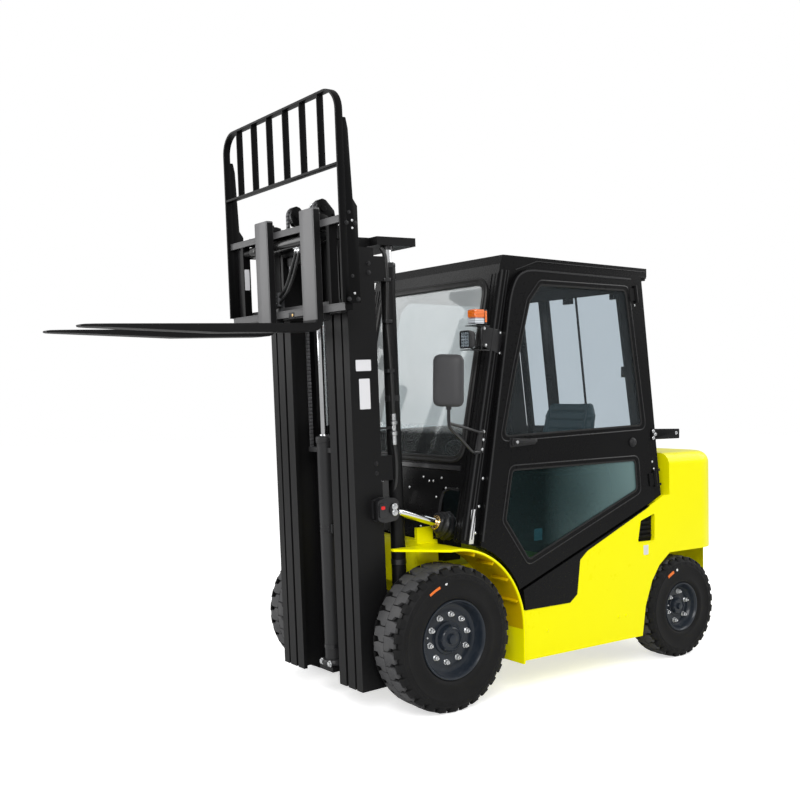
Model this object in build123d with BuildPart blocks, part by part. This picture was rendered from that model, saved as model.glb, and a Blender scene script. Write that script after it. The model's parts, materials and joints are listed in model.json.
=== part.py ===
from build123d import *
from math import atan, cos, hypot, radians, sin, tan
import os

# Driving dimensions, in millimetres. Front is -Y, the operator's left is +X, the floor is Z = 0.
# Heights are from the floor and lengths from the front axle, which stands at AXLE_Y.
WHEEL_BASE = 1712
FRONT_TYRE_R = 350
FRONT_TYRE_W = 222
FRONT_TYRE_INNER_X = 388
FRONT_RIM_R = 192
REAR_TYRE_R = 288
REAR_TYRE_W = 178
REAR_TYRE_INNER_X = 400
REAR_RIM_R = 139
KINGPIN_X = 385
STEER_SWEEP_CLEARANCE = 11
RUN = 0.3
MOVE_GAP = 5

# Chassis and counterweight.
SKIRT_X = 567
SKIRT_BOTTOM = 167
TANK_INNER_X = 330
FENDER_X = 600
FENDER_R = 443
FENDER_CENTRE_Y = 10
FENDER_CENTRE_Z = 340
FENDER_SHEET = 12
FENDER_FRONT_Y = -225
FENDER_FOOT = SKIRT_BOTTOM - 4
STEP_Z = 424
SIDE_PLATE = 40
SEAM_Y = 1612
REAR_Y = 2100
WEIGHT_TOP = 1180
WEIGHT_BOTTOM = 330
WEIGHT_CORNER_R = 200
ARCH_TOP = 612
FLOOR_Z = 652
FLOOR_SHEET = 12
RAIL_X = 338
RAIL_SHEET = 20
RAIL_FRONT_Y = -58
RAIL_HORN = [(-28, 640), (-28, 862), (72, 862), (72, 798), (100, 796), (110, FLOOR_Z - FLOOR_SHEET)]
RAIL_AXLE_BEND = [(160, 420), (80, FRONT_TYRE_R)]
RAIL_STEP_Z = 520
RAIL_FOOT_Z = 300
BAY_REAR_Y = 1375
SILL_REAR_Z = 943

# Cab.
CAB_X = 548
CAB_WALL = 40
FRONT_Y = 158
FRONT_Z = 1190
RAKE = atan(0.193)
SCREEN_X = 484
ROOF_TOP = 2227
ROOF_BOTTOM = 2180
VISOR_Z = 2121
ROOF_REAR_Y = 1451
C_POST_TOP_Y = 1404
C_POST_SLOPE = 0.126
DOOR_SHEET = 24
GLASS = 6
HOOD_TOP = 1080
HOOD_REAR_Y = 1492
HOOD_FRONT_Y = 862
HOOD_X = 430
HOOD_SHEET = 14
SEAT_X = 235

# Mast, drawn upright and then leaned forward about the front axle.
MAST_LEAN = 2.2
MAST_X = 372
MAST_FRONT_Y = -390
RAIL_DEPTH = 160
RAIL_WEB = 16
RAIL_FLANGE = 20
OUTER_FLANGE_W = 50
STAGE_FLANGE_W = 60
STAGE_GAP = 14
MAST_BOTTOM = 126
FORK_LENGTH = 1088
FORK_FACE_Y = -556
FORK_THICK = 40
FORK_WIDTH = 125
FORK_Z = 1882
FORK_LEFT_X = 300
FORK_RIGHT_X = -140
BACKREST_X = 558
BACKREST_TOP = 2934
TILT_X = 395
TILT_PIN_R = 14
TILT_EYE_R = 32
TILT_FRONT = (-210, 985)
TILT_REAR = (430, 772)
TILT_BARREL_R = 40
TILT_ROD_R = 20
TILT_NECK_R = 15
TILT_SLOT_X = 355
LUG_FOOT = 60
TILT_SLOT_HALF = 37
TILT_EYE_W = 36
LIFT_X = 334
LIFT_Y = -125
LIFT_BARREL_R = 36
LIFT_ROD_R = 22
FREE_BARREL_R = 42
FREE_ROD_R = 19
FREE_Y = -315
FREE_BARREL_TOP = 1321


def leaned(y, z):
    """Place of an upright mast point once the mast leans about the front axle."""
    a = radians(MAST_LEAN)
    dz = z - FRONT_TYRE_R
    return y * cos(a) - dz * sin(a), FRONT_TYRE_R + y * sin(a) + dz * cos(a)


FORK_TIP_Y = leaned(FORK_FACE_Y - FORK_LENGTH, FORK_Z)[0]
AXLE_Y = -(FORK_TIP_Y + REAR_Y) / 2
MAST_PLACE = Location((0, AXLE_Y, FRONT_TYRE_R)) * Rotation(MAST_LEAN, 0, 0) * Location(
    (0, -AXLE_Y, -FRONT_TYRE_R)
)


def side(x):
    """Plane seen from the left: sketch X runs rearwards from the front axle, sketch Y is height."""
    return Plane(origin=(x, AXLE_Y, 0), x_dir=(0, 1, 0), z_dir=(1, 0, 0))


def front(y):
    """Plane facing forwards at a distance behind the front axle: sketch X is left, sketch Y is height."""
    return Plane(origin=(0, AXLE_Y + y, 0), x_dir=(1, 0, 0), z_dir=(0, -1, 0))


def level(z):
    """Level plane: sketch X is left, sketch Y runs rearwards from the front axle."""
    return Plane(origin=(0, AXLE_Y, z), x_dir=(1, 0, 0), z_dir=(0, 0, 1))


def mast(plane):
    """The same plane, leaned with the mast."""
    return Plane(MAST_PLACE * plane.location)


def outline(plane, *points, radius=0):
    """Closed flat outline with all its corners rounded by one radius."""
    with BuildSketch(plane) as flat:
        with BuildLine():
            Polyline(*points, close=True)
        make_face()
        if radius:
            fillet(flat.vertices(), radius)
    return flat.sketch


def rectangle(plane, low, high, radius=0):
    """Rectangle from its lowest corner to its highest in the plane's own axes."""
    return outline(plane, low, (high[0], low[1]), high, (low[0], high[1]), radius=radius)


def disc(plane, centre, radius):
    """Round face at a point of the plane."""
    with BuildSketch(plane) as flat:
        with Locations(centre):
            Circle(radius)
    return flat.sketch


def write(piece, label):
    """Label a finished piece and write it under that name."""
    piece.label = label
    export_step(piece, f"parts/{label}.step")


os.makedirs("parts", exist_ok=True)

# Front plane of the cab: sketch X is left, sketch Y runs up along the rake.
CAB_FRONT = Plane(
    origin=(0, AXLE_Y + FRONT_Y, FRONT_Z), x_dir=(1, 0, 0), z_dir=(0, -cos(RAKE), sin(RAKE))
)


def front_y(z):
    """Distance behind the front axle of the cab's raked front at a height."""
    return FRONT_Y + (z - FRONT_Z) * tan(RAKE)


def c_post_y(z):
    """Distance behind the front axle of the cab's rear edge at a height."""
    return C_POST_TOP_Y + C_POST_SLOPE * (ROOF_BOTTOM - z)


# Side lines shared by the door, the cab side and the chassis.
DOOR_FOOT = (183, 777)
DOOR_FRONT_TOP = (383, 1998)
DOOR_TOP_Z = 2168
DOOR_TOP_FRONT = (560, DOOR_TOP_Z)
DOOR_TOP_REAR = (1291, DOOR_TOP_Z)
DOOR_REAR_FOOT = (1474, 925)
DOOR_LOW = (440, 538)
SILL_R = FENDER_R + 27
SILL = [
    (480, STEP_Z), (804, STEP_Z), (857, 462), (881, 642), (935, 684), (1417, 880),
    (c_post_y(SILL_REAR_Z), SILL_REAR_Z),
]


# Front wheels.
def wheel(centre_y, centre_z, inner_x, width, tyre_r, rim_r, hub_r, mirrored):
    """Tyre and rim of one wheel, revolved about its spindle."""
    sign = -1 if mirrored else 1
    outer_x = inner_x + width
    spindle = Plane(origin=(0, AXLE_Y + centre_y, centre_z), x_dir=(1, 0, 0), z_dir=(0, -1, 0))
    shoulder = width * 0.16
    bead = width * 0.07
    with BuildPart() as tyre:
        revolve(
            outline(
                spindle,
                (sign * (inner_x + bead), rim_r),
                (sign * (inner_x), rim_r + bead * 2),
                (sign * (inner_x), tyre_r - shoulder),
                (sign * (inner_x + shoulder * 0.4), tyre_r - shoulder * 0.2),
                (sign * (inner_x + shoulder), tyre_r),
                (sign * (outer_x - shoulder), tyre_r),
                (sign * (outer_x - shoulder * 0.4), tyre_r - shoulder * 0.2),
                (sign * (outer_x), tyre_r - shoulder),
                (sign * (outer_x), rim_r + bead * 2),
                (sign * (outer_x - bead), rim_r),
            ),
            axis=Axis((0, AXLE_Y + centre_y, centre_z), (1, 0, 0)),
        )
    rim_wall = rim_r * 0.08
    face_x = outer_x - width * 0.3
    plate = width * 0.07
    with BuildPart() as rim:
        revolve(
            outline(
                spindle,
                (sign * (inner_x + bead), rim_r),
                (sign * (outer_x - bead), rim_r),
                (sign * (outer_x - bead), rim_r - rim_wall),
                (sign * (face_x + plate * 2.4), rim_r - rim_wall * 1.6),
                (sign * face_x, hub_r * 1.5),
                (sign * face_x, hub_r),
                (sign * (face_x + plate * 3), hub_r * 0.9),
                (sign * (face_x + plate * 3), 0),
                (sign * (face_x - plate * 1.5), 0),
                (sign * (face_x - plate * 1.5), hub_r * 1.5),
                (sign * (face_x + plate), rim_r - rim_wall * 2),
                (sign * (inner_x + bead), rim_r - rim_wall),
            ),
            axis=Axis((0, AXLE_Y + centre_y, centre_z), (1, 0, 0)),
        )
    return tyre.part, rim.part, face_x - plate * 1.5


FRONT_HUB_R = 66
REAR_HUB_R = 48
for name, mirrored in (("left", False), ("right", True)):
    tyre, rim, FRONT_HUB_FACE = wheel(
        0, FRONT_TYRE_R, FRONT_TYRE_INNER_X, FRONT_TYRE_W, FRONT_TYRE_R, FRONT_RIM_R, FRONT_HUB_R, mirrored
    )
    write(tyre, f"front_tyre_{name}")
    write(rim, f"front_rim_{name}")
    tyre, rim, REAR_HUB_FACE = wheel(
        WHEEL_BASE, REAR_TYRE_R, REAR_TYRE_INNER_X, REAR_TYRE_W, REAR_TYRE_R, REAR_RIM_R, REAR_HUB_R, mirrored
    )
    write(tyre, f"rear_tyre_{name}")
    write(rim, f"rear_rim_{name}")

# Drive axle: a housing with the differential in the middle and a hub end at each wheel.
AXLE_TUBE_R = 62
DIFF_R = 150
with BuildPart() as drive_axle:
    extrude(disc(side(-RAIL_X), (0, FRONT_TYRE_R), AXLE_TUBE_R), amount=2 * RAIL_X)
    for way in (-1, 1):
        extrude(
            disc(side(way * RAIL_X), (0, FRONT_TYRE_R), AXLE_TUBE_R),
            amount=way * (FRONT_HUB_FACE - RAIL_X - RUN),
        )
    extrude(disc(side(-DIFF_R * 0.6), (0, FRONT_TYRE_R), DIFF_R), amount=1.2 * DIFF_R)
write(drive_axle.part, "drive_axle")

# Steer axle: a beam between the kingpins with an eye above and below each knuckle.
KNUCKLE_HALF = 62
EYE = 22
KINGPIN_R = 17
EYE_R = 34
SPINDLE_R = 24
BEAM_HALF_Y = 40
BEAM_HALF_Z = 45
TRUNNION_HALF = 30
with BuildPart() as steer_axle:
    extrude(
        rectangle(
            side(-KINGPIN_X + EYE_R + 60),
            (WHEEL_BASE - BEAM_HALF_Y, REAR_TYRE_R - BEAM_HALF_Z),
            (WHEEL_BASE + BEAM_HALF_Y, REAR_TYRE_R + BEAM_HALF_Z),
        ),
        amount=2 * (KINGPIN_X - EYE_R - 60),
    )
    extrude(
        rectangle(
            side(-TRUNNION_HALF),
            (WHEEL_BASE - BEAM_HALF_Y, REAR_TYRE_R + BEAM_HALF_Z),
            (WHEEL_BASE + BEAM_HALF_Y, WEIGHT_BOTTOM + 15),
        ),
        amount=2 * TRUNNION_HALF,
    )
    for way in (-1, 1):
        for low in (-KNUCKLE_HALF - EYE - RUN, KNUCKLE_HALF + RUN):
            extrude(disc(level(REAR_TYRE_R + low), (way * KINGPIN_X, WHEEL_BASE), EYE_R), amount=EYE)
            extrude(
                outline(
                    level(REAR_TYRE_R + low),
                    (way * KINGPIN_X, WHEEL_BASE - EYE_R * 0.8),
                    (way * KINGPIN_X, WHEEL_BASE + EYE_R * 0.8),
                    (way * (KINGPIN_X - EYE_R - 75), WHEEL_BASE + BEAM_HALF_Y),
                    (way * (KINGPIN_X - EYE_R - 75), WHEEL_BASE - BEAM_HALF_Y),
                ),
                amount=EYE,
            )
        extrude(
            rectangle(
                level(REAR_TYRE_R - KNUCKLE_HALF - EYE - RUN),
                (KINGPIN_X - EYE_R - 75, WHEEL_BASE - BEAM_HALF_Y) if way > 0 else (
                    -KINGPIN_X + EYE_R + 60, WHEEL_BASE - BEAM_HALF_Y
                ),
                (KINGPIN_X - EYE_R - 60, WHEEL_BASE + BEAM_HALF_Y) if way > 0 else (
                    -KINGPIN_X + EYE_R + 75, WHEEL_BASE + BEAM_HALF_Y
                ),
            ),
            amount=2 * (KNUCKLE_HALF + EYE + RUN),
        )
        # The eyes are bored for the kingpin.
        extrude(
            disc(level(REAR_TYRE_R - 2 * KNUCKLE_HALF), (way * KINGPIN_X, WHEEL_BASE), KINGPIN_R),
            amount=4 * KNUCKLE_HALF,
            mode=Mode.SUBTRACT,
        )
write(steer_axle.part, "steer_axle")

for name, way in (("left", 1), ("right", -1)):
    with BuildPart() as knuckle:
        extrude(
            disc(level(REAR_TYRE_R - KNUCKLE_HALF), (way * KINGPIN_X, WHEEL_BASE), EYE_R),
            amount=2 * KNUCKLE_HALF,
        )
        extrude(
            disc(level(REAR_TYRE_R - KNUCKLE_HALF - EYE), (way * KINGPIN_X, WHEEL_BASE), KINGPIN_R - RUN),
            amount=2 * (KNUCKLE_HALF + EYE),
        )
        extrude(
            disc(side(way * KINGPIN_X), (WHEEL_BASE, REAR_TYRE_R), SPINDLE_R * 1.4),
            amount=way * (REAR_HUB_FACE - KINGPIN_X - RUN),
        )
    write(knuckle.part, f"knuckle_{name}")

# Chassis: side tanks with skirts, side plates behind the step, rails, floor, mudguards and cross walls.
SHOULDER_R = REAR_TYRE_W * 0.16
SWEEP_R = hypot(
    REAR_TYRE_INNER_X + REAR_TYRE_W - KINGPIN_X - SHOULDER_R * 0.4, REAR_TYRE_R - SHOULDER_R * 0.2
)
ARCH_R = SWEEP_R + STEER_SWEEP_CLEARANCE
VENT = [(1359, 816), (1486, 852), (1484, 688), (1333, 690)]
VENT_R = 18
VENT_DEPTH = 30
with BuildPart() as main_frame:
    for way in (-1, 1):
        inner = way * TANK_INNER_X
        extrude(
            rectangle(side(inner), (FENDER_CENTRE_Y + FENDER_R, SKIRT_BOTTOM), (BAY_REAR_Y, STEP_Z)),
            amount=way * (SKIRT_X - TANK_INNER_X),
        )
        extrude(
            outline(
                side(way * (SKIRT_X - SIDE_PLATE)),
                (804, SKIRT_BOTTOM), (BAY_REAR_Y, SKIRT_BOTTOM), (1402, 330), (1458, 467), (1520, 548), (
                    SEAM_Y, ARCH_TOP
                ),
                (SEAM_Y, SILL_REAR_Z), *reversed(SILL[1:]),
            ),
            amount=way * SIDE_PLATE,
        )
        extrude(
            outline(side(way * (SKIRT_X - VENT_DEPTH)), *VENT, radius=VENT_R),
            amount=way * VENT_DEPTH,
            mode=Mode.SUBTRACT,
        )
        # Longitudinal rail from the mast foot to the counterweight.
        extrude(
            outline(
                side(way * (RAIL_X - RAIL_SHEET)),
                *RAIL_HORN,
                (BAY_REAR_Y, FLOOR_Z - FLOOR_SHEET),
                (BAY_REAR_Y, RAIL_FOOT_Z),
                (FENDER_CENTRE_Y + FENDER_R + 40, RAIL_FOOT_Z),
                *RAIL_AXLE_BEND,
                (RAIL_FRONT_Y, FRONT_TYRE_R),
                (RAIL_FRONT_Y, RAIL_STEP_Z),
            ),
            amount=way * RAIL_SHEET,
        )
        # Mudguard sheet, flat in front and round behind, down to the skirt's foot.
        with BuildSketch(side(way * RAIL_X)) as guard:
            with BuildLine():
                l1 = Line(
                    (FENDER_FRONT_Y, FENDER_CENTRE_Z + FENDER_R),
                    (FENDER_CENTRE_Y, FENDER_CENTRE_Z + FENDER_R),
                )
                l2 = RadiusArc(l1 @ 1, (FENDER_CENTRE_Y + FENDER_R, FENDER_CENTRE_Z), FENDER_R)
                l3 = Line(l2 @ 1, (FENDER_CENTRE_Y + FENDER_R, FENDER_FOOT))
                l4 = Line(l3 @ 1, (FENDER_CENTRE_Y + FENDER_R - FENDER_SHEET, FENDER_FOOT))
                l5 = Line(l4 @ 1, (FENDER_CENTRE_Y + FENDER_R - FENDER_SHEET, FENDER_CENTRE_Z))
                l6 = RadiusArc(
                    l5 @ 1,
                    (FENDER_CENTRE_Y, FENDER_CENTRE_Z + FENDER_R - FENDER_SHEET),
                    -(FENDER_R - FENDER_SHEET),
                )
                l7 = Line(l6 @ 1, (FENDER_FRONT_Y, FENDER_CENTRE_Z + FENDER_R - FENDER_SHEET))
                Line(l7 @ 1, l1 @ 0)
            make_face()
        extrude(guard.sketch, amount=way * (FENDER_X - RAIL_X))
        extrude(
            outline(
                level(FENDER_CENTRE_Z + FENDER_R - 2 * FENDER_SHEET),
                (way * FENDER_X, -240), (way * FENDER_X, -20), (way * (RAIL_X + 60), -240),
            ),
            amount=3 * FENDER_SHEET,
            mode=Mode.SUBTRACT,
        )
    # Floor, front bulkhead, belly and rear wall of the engine bay.
    extrude(
        rectangle(level(FLOOR_Z - FLOOR_SHEET), (-RAIL_X, 100), (RAIL_X, HOOD_FRONT_Y - 20)),
        amount=FLOOR_SHEET,
    )
    extrude(rectangle(front(180), (-RAIL_X, RAIL_FOOT_Z), (RAIL_X, FLOOR_Z)), amount=RAIL_SHEET)
    extrude(rectangle(level(RAIL_FOOT_Z), (-RAIL_X, 480), (RAIL_X, BAY_REAR_Y)), amount=RAIL_SHEET)
    extrude(
        rectangle(front(SEAM_Y), (-SKIRT_X + SIDE_PLATE, ARCH_TOP), (SKIRT_X - SIDE_PLATE, 940)),
        amount=RAIL_SHEET,
    )
    extrude(
        rectangle(level(620), (-SKIRT_X + SIDE_PLATE, 1340), (SKIRT_X - SIDE_PLATE, SEAM_Y)),
        amount=RAIL_SHEET,
    )
    extrude(
        rectangle(front(BAY_REAR_Y), (-SKIRT_X + SIDE_PLATE, RAIL_FOOT_Z), (SKIRT_X - SIDE_PLATE, 640)),
        amount=RAIL_SHEET,
    )
    for way in (-1, 1):
        extrude(
            rectangle(side(way * RAIL_X), (700, STEP_Z - 20), (BAY_REAR_Y, STEP_Z)),
            amount=way * (SKIRT_X - RAIL_X),
        )
    # Seats for the axle tube and holes for the tilt cylinders.
    extrude(disc(side(-RAIL_X), (0, FRONT_TYRE_R), AXLE_TUBE_R), amount=2 * RAIL_X, mode=Mode.SUBTRACT)
    for way in (-1, 1):
        extrude(
            rectangle(
                level(FENDER_CENTRE_Z + FENDER_R - 2 * FENDER_SHEET),
                (way * TILT_SLOT_X - TILT_SLOT_HALF, -300), (way * TILT_SLOT_X + TILT_SLOT_HALF, -28),
            ),
            amount=3 * FENDER_SHEET,
            mode=Mode.SUBTRACT,
        )
        # Lug for the tilt cylinder's rear pin.
        extrude(
            disc(side(way * RAIL_X), TILT_REAR, TILT_EYE_R),
            amount=way * (TILT_X - TILT_EYE_W / 2 - 2 - RAIL_X - MOVE_GAP),
        )
        extrude(
            outline(
                side(way * (RAIL_X - RAIL_SHEET)),
                (TILT_REAR[0] - LUG_FOOT, FLOOR_Z - 20), (TILT_REAR[0] - TILT_EYE_R, TILT_REAR[1]), (
                    TILT_REAR[0], TILT_REAR[1] + TILT_EYE_R
                ),
                (TILT_REAR[0] + TILT_EYE_R, TILT_REAR[1]), (TILT_REAR[0] + LUG_FOOT, FLOOR_Z - 20),
            ),
            amount=way * RAIL_SHEET,
        )
        extrude(
            disc(side(way * RAIL_X), TILT_REAR, TILT_PIN_R),
            amount=way * (TILT_X + TILT_EYE_W / 2 + 6 - RAIL_X),
        )
write(main_frame.part, "main_frame")

# Counterweight: rounded at the rear, hollowed over the steered wheels.
WEIGHT_LOW_X = 470
CROWN_R = 70
GRILLE_DEPTH = 60
GRILLE_X = 250
GRILLE_Z = (560, 960)
SLAT_PITCH = 40
TOW_R = 17.7
TOW_Y = REAR_Y - 62
with BuildPart() as counterweight:
    with BuildSketch(level(ARCH_TOP)) as plan:
        with BuildLine():
            w1 = Line((SKIRT_X, SEAM_Y), (SKIRT_X, REAR_Y - WEIGHT_CORNER_R))
            w2 = RadiusArc(w1 @ 1, (SKIRT_X - WEIGHT_CORNER_R, REAR_Y), -WEIGHT_CORNER_R)
            w3 = Line(w2 @ 1, (-SKIRT_X + WEIGHT_CORNER_R, REAR_Y))
            w4 = RadiusArc(w3 @ 1, (-SKIRT_X, REAR_Y - WEIGHT_CORNER_R), -WEIGHT_CORNER_R)
            w5 = Line(w4 @ 1, (-SKIRT_X, SEAM_Y))
            Line(w5 @ 1, w1 @ 0)
        make_face()
    extrude(plan.sketch, amount=WEIGHT_TOP - ARCH_TOP)
    top_edges = counterweight.edges().filter_by_position(Axis.Z, WEIGHT_TOP - 1, WEIGHT_TOP + 1)
    fillet(top_edges.sort_by(Axis.Y)[1:], CROWN_R)
    extrude(
        rectangle(
            level(WEIGHT_BOTTOM + 15), (-WEIGHT_LOW_X, SEAM_Y), (WEIGHT_LOW_X, REAR_Y - 20), radius=60
        ),
        amount=ARCH_TOP - WEIGHT_BOTTOM - 15,
    )
    for way in (-1, 1):
        extrude(
            disc(level(SKIRT_BOTTOM), (way * KINGPIN_X, WHEEL_BASE), ARCH_R),
            amount=ARCH_TOP - SKIRT_BOTTOM,
            mode=Mode.SUBTRACT,
        )
    # Recess for the grille and slot for the tow pin.
    extrude(
        rectangle(
            front(REAR_Y - GRILLE_DEPTH), (-GRILLE_X, GRILLE_Z[0]), (GRILLE_X, GRILLE_Z[1]), radius=30
        ),
        amount=-GRILLE_DEPTH - 10,
        mode=Mode.SUBTRACT,
    )
    extrude(rectangle(front(REAR_Y - 120), (-60, 400), (60, 480)), amount=-130, mode=Mode.SUBTRACT)
    extrude(disc(level(WEIGHT_BOTTOM), (0, TOW_Y), TOW_R + RUN), amount=215, mode=Mode.SUBTRACT)
write(counterweight.part, "counterweight")

with BuildPart() as rear_grille:
    extrude(
        rectangle(
            front(REAR_Y - GRILLE_DEPTH),
            (-GRILLE_X + 4, GRILLE_Z[0] + 4), (GRILLE_X - 4, GRILLE_Z[1] - 4),
            radius=26,
        ),
        amount=-12,
    )
    for step in range(9):
        extrude(
            rectangle(
                front(REAR_Y - GRILLE_DEPTH + 12),
                (-GRILLE_X + 20, GRILLE_Z[0] + 30 + step * SLAT_PITCH),
                (GRILLE_X - 20, GRILLE_Z[0] + 44 + step * SLAT_PITCH),
            ),
            amount=-24,
        )
write(rear_grille.part, "rear_grille")

with BuildPart() as tow_pin:
    extrude(disc(level(WEIGHT_BOTTOM + 20), (0, TOW_Y), TOW_R), amount=190)
write(tow_pin.part, "tow_pin")

# Engine as one block on two rails inside the hood.
ENGINE_X = 230
ENGINE_FRONT_Y = HOOD_FRONT_Y + 78
ENGINE_LENGTH = 400
ENGINE_HEIGHT = 600
with BuildPart() as engine_block:
    extrude(
        rectangle(
            level(RAIL_FOOT_Z + RAIL_SHEET),
            (-ENGINE_X, ENGINE_FRONT_Y), (ENGINE_X, ENGINE_FRONT_Y + ENGINE_LENGTH),
        ),
        amount=ENGINE_HEIGHT,
    )
write(engine_block.part, "engine_block")

HOOD_HINGE = (HOOD_REAR_Y + 4, HOOD_TOP)
HOOD_HINGE_X = 300
HOOD_FOOT = 700
SEAT_FOOT = 30
LEAF_W = 60
WINDOW_HINGE = (1418, 2160)
WINDOW_HINGE_X = 300

# Doors hang on a slanted hinge line just behind their rear edges.
DOOR_X = CAB_X + MOVE_GAP
HINGE_SLOPE = (DOOR_REAR_FOOT[0] - DOOR_TOP_REAR[0]) / (DOOR_TOP_REAR[1] - DOOR_REAR_FOOT[1])
HINGE_LEAN = atan(HINGE_SLOPE)
HINGE_X = DOOR_X + DOOR_SHEET + 4
HINGE_R = 11
HINGE_PIN_R = 7
HINGE_LENGTH = 70
HINGE_END = 12
HINGE_SETBACK = 16
HINGE_HEIGHTS = (1010, 2040)


def hinge_plane(way, z):
    """Plane square to a door's hinge line at a height: sketch X is left, sketch Y runs rearwards."""
    y = DOOR_TOP_REAR[0] + HINGE_SLOPE * (DOOR_TOP_REAR[1] - z) + HINGE_SETBACK
    return Plane(
        origin=(way * HINGE_X, AXLE_Y + y, z), x_dir=(1, 0, 0), z_dir=(
            0, -sin(HINGE_LEAN), cos(HINGE_LEAN)
        )
    )


def hinge_leaf(way, depth, reach):
    """Corners of a leaf from the hinge line, lying between the hinge and the sheet it is fixed to."""
    xs = sorted((way * 2, way * depth))
    ys = sorted((0, reach))
    return (xs[0], ys[0]), (xs[1], ys[1])


# Cab side walls with the door openings, posts across, and the rear panel below the window.
REAR_PANEL_TOP = 1180
WINDOW_FOOT = REAR_PANEL_TOP + 10
WINDOW_BORDER = 45
WALL_OPENING = [
    (232, 790), (290, 1100), (425, 1960), (560, 2120), (1258, 2120), (1425, 960), (470, 600), (395, 650),
]
SILL_TOP = [(1440, 892), (473, 530)]
SILL_PROUD = 22
PANEL_FOOT_Z = 800
POST_W = 40
REAR_PANEL_FOOT = 945
REAR_PANEL_SET = 4
REAR_PANEL_IN = 29
WINDOW_SHEET = 24
with BuildPart() as cab_frame:
    for way in (-1, 1):
        inner = side(way * (CAB_X - CAB_WALL))
        with BuildSketch(inner) as wall:
            with BuildLine():
                c1 = Polyline(
                    (SILL[0][0], STEP_Z), *SILL[1:], (c_post_y(ROOF_BOTTOM), ROOF_BOTTOM), (
                        front_y(ROOF_BOTTOM), ROOF_BOTTOM
                    ),
                    (front_y(FENDER_CENTRE_Z + SILL_R - 12), FENDER_CENTRE_Z + SILL_R - 12),
                )
                c2 = RadiusArc(c1 @ 1, (SILL[0][0], STEP_Z), SILL_R)
                Line(c2 @ 1, c1 @ 0)
            make_face()
        extrude(wall.sketch, amount=way * CAB_WALL)
        extrude(
            outline(
                inner,
                *WALL_OPENING,
            ),
            amount=way * CAB_WALL,
            mode=Mode.SUBTRACT,
        )
        for z in HINGE_HEIGHTS:
            plane = hinge_plane(way, z)
            extrude(
                disc(plane.offset(-HINGE_END), (0, 0), HINGE_PIN_R), amount=HINGE_LENGTH + 2 * HINGE_END
            )
            for start in (-HINGE_END - RUN, HINGE_LENGTH + RUN):
                extrude(disc(plane.offset(start), (0, 0), HINGE_R), amount=HINGE_END)
                extrude(
                    rectangle(plane.offset(start), *hinge_leaf(way, CAB_X - HINGE_X, 46)),
                    amount=HINGE_END,
                )
        # Sill below the door, proud of the wall.
        extrude(
            outline(side(way * CAB_X), (SILL[0][0] + 4, STEP_Z), *SILL[1:6], *SILL_TOP),
            amount=way * SILL_PROUD,
        )
        # Post beside the windscreen.
        extrude(
            outline(
                side(way * SCREEN_X),
                (front_y(PANEL_FOOT_Z), PANEL_FOOT_Z), (front_y(ROOF_BOTTOM), ROOF_BOTTOM),
                (front_y(ROOF_BOTTOM) + POST_W, ROOF_BOTTOM), (front_y(PANEL_FOOT_Z) + POST_W, PANEL_FOOT_Z),
            ),
            amount=way * (CAB_X - CAB_WALL - SCREEN_X),
        )
    extrude(
        outline(
            side(-CAB_X + CAB_WALL),
            (c_post_y(REAR_PANEL_FOOT) - REAR_PANEL_SET, REAR_PANEL_FOOT),
            (c_post_y(REAR_PANEL_TOP) - REAR_PANEL_SET, REAR_PANEL_TOP),
            (c_post_y(REAR_PANEL_TOP) - REAR_PANEL_IN, REAR_PANEL_TOP),
            (c_post_y(REAR_PANEL_FOOT) - REAR_PANEL_IN, REAR_PANEL_FOOT),
        ),
        amount=2 * (CAB_X - CAB_WALL),
    )
    # Lugs and pins for the engine hood.
    for way in (-1, 1):
        extrude(
            disc(side(way * (HOOD_HINGE_X - LEAF_W)), HOOD_HINGE, HINGE_PIN_R),
            amount=way * (LEAF_W + RUN + 14),
        )
        extrude(disc(side(way * (HOOD_HINGE_X + RUN)), HOOD_HINGE, HINGE_R), amount=way * 14)
        extrude(
            rectangle(
                side(way * (HOOD_HINGE_X + RUN)),
                (HOOD_HINGE[0], HOOD_HINGE[1] - HINGE_R), (c_post_y(1090) - 20, HOOD_HINGE[1] + HINGE_R),
            ),
            amount=way * 14,
        )
write(cab_frame.part, "cab_frame")

with BuildPart() as roof:
    extrude(
        outline(
            side(-CAB_X + 1),
            (front_y(ROOF_BOTTOM), ROOF_BOTTOM), (front_y(VISOR_Z) + 32, ROOF_TOP), (
                ROOF_REAR_Y, ROOF_TOP
            ),
            (ROOF_REAR_Y, ROOF_BOTTOM),
        ),
        amount=2 * (CAB_X - 1),
    )
    # Header above the windscreen.
    extrude(
        outline(
            side(-SCREEN_X),
            (front_y(VISOR_Z), VISOR_Z), (front_y(ROOF_BOTTOM), ROOF_BOTTOM), (
                front_y(ROOF_BOTTOM) + 40, ROOF_BOTTOM
            ),
            (front_y(VISOR_Z) + 40, VISOR_Z),
        ),
        amount=2 * SCREEN_X,
    )
    # Lugs and pins for the rear window.
    for way in (-1, 1):
        extrude(
            disc(side(way * (WINDOW_HINGE_X - LEAF_W)), WINDOW_HINGE, HINGE_PIN_R),
            amount=way * (LEAF_W + RUN + 12),
        )
        extrude(
            rectangle(
                side(way * (WINDOW_HINGE_X + RUN)),
                (WINDOW_HINGE[0] - HINGE_R, WINDOW_HINGE[1] - HINGE_R),
                (WINDOW_HINGE[0] + HINGE_R, ROOF_BOTTOM),
            ),
            amount=way * 12,
        )
write(roof.part, "roof")

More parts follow.
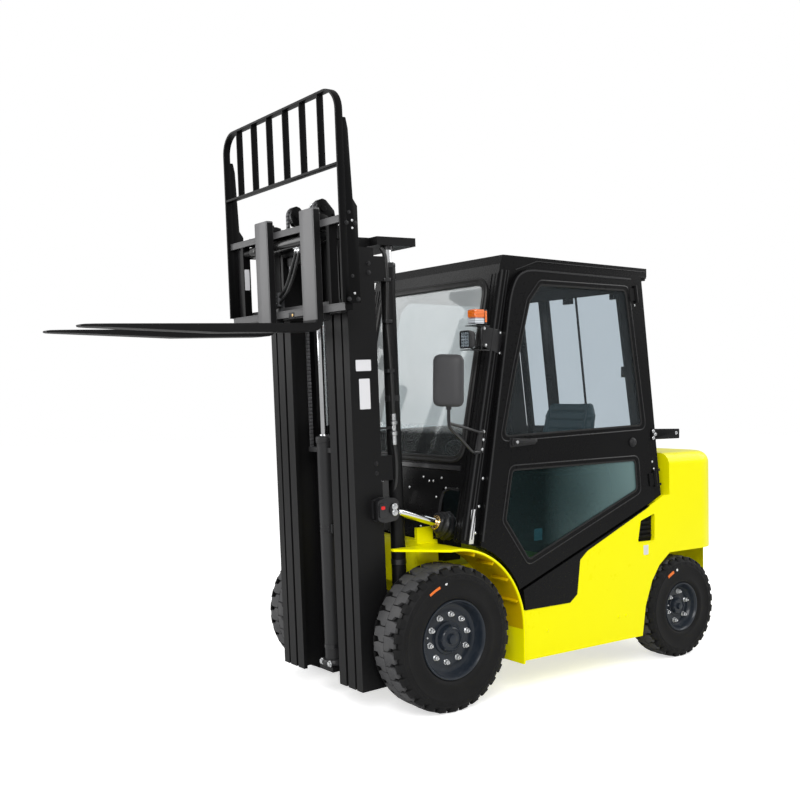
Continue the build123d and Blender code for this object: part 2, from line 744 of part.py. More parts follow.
# Front panel below the windscreen, with an opening for each tilt cylinder.
SCREEN_FOOT_Z = 1178
SCREEN_LOW = (FRONT_Z - SCREEN_FOOT_Z) / cos(RAKE)
SCREEN_TOP = (VISOR_Z - FRONT_Z) / cos(RAKE)
PANEL_SHEET = 14
PANEL_LOW = (PANEL_FOOT_Z - FRONT_Z) / cos(RAKE)
TILT_DOOR_X = 346
TILT_DOOR_H = 258
with BuildPart() as front_panel:
    extrude(
        rectangle(CAB_FRONT, (-SCREEN_X, PANEL_LOW), (SCREEN_X, -SCREEN_LOW)), amount=-PANEL_SHEET
    )
    for way in (-1, 1):
        extrude(
            rectangle(
                CAB_FRONT,
                *sorted(
                    ((way * TILT_DOOR_X, PANEL_LOW - 1), (way * (SCREEN_X + 1), PANEL_LOW + TILT_DOOR_H))
                ),
            ),
            amount=-PANEL_SHEET,
            mode=Mode.SUBTRACT,
        )
write(front_panel.part, "front_panel")

with BuildPart() as windscreen:
    extrude(
        rectangle(CAB_FRONT.offset(-4), (-SCREEN_X, -SCREEN_LOW), (SCREEN_X, SCREEN_TOP)), amount=-GLASS
    )
write(windscreen.part, "windscreen")

# Rear window, hung below the roof on a hinge along its top edge.
WINDOW_X = 478
WINDOW_HINGE_Z = 2146
with BuildPart() as rear_window:
    pane = outline(
        side(-WINDOW_X),
        (c_post_y(WINDOW_FOOT), WINDOW_FOOT), (c_post_y(WINDOW_HINGE_Z), WINDOW_HINGE_Z),
        (c_post_y(WINDOW_HINGE_Z) - WINDOW_SHEET, WINDOW_HINGE_Z), (
            c_post_y(WINDOW_FOOT) - WINDOW_SHEET, WINDOW_FOOT
        ),
    )
    extrude(pane, amount=2 * WINDOW_X)
    extrude(
        rectangle(
            front(HOOD_REAR_Y - 192),
            (-WINDOW_X + WINDOW_BORDER, WINDOW_FOOT + WINDOW_BORDER),
            (WINDOW_X - WINDOW_BORDER, WINDOW_HINGE_Z - 41),
            radius=60,
        ),
        amount=-400,
        mode=Mode.SUBTRACT,
    )
    for way in (-1, 1):
        extrude(disc(side(way * WINDOW_HINGE_X), WINDOW_HINGE, HINGE_R), amount=-way * LEAF_W)
        extrude(
            outline(
                side(way * WINDOW_HINGE_X),
                (WINDOW_HINGE[0] - HINGE_R, WINDOW_HINGE[1]), (
                    WINDOW_HINGE[0] + HINGE_R, WINDOW_HINGE[1]
                ),
                (c_post_y(WINDOW_HINGE_Z - 40), WINDOW_HINGE_Z - 40), (
                    c_post_y(WINDOW_HINGE_Z - 40) - 10, WINDOW_HINGE_Z - 40
                ),
            ),
            amount=-way * LEAF_W,
        )
        extrude(
            disc(side(way * (WINDOW_HINGE_X + 1)), WINDOW_HINGE, HINGE_PIN_R + RUN),
            amount=-way * (LEAF_W + 2),
            mode=Mode.SUBTRACT,
        )
write(rear_window.part, "rear_window_frame")

with BuildPart() as rear_glass:
    extrude(
        outline(
            side(-WINDOW_X),
            (c_post_y(WINDOW_FOOT) - 9, WINDOW_FOOT), (c_post_y(WINDOW_HINGE_Z) - 9, WINDOW_HINGE_Z),
            (c_post_y(WINDOW_HINGE_Z) - 9 - GLASS, WINDOW_HINGE_Z), (
                c_post_y(WINDOW_FOOT) - 9 - GLASS, WINDOW_FOOT
            ),
        ),
        amount=2 * WINDOW_X,
    )
    extrude(
        rectangle(
            front(HOOD_REAR_Y - 192),
            (-WINDOW_X + WINDOW_BORDER, WINDOW_FOOT + WINDOW_BORDER),
            (WINDOW_X - WINDOW_BORDER, WINDOW_HINGE_Z - 41),
            radius=60,
        ),
        amount=-400,
        mode=Mode.INTERSECT,
    )
write(rear_glass.part, "rear_window_glass")

# Doors: one panel with two glazed openings.
UPPER_PANE = [(336, 1307), (419, 1646), (520, 2000), (600, 2090), (1249, 2096), (1379, 1341)]
LOWER_PANE = [(394, 1147), (1321, 1159), (1336, 985), (506, 675), (345, 894)]
PANE_R = 30
DOOR_BEND = [(412, 2100), (455, DOOR_TOP_Z - 8)]
for name, way in (("left", 1), ("right", -1)):
    with BuildPart() as door:
        with BuildSketch(side(way * DOOR_X)) as skin:
            with BuildLine():
                d1 = Line(DOOR_FOOT, DOOR_FRONT_TOP)
                d2 = Bezier(d1 @ 1, *DOOR_BEND, DOOR_TOP_FRONT)
                d3 = Polyline(d2 @ 1, DOOR_TOP_REAR, DOOR_REAR_FOOT, DOOR_LOW)
                RadiusArc(d3 @ 1, DOOR_FOOT, -SILL_R)
            make_face()
        extrude(skin.sketch, amount=way * DOOR_SHEET)
        for pane in (UPPER_PANE, LOWER_PANE):
            extrude(
                outline(side(way * DOOR_X), *pane, radius=PANE_R),
                amount=way * DOOR_SHEET,
                mode=Mode.SUBTRACT,
            )
        for z in HINGE_HEIGHTS:
            plane = hinge_plane(way, z)
            extrude(disc(plane, (0, 0), HINGE_R), amount=HINGE_LENGTH)
            extrude(rectangle(plane, *hinge_leaf(way, 2 - HINGE_R, -50)), amount=HINGE_LENGTH)
            extrude(
                disc(plane.offset(-1), (0, 0), HINGE_PIN_R + RUN),
                amount=HINGE_LENGTH + 2,
                mode=Mode.SUBTRACT,
            )
    write(door.part, f"door_{name}")
    with BuildPart() as glass:
        for pane in (UPPER_PANE, LOWER_PANE):
            extrude(outline(side(way * (DOOR_X + 9)), *pane, radius=PANE_R), amount=way * GLASS)
    write(glass.part, f"door_glass_{name}")

# Engine hood, an open-bottomed box hinged at its rear top edge, with the seat on it.
with BuildPart() as engine_hood:
    extrude(
        rectangle(level(HOOD_FOOT), (-HOOD_X, HOOD_FRONT_Y), (HOOD_X, HOOD_REAR_Y - 20)),
        amount=HOOD_TOP - HOOD_FOOT,
    )
    extrude(
        rectangle(
            level(HOOD_FOOT - 10),
            (-HOOD_X + HOOD_SHEET, HOOD_FRONT_Y + HOOD_SHEET), (HOOD_X - HOOD_SHEET, HOOD_REAR_Y),
        ),
        amount=HOOD_TOP - HOOD_SHEET - HOOD_FOOT + 10,
        mode=Mode.SUBTRACT,
    )
    extrude(rectangle(level(HOOD_TOP), (-160, 1000), (160, 1370)), amount=SEAT_FOOT)
    for way in (-1, 1):
        extrude(disc(side(way * HOOD_HINGE_X), HOOD_HINGE, HINGE_R), amount=-way * LEAF_W)
        extrude(
            rectangle(
                side(way * HOOD_HINGE_X),
                (HOOD_REAR_Y - LEAF_W, HOOD_TOP - HOOD_SHEET), (HOOD_HINGE[0], HOOD_TOP),
            ),
            amount=-way * LEAF_W,
        )
        extrude(
            disc(side(way * (HOOD_HINGE_X + 1)), HOOD_HINGE, HINGE_PIN_R + RUN),
            amount=-way * (LEAF_W + 2),
            mode=Mode.SUBTRACT,
        )
write(engine_hood.part, "engine_hood")

CUSHION_FRONT_Y = 940
CUSHION_REAR_Y = 1370
CUSHION_TOP = 1220
SEAT_TOP = 1487
with BuildPart() as seat_cushion:
    extrude(
        rectangle(
            level(HOOD_TOP + SEAT_FOOT), (-SEAT_X, CUSHION_FRONT_Y), (SEAT_X, CUSHION_REAR_Y), radius=60
        ),
        amount=CUSHION_TOP - HOOD_TOP - SEAT_FOOT,
    )
write(seat_cushion.part, "seat_cushion")

with BuildPart() as seat_back:
    extrude(
        outline(
            side(-SEAT_X),
            (CUSHION_REAR_Y - 40, CUSHION_TOP + RUN), (CUSHION_REAR_Y + 15, SEAT_TOP), (
                CUSHION_REAR_Y + 70, SEAT_TOP
            ),
            (CUSHION_REAR_Y + 30, CUSHION_TOP - 40), (CUSHION_REAR_Y + RUN, CUSHION_TOP - 40),
            (CUSHION_REAR_Y + RUN, CUSHION_TOP + RUN),
        ),
        amount=2 * SEAT_X,
    )
write(seat_back.part, "seat_back")

# Dashboard with the steering column, and the steering wheel.
COLUMN_FOOT = (330, 900)
WHEEL_HUB = (600, 1150)
COLUMN_TILT = atan((WHEEL_HUB[1] - COLUMN_FOOT[1]) / (WHEEL_HUB[0] - COLUMN_FOOT[0]))
COLUMN = Plane(
    origin=(0, AXLE_Y + WHEEL_HUB[0], WHEEL_HUB[1]),
    x_dir=(1, 0, 0),
    z_dir=(0, cos(COLUMN_TILT), sin(COLUMN_TILT)),
)
DASH_X = 200
DASH_Y = (250, 360)
DASH_TOP = [(250, 1020), (330, 1040), (400, 960)]
COLUMN_LENGTH = 300
COLUMN_GAP = 10
COLUMN_R = 28
HUB_R = 40
HUB_LENGTH = 30
RUN_FIT = 0.3
STEERING_R = 150
STEERING_GRIP_R = 13
SPOKE_R = 7
SPOKE_FOOT = 25
with BuildPart() as dashboard:
    extrude(
        outline(side(-DASH_X), (DASH_Y[0], FLOOR_Z), *DASH_TOP, (DASH_Y[1], FLOOR_Z)),
        amount=2 * DASH_X,
    )
    extrude(disc(COLUMN.offset(-COLUMN_LENGTH), (0, 0), COLUMN_R), amount=COLUMN_LENGTH - COLUMN_GAP)
write(dashboard.part, "dashboard")

with BuildPart() as steering_wheel:
    extrude(disc(COLUMN.offset(RUN_FIT - COLUMN_GAP), (0, 0), HUB_R), amount=HUB_LENGTH)
    rim_plane = Plane(
        origin=COLUMN.origin + COLUMN.x_dir * STEERING_R, x_dir=COLUMN.x_dir, z_dir=COLUMN.y_dir
    )
    with BuildSketch(rim_plane) as rim_section:
        Circle(STEERING_GRIP_R)
    revolve(rim_section.sketch, axis=Axis(COLUMN.origin, COLUMN.z_dir))
    for turn in (90, 210, 330):
        spoke = Vector(cos(radians(turn)), sin(radians(turn)), 0)
        foot = COLUMN.from_local_coords(spoke * SPOKE_FOOT)
        spoke_plane = Plane(
            origin=foot, x_dir=COLUMN.z_dir, z_dir=COLUMN.from_local_coords(spoke * STEERING_R) - foot
        )
        with BuildSketch(spoke_plane) as arm:
            Circle(SPOKE_R)
        extrude(arm.sketch, amount=STEERING_R - SPOKE_FOOT)
write(steering_wheel.part, "steering_wheel")

# Work lamps, turn lamps and mirrors, each pair on brackets from the cab's front posts.
WORK_LAMP_X = 595
WORK_LAMP_Y = 130
WORK_LAMP_W = 76
WORK_LAMP_DEPTH = 55
WORK_LAMP_CORNER = 14
TURN_LAMP_X = 577
TURN_LAMP_Y = 210
TURN_LAMP_W = 60
TURN_LAMP_DEPTH = 75
TURN_LAMP_CORNER = 12
BRACKET_REACH = (78, 60)
BRACKET_FRONT_Y = 150
POST_SET = 5
SHELF_W = 55
TURN_SHELF_Y = (120, 230)
WORK_SHELF_Y = (80, 160)
WEB_REAR_Y = 170
BRACKET_Z = (1760, 1860)
WORK_LAMP_Z = (1744, 1834)
TURN_LAMP_Z = (1862, 1940)
BRACKET_SHEET = 4
with BuildPart() as lamp_brackets:
    for way in (-1, 1):
        extrude(
            outline(
                side(way * CAB_X),
                (front_y(BRACKET_Z[0]) + POST_SET, BRACKET_Z[0]),
                (front_y(BRACKET_Z[0]) + BRACKET_REACH[0], BRACKET_Z[0]),
                (front_y(BRACKET_Z[1]) + BRACKET_REACH[1], BRACKET_Z[1]),
                (front_y(BRACKET_Z[1]) + POST_SET, BRACKET_Z[1]),
            ),
            amount=way * BRACKET_SHEET,
        )
        extrude(
            rectangle(
                side(way * CAB_X),
                (BRACKET_FRONT_Y, BRACKET_Z[0] + POST_SET),
                (front_y(BRACKET_Z[0]) + 2 * POST_SET, BRACKET_Z[1] - 2),
            ),
            amount=way * BRACKET_SHEET,
        )
        extrude(
            rectangle(
                level(TURN_LAMP_Z[0] - BRACKET_SHEET),
                (way * CAB_X, TURN_SHELF_Y[0]),
                (way * (CAB_X + SHELF_W), TURN_SHELF_Y[1]),
            ),
            amount=BRACKET_SHEET,
        )
        extrude(
            rectangle(
                level(WORK_LAMP_Z[0] - BRACKET_SHEET),
                (way * CAB_X, WORK_SHELF_Y[0]),
                (way * (CAB_X + SHELF_W), WORK_SHELF_Y[1]),
            ),
            amount=BRACKET_SHEET,
        )
        extrude(
            rectangle(
                side(way * CAB_X),
                (TURN_SHELF_Y[0], WORK_LAMP_Z[0] - BRACKET_SHEET),
                (WEB_REAR_Y, TURN_LAMP_Z[0]),
            ),
            amount=way * BRACKET_SHEET,
        )
write(lamp_brackets.part, "lamp_brackets")

with BuildPart() as work_lamps:
    for way in (-1, 1):
        extrude(
            rectangle(
                front(WORK_LAMP_Y),
                (way * WORK_LAMP_X - WORK_LAMP_W / 2, WORK_LAMP_Z[0]),
                (way * WORK_LAMP_X + WORK_LAMP_W / 2, WORK_LAMP_Z[1]),
                radius=WORK_LAMP_CORNER,
            ),
            amount=WORK_LAMP_DEPTH,
        )
write(work_lamps.part, "work_lamps")

with BuildPart() as turn_lamps:
    for way in (-1, 1):
        extrude(
            rectangle(
                front(TURN_LAMP_Y),
                (way * TURN_LAMP_X - TURN_LAMP_W / 2, TURN_LAMP_Z[0]),
                (way * TURN_LAMP_X + TURN_LAMP_W / 2, TURN_LAMP_Z[1]),
                radius=TURN_LAMP_CORNER,
            ),
            amount=TURN_LAMP_DEPTH,
        )
write(turn_lamps.part, "turn_lamps")

MIRROR_YAW = 28
MIRROR_X = 640
MIRROR_Y = -60
MIRROR_Z = 1592
MIRROR_W = 164
MIRROR_H = 264
MIRROR_T = 42
MIRROR_CORNER = 34
ARM_R = 8
STEM_Y = MIRROR_Y - 2
STEM_FOOT_Z = 1330
STEM_LENGTH = 150
ARM_RISE = 15
ARM_FEET = [(211, 1338), (158, 1241)]
ARM_INSET = 12
FOOT_PLATE = [(150, 1225), (225, 1350)]
FOOT_SHEET = 5
with BuildPart() as mirrors:
    for way in (-1, 1):
        head = Location((way * MIRROR_X, AXLE_Y + MIRROR_Y, MIRROR_Z))
        glass_plane = Plane(head * Rotation(0, 0, way * MIRROR_YAW) * Rotation(90, 0, 0))
        extrude(
            rectangle(
                glass_plane,
                (-MIRROR_W / 2, -MIRROR_H / 2), (MIRROR_W / 2, MIRROR_H / 2),
                radius=MIRROR_CORNER,
            ),
            amount=MIRROR_T,
        )
        extrude(disc(level(STEM_FOOT_Z), (way * MIRROR_X, STEM_Y), ARM_R + 1), amount=STEM_LENGTH)
        elbow = Vector(way * MIRROR_X, AXLE_Y + STEM_Y, STEM_FOOT_Z + ARM_RISE)
        for foot_y, foot_z in ARM_FEET:
            foot = Vector(way * (CAB_X + ARM_INSET), AXLE_Y + foot_y, foot_z)
            with BuildSketch(Plane(origin=foot, z_dir=elbow - foot)) as tube:
                Circle(ARM_R)
            extrude(tube.sketch, amount=(elbow - foot).length)
        extrude(rectangle(side(way * CAB_X), *FOOT_PLATE), amount=way * FOOT_SHEET)
write(mirrors.part, "mirrors")


# Mast stages, each a pair of channels open towards the middle, tied behind.
def channel(outer_x, flange, way):
    """Channel section in the leaned level plane: web outside, flanges towards the middle."""
    rear = MAST_FRONT_Y + RAIL_DEPTH
    inner = outer_x - flange
    web = outer_x - RAIL_WEB
    return outline(
        mast(level(MAST_BOTTOM)),
        (way * outer_x, MAST_FRONT_Y), (way * outer_x, rear), (way * inner, rear), (
            way * inner, rear - RAIL_FLANGE
        ),
        (way * web, rear - RAIL_FLANGE), (way * web, MAST_FRONT_Y + RAIL_FLANGE),
        (way * inner, MAST_FRONT_Y + RAIL_FLANGE), (way * inner, MAST_FRONT_Y),
    )


OUTER_TOP = 2240
STAGE_TOP = 2296
MIDDLE_X = MAST_X - OUTER_FLANGE_W - STAGE_GAP
INNER_X = MIDDLE_X - STAGE_FLANGE_W - STAGE_GAP - 4
ROLLER_R = RAIL_DEPTH / 2 - RAIL_FLANGE - RUN
ROLLER_PIN_R = 18
RAIL_REAR = MAST_FRONT_Y + RAIL_DEPTH
INNER_TIE_Y = (RAIL_REAR + 4, RAIL_REAR + 18)
MIDDLE_TIE_Y = (RAIL_REAR + 24, RAIL_REAR + 40)
OUTER_TIE_Y = (RAIL_REAR + 46, RAIL_REAR + 64)
EAR_X = 270
EAR_SHEET = 24
EAR_Z = (250, 420)
EAR_Y = (-40, 60)
EAR_HALF = (80, 66)
CLEVIS_SHEET = 16
CLEVIS_INNER_W = 36
CLEVIS_Y = (90, 26)
CLEVIS_HALF_Z = 45
TIE_LOW = (MAST_BOTTOM + 60, 420)
TIE_MID = (1120, 1240)
TIE_TOP = (2080, 2200)
MIDDLE_FOOT_TIE = (MAST_BOTTOM + 20, MAST_BOTTOM + 150)
MIDDLE_WAIST_TIE = (1280, 1380)
TOP_TIE_Z = 2255
INNER_TIES = ((MAST_BOTTOM + 24, MAST_BOTTOM + 200), (1180, 1260), (2150, 2240))
ROLLER_HEIGHTS = (MAST_BOTTOM + 80, MAST_BOTTOM + 380)
ROLLER_Y = (MAST_FRONT_Y + RAIL_REAR) / 2
with BuildPart() as mast_outer:
    for way in (-1, 1):
        extrude(channel(MAST_X, OUTER_FLANGE_W, way), amount=OUTER_TOP - MAST_BOTTOM)
        for low, high in (TIE_LOW, TIE_MID, TIE_TOP):
            extrude(
                rectangle(
                    mast(level(low)),
                    *sorted(
                        ((way * (MAST_X - OUTER_FLANGE_W), RAIL_REAR), (way * MAST_X, OUTER_TIE_Y[1]))
                    ),
                ),
                amount=high - low,
            )
        # Ear around the axle tube.
        extrude(
            outline(
                mast(side(way * EAR_X)),
                (OUTER_TIE_Y[0], EAR_Z[0]), (OUTER_TIE_Y[0], EAR_Z[1]),
                (EAR_Y[0], FRONT_TYRE_R + EAR_HALF[0]), (EAR_Y[1], FRONT_TYRE_R + EAR_HALF[1]),
                (EAR_Y[1], FRONT_TYRE_R - EAR_HALF[1]), (EAR_Y[0], FRONT_TYRE_R - EAR_HALF[0]),
            ),
            amount=way * EAR_SHEET,
        )
        # Clevis outside the rail for the tilt cylinder's rod eye.
        extrude(
            rectangle(
                mast(side(way * MAST_X)),
                (TILT_FRONT[0] - CLEVIS_Y[0], TILT_FRONT[1] - CLEVIS_HALF_Z),
                (TILT_FRONT[0] + CLEVIS_Y[1], TILT_FRONT[1] + CLEVIS_HALF_Z),
            ),
            amount=way * (TILT_X + CLEVIS_INNER_W / 2 + CLEVIS_SHEET - MAST_X),
        )
        extrude(
            rectangle(
                mast(side(way * (TILT_X - CLEVIS_INNER_W / 2))),
                (TILT_FRONT[0] - TILT_EYE_R - 12, TILT_FRONT[1] - CLEVIS_HALF_Z - 1),
                (TILT_FRONT[0] + CLEVIS_Y[1] + 1, TILT_FRONT[1] + CLEVIS_HALF_Z + 1),
            ),
            amount=way * CLEVIS_INNER_W,
            mode=Mode.SUBTRACT,
        )
        extrude(
            disc(mast(side(way * MAST_X)), TILT_FRONT, TILT_PIN_R),
            amount=way * (TILT_X + CLEVIS_INNER_W / 2 + CLEVIS_SHEET - MAST_X),
        )
    for low, high in (TIE_LOW, TIE_MID, TIE_TOP):
        extrude(
            rectangle(mast(level(low)), (-MAST_X, OUTER_TIE_Y[0]), (MAST_X, OUTER_TIE_Y[1])),
            amount=high - low,
        )
    extrude(
        disc(mast(side(-EAR_X - EAR_SHEET)), (0, FRONT_TYRE_R), AXLE_TUBE_R + RUN),
        amount=2 * (EAR_X + EAR_SHEET),
        mode=Mode.SUBTRACT,
    )
write(mast_outer.part, "mast_outer")

TOP_TIE_BACK = 25
MIDDLE_PIN_LENGTH = 20
MIDDLE_ROLLER_W = 24
with BuildPart() as mast_middle:
    for way in (-1, 1):
        extrude(channel(MIDDLE_X, STAGE_FLANGE_W, way), amount=STAGE_TOP - MAST_BOTTOM)
        for z in ROLLER_HEIGHTS:
            extrude(
                disc(mast(side(way * MIDDLE_X)), (ROLLER_Y, z), ROLLER_PIN_R),
                amount=way * MIDDLE_PIN_LENGTH,
            )
            extrude(
                disc(mast(side(way * (MIDDLE_X + MIDDLE_PIN_LENGTH))), (ROLLER_Y, z), ROLLER_R),
                amount=way * MIDDLE_ROLLER_W,
            )
        for low, high in (MIDDLE_FOOT_TIE, MIDDLE_WAIST_TIE, (TOP_TIE_Z, STAGE_TOP)):
            extrude(
                rectangle(
                    mast(level(low)),
                    *sorted(
                        (
                            (way * (MIDDLE_X - STAGE_FLANGE_W), RAIL_REAR),
                            (way * MIDDLE_X, MIDDLE_TIE_Y[1]),
                        ),
                    ),
                ),
                amount=high - low,
            )
    for low, high in (MIDDLE_FOOT_TIE, MIDDLE_WAIST_TIE):
        extrude(
            rectangle(mast(level(low)), (-MIDDLE_X, MIDDLE_TIE_Y[0]), (MIDDLE_X, MIDDLE_TIE_Y[1])),
            amount=high - low,
        )
    extrude(
        rectangle(mast(level(TOP_TIE_Z)), (-MAST_X, MIDDLE_TIE_Y[0]), (MAST_X, TOP_TIE_BACK)),
        amount=STAGE_TOP - TOP_TIE_Z,
    )
write(mast_middle.part, "mast_middle")

INNER_PIN_LENGTH = 34
INNER_ROLLER_W = 22
BARREL_FOOT = MAST_BOTTOM + 24
FREE_FOOT_X = 60
FREE_FOOT_FRONT = 45
FREE_FOOT_T = 25
with BuildPart() as mast_inner:
    for way in (-1, 1):
        extrude(channel(INNER_X, STAGE_FLANGE_W, way), amount=STAGE_TOP - MAST_BOTTOM)
        for z in ROLLER_HEIGHTS:
            extrude(
                disc(mast(side(way * INNER_X)), (ROLLER_Y, z), ROLLER_PIN_R),
                amount=way * INNER_PIN_LENGTH,
            )
            extrude(
                disc(mast(side(way * (INNER_X + INNER_PIN_LENGTH))), (ROLLER_Y, z), ROLLER_R),
                amount=way * INNER_ROLLER_W,
            )
        for low, high in INNER_TIES:
            extrude(
                rectangle(
                    mast(level(low)),
                    *sorted(
                        ((way * (INNER_X - STAGE_FLANGE_W), RAIL_REAR), (way * INNER_X, INNER_TIE_Y[1]))
                    ),
                ),
                amount=high - low,
            )
    for low, high in INNER_TIES:
        extrude(
            rectangle(mast(level(low)), (-INNER_X, INNER_TIE_Y[0]), (INNER_X, INNER_TIE_Y[1])),
            amount=high - low,
        )
    # Foot of the free-lift cylinder.
    extrude(
        rectangle(
            mast(level(BARREL_FOOT)),
            (-FREE_FOOT_X, FREE_Y - FREE_FOOT_FRONT), (FREE_FOOT_X, INNER_TIE_Y[1]),
        ),
        amount=FREE_FOOT_T,
    )
write(mast_inner.part, "mast_inner")

# Side lift cylinders between the outer mast's foot and the middle mast's top tie.
LIFT_BARREL_TOP = 2150
SADDLE_HALF = 30
SADDLES = [(MAST_BOTTOM + 70, 60), (2090, 40)]
COLLAR_HEIGHT = 60
COLLAR_PROUD = 4
with BuildPart() as lift_barrels:
    for way in (-1, 1):
        extrude(
            disc(mast(level(BARREL_FOOT)), (way * LIFT_X, LIFT_Y), LIFT_BARREL_R),
            amount=LIFT_BARREL_TOP - BARREL_FOOT,
        )
        extrude(
            disc(mast(level(LIFT_BARREL_TOP)), (way * LIFT_X, LIFT_Y), LIFT_BARREL_R + COLLAR_PROUD),
            amount=-COLLAR_HEIGHT,
        )
        for saddle_z, saddle_height in SADDLES:
            extrude(
                rectangle(
                    mast(level(saddle_z)),
                    (way * LIFT_X - SADDLE_HALF, OUTER_TIE_Y[1]), (way * LIFT_X + SADDLE_HALF, LIFT_Y),
                ),
                amount=saddle_height,
            )
        extrude(
            disc(mast(level(TIE_LOW[0])), (way * LIFT_X, LIFT_Y), LIFT_ROD_R + RUN),
            amount=LIFT_BARREL_TOP,
            mode=Mode.SUBTRACT,
        )
write(lift_barrels.part, "lift_barrels")

with BuildPart() as lift_rods:
    for way in (-1, 1):
        extrude(
            disc(mast(level(ROLLER_HEIGHTS[0])), (way * LIFT_X, LIFT_Y), LIFT_ROD_R),
            amount=TOP_TIE_Z - ROLLER_HEIGHTS[0],
        )
write(lift_rods.part, "lift_rods")

# Free-lift cylinder in the middle, its rod, crosshead and pulleys.
CROSS_Z = 2402
FREE_ROD_FOOT = 1180
ANCHOR_BAR_Z = FREE_BARREL_TOP - 70
PULLEY_X = 125
PULLEY_Y = -360
PULLEY_Z = 2450
PULLEY_R = 36
PULLEY_HALF = 10
PULLEY_PIN_R = 12
PULLEY_PLATE = 8
CHAIN_W = 16
CHAIN_T = 14
CROSS_T = 28
ANCHOR_BAR_T = 24
ANCHOR_BAR_Y = (14, 22)
CHAIN_SLOT = 12
CROSS_Y = (30, 26)
CROSS_END = 20
FREE_FOOT_Z = BARREL_FOOT + FREE_FOOT_T
with BuildPart() as free_lift_barrel:
    extrude(
        disc(mast(level(FREE_FOOT_Z)), (0, FREE_Y), FREE_BARREL_R),
        amount=FREE_BARREL_TOP - FREE_FOOT_Z,
    )
    extrude(
        rectangle(
            mast(level(ANCHOR_BAR_Z)),
            (-PULLEY_X - CHAIN_SLOT, FREE_Y - ANCHOR_BAR_Y[0]),
            (PULLEY_X + CHAIN_SLOT, FREE_Y + ANCHOR_BAR_Y[1]),
        ),
        amount=ANCHOR_BAR_T,
    )
    extrude(
        disc(mast(level(ROLLER_HEIGHTS[0])), (0, FREE_Y), FREE_ROD_R + RUN),
        amount=FREE_BARREL_TOP,
        mode=Mode.SUBTRACT,
    )
write(free_lift_barrel.part, "free_lift_barrel")

with BuildPart() as free_lift_rod:
    extrude(disc(mast(level(FREE_ROD_FOOT)), (0, FREE_Y), FREE_ROD_R), amount=CROSS_Z - FREE_ROD_FOOT)
    extrude(
        rectangle(
            mast(level(CROSS_Z)),
            (-PULLEY_X - CROSS_END, FREE_Y - CROSS_Y[0]), (PULLEY_X + CROSS_END, FREE_Y + CROSS_Y[1]),
        ),
        amount=CROSS_T,
    )
    for way in (-1, 1):
        extrude(
            rectangle(
                mast(level(CROSS_Z - 1)),
                (way * PULLEY_X - CHAIN_SLOT, FREE_Y - CROSS_Y[0] - 1),
                (way * PULLEY_X + CHAIN_SLOT, PULLEY_Y + PULLEY_R + CHAIN_T + 4),
            ),
            amount=CROSS_T + 2,
            mode=Mode.SUBTRACT,
        )
        for offset in (-CHAIN_SLOT - PULLEY_PLATE, CHAIN_SLOT):
            extrude(
                outline(
                    mast(side(way * PULLEY_X + offset)),
                    (FREE_Y + CROSS_Y[1], CROSS_Z), (FREE_Y - 60, CROSS_Z),
                    (PULLEY_Y - 24, PULLEY_Z - 10), (PULLEY_Y - 18, PULLEY_Z + 40),
                    (PULLEY_Y + 12, PULLEY_Z + 44), (FREE_Y + 20, PULLEY_Z - 4),
                ),
                amount=PULLEY_PLATE,
            )
        extrude(
            disc(mast(side(way * PULLEY_X - CHAIN_SLOT - 2)), (PULLEY_Y, PULLEY_Z), PULLEY_PIN_R),
            amount=2 * CHAIN_SLOT + 4,
        )
        extrude(
            disc(mast(side(way * PULLEY_X - PULLEY_HALF)), (PULLEY_Y, PULLEY_Z), PULLEY_R),
            amount=2 * PULLEY_HALF,
        )
write(free_lift_rod.part, "free_lift_rod")

ANCHOR_TOP = ANCHOR_BAR_Z + ANCHOR_BAR_T
CARRIAGE_ANCHOR = 2236
with BuildPart() as carriage_chains:
    for way in (-1, 1):
        with BuildSketch(mast(side(way * PULLEY_X - CHAIN_W / 2))) as wrap:
            with Locations((PULLEY_Y, PULLEY_Z)):
                Circle(PULLEY_R + CHAIN_T)
                Circle(PULLEY_R, mode=Mode.SUBTRACT)
            with Locations((PULLEY_Y, PULLEY_Z - 100)):
                Rectangle(200, 200, mode=Mode.SUBTRACT)
        extrude(wrap.sketch, amount=CHAIN_W)
        extrude(
            rectangle(
                mast(side(way * PULLEY_X - CHAIN_W / 2)),
                (PULLEY_Y - PULLEY_R - CHAIN_T, CARRIAGE_ANCHOR), (PULLEY_Y - PULLEY_R, PULLEY_Z),
            ),
            amount=CHAIN_W,
        )
write(carriage_chains.part, "carriage_chains")

with BuildPart() as anchor_chains:
    for way in (-1, 1):
        extrude(
            rectangle(
                mast(side(way * PULLEY_X - CHAIN_W / 2)),
                (PULLEY_Y + PULLEY_R, ANCHOR_TOP), (PULLEY_Y + PULLEY_R + CHAIN_T, PULLEY_Z),
            ),
            amount=CHAIN_W,
        )
write(anchor_chains.part, "anchor_chains")

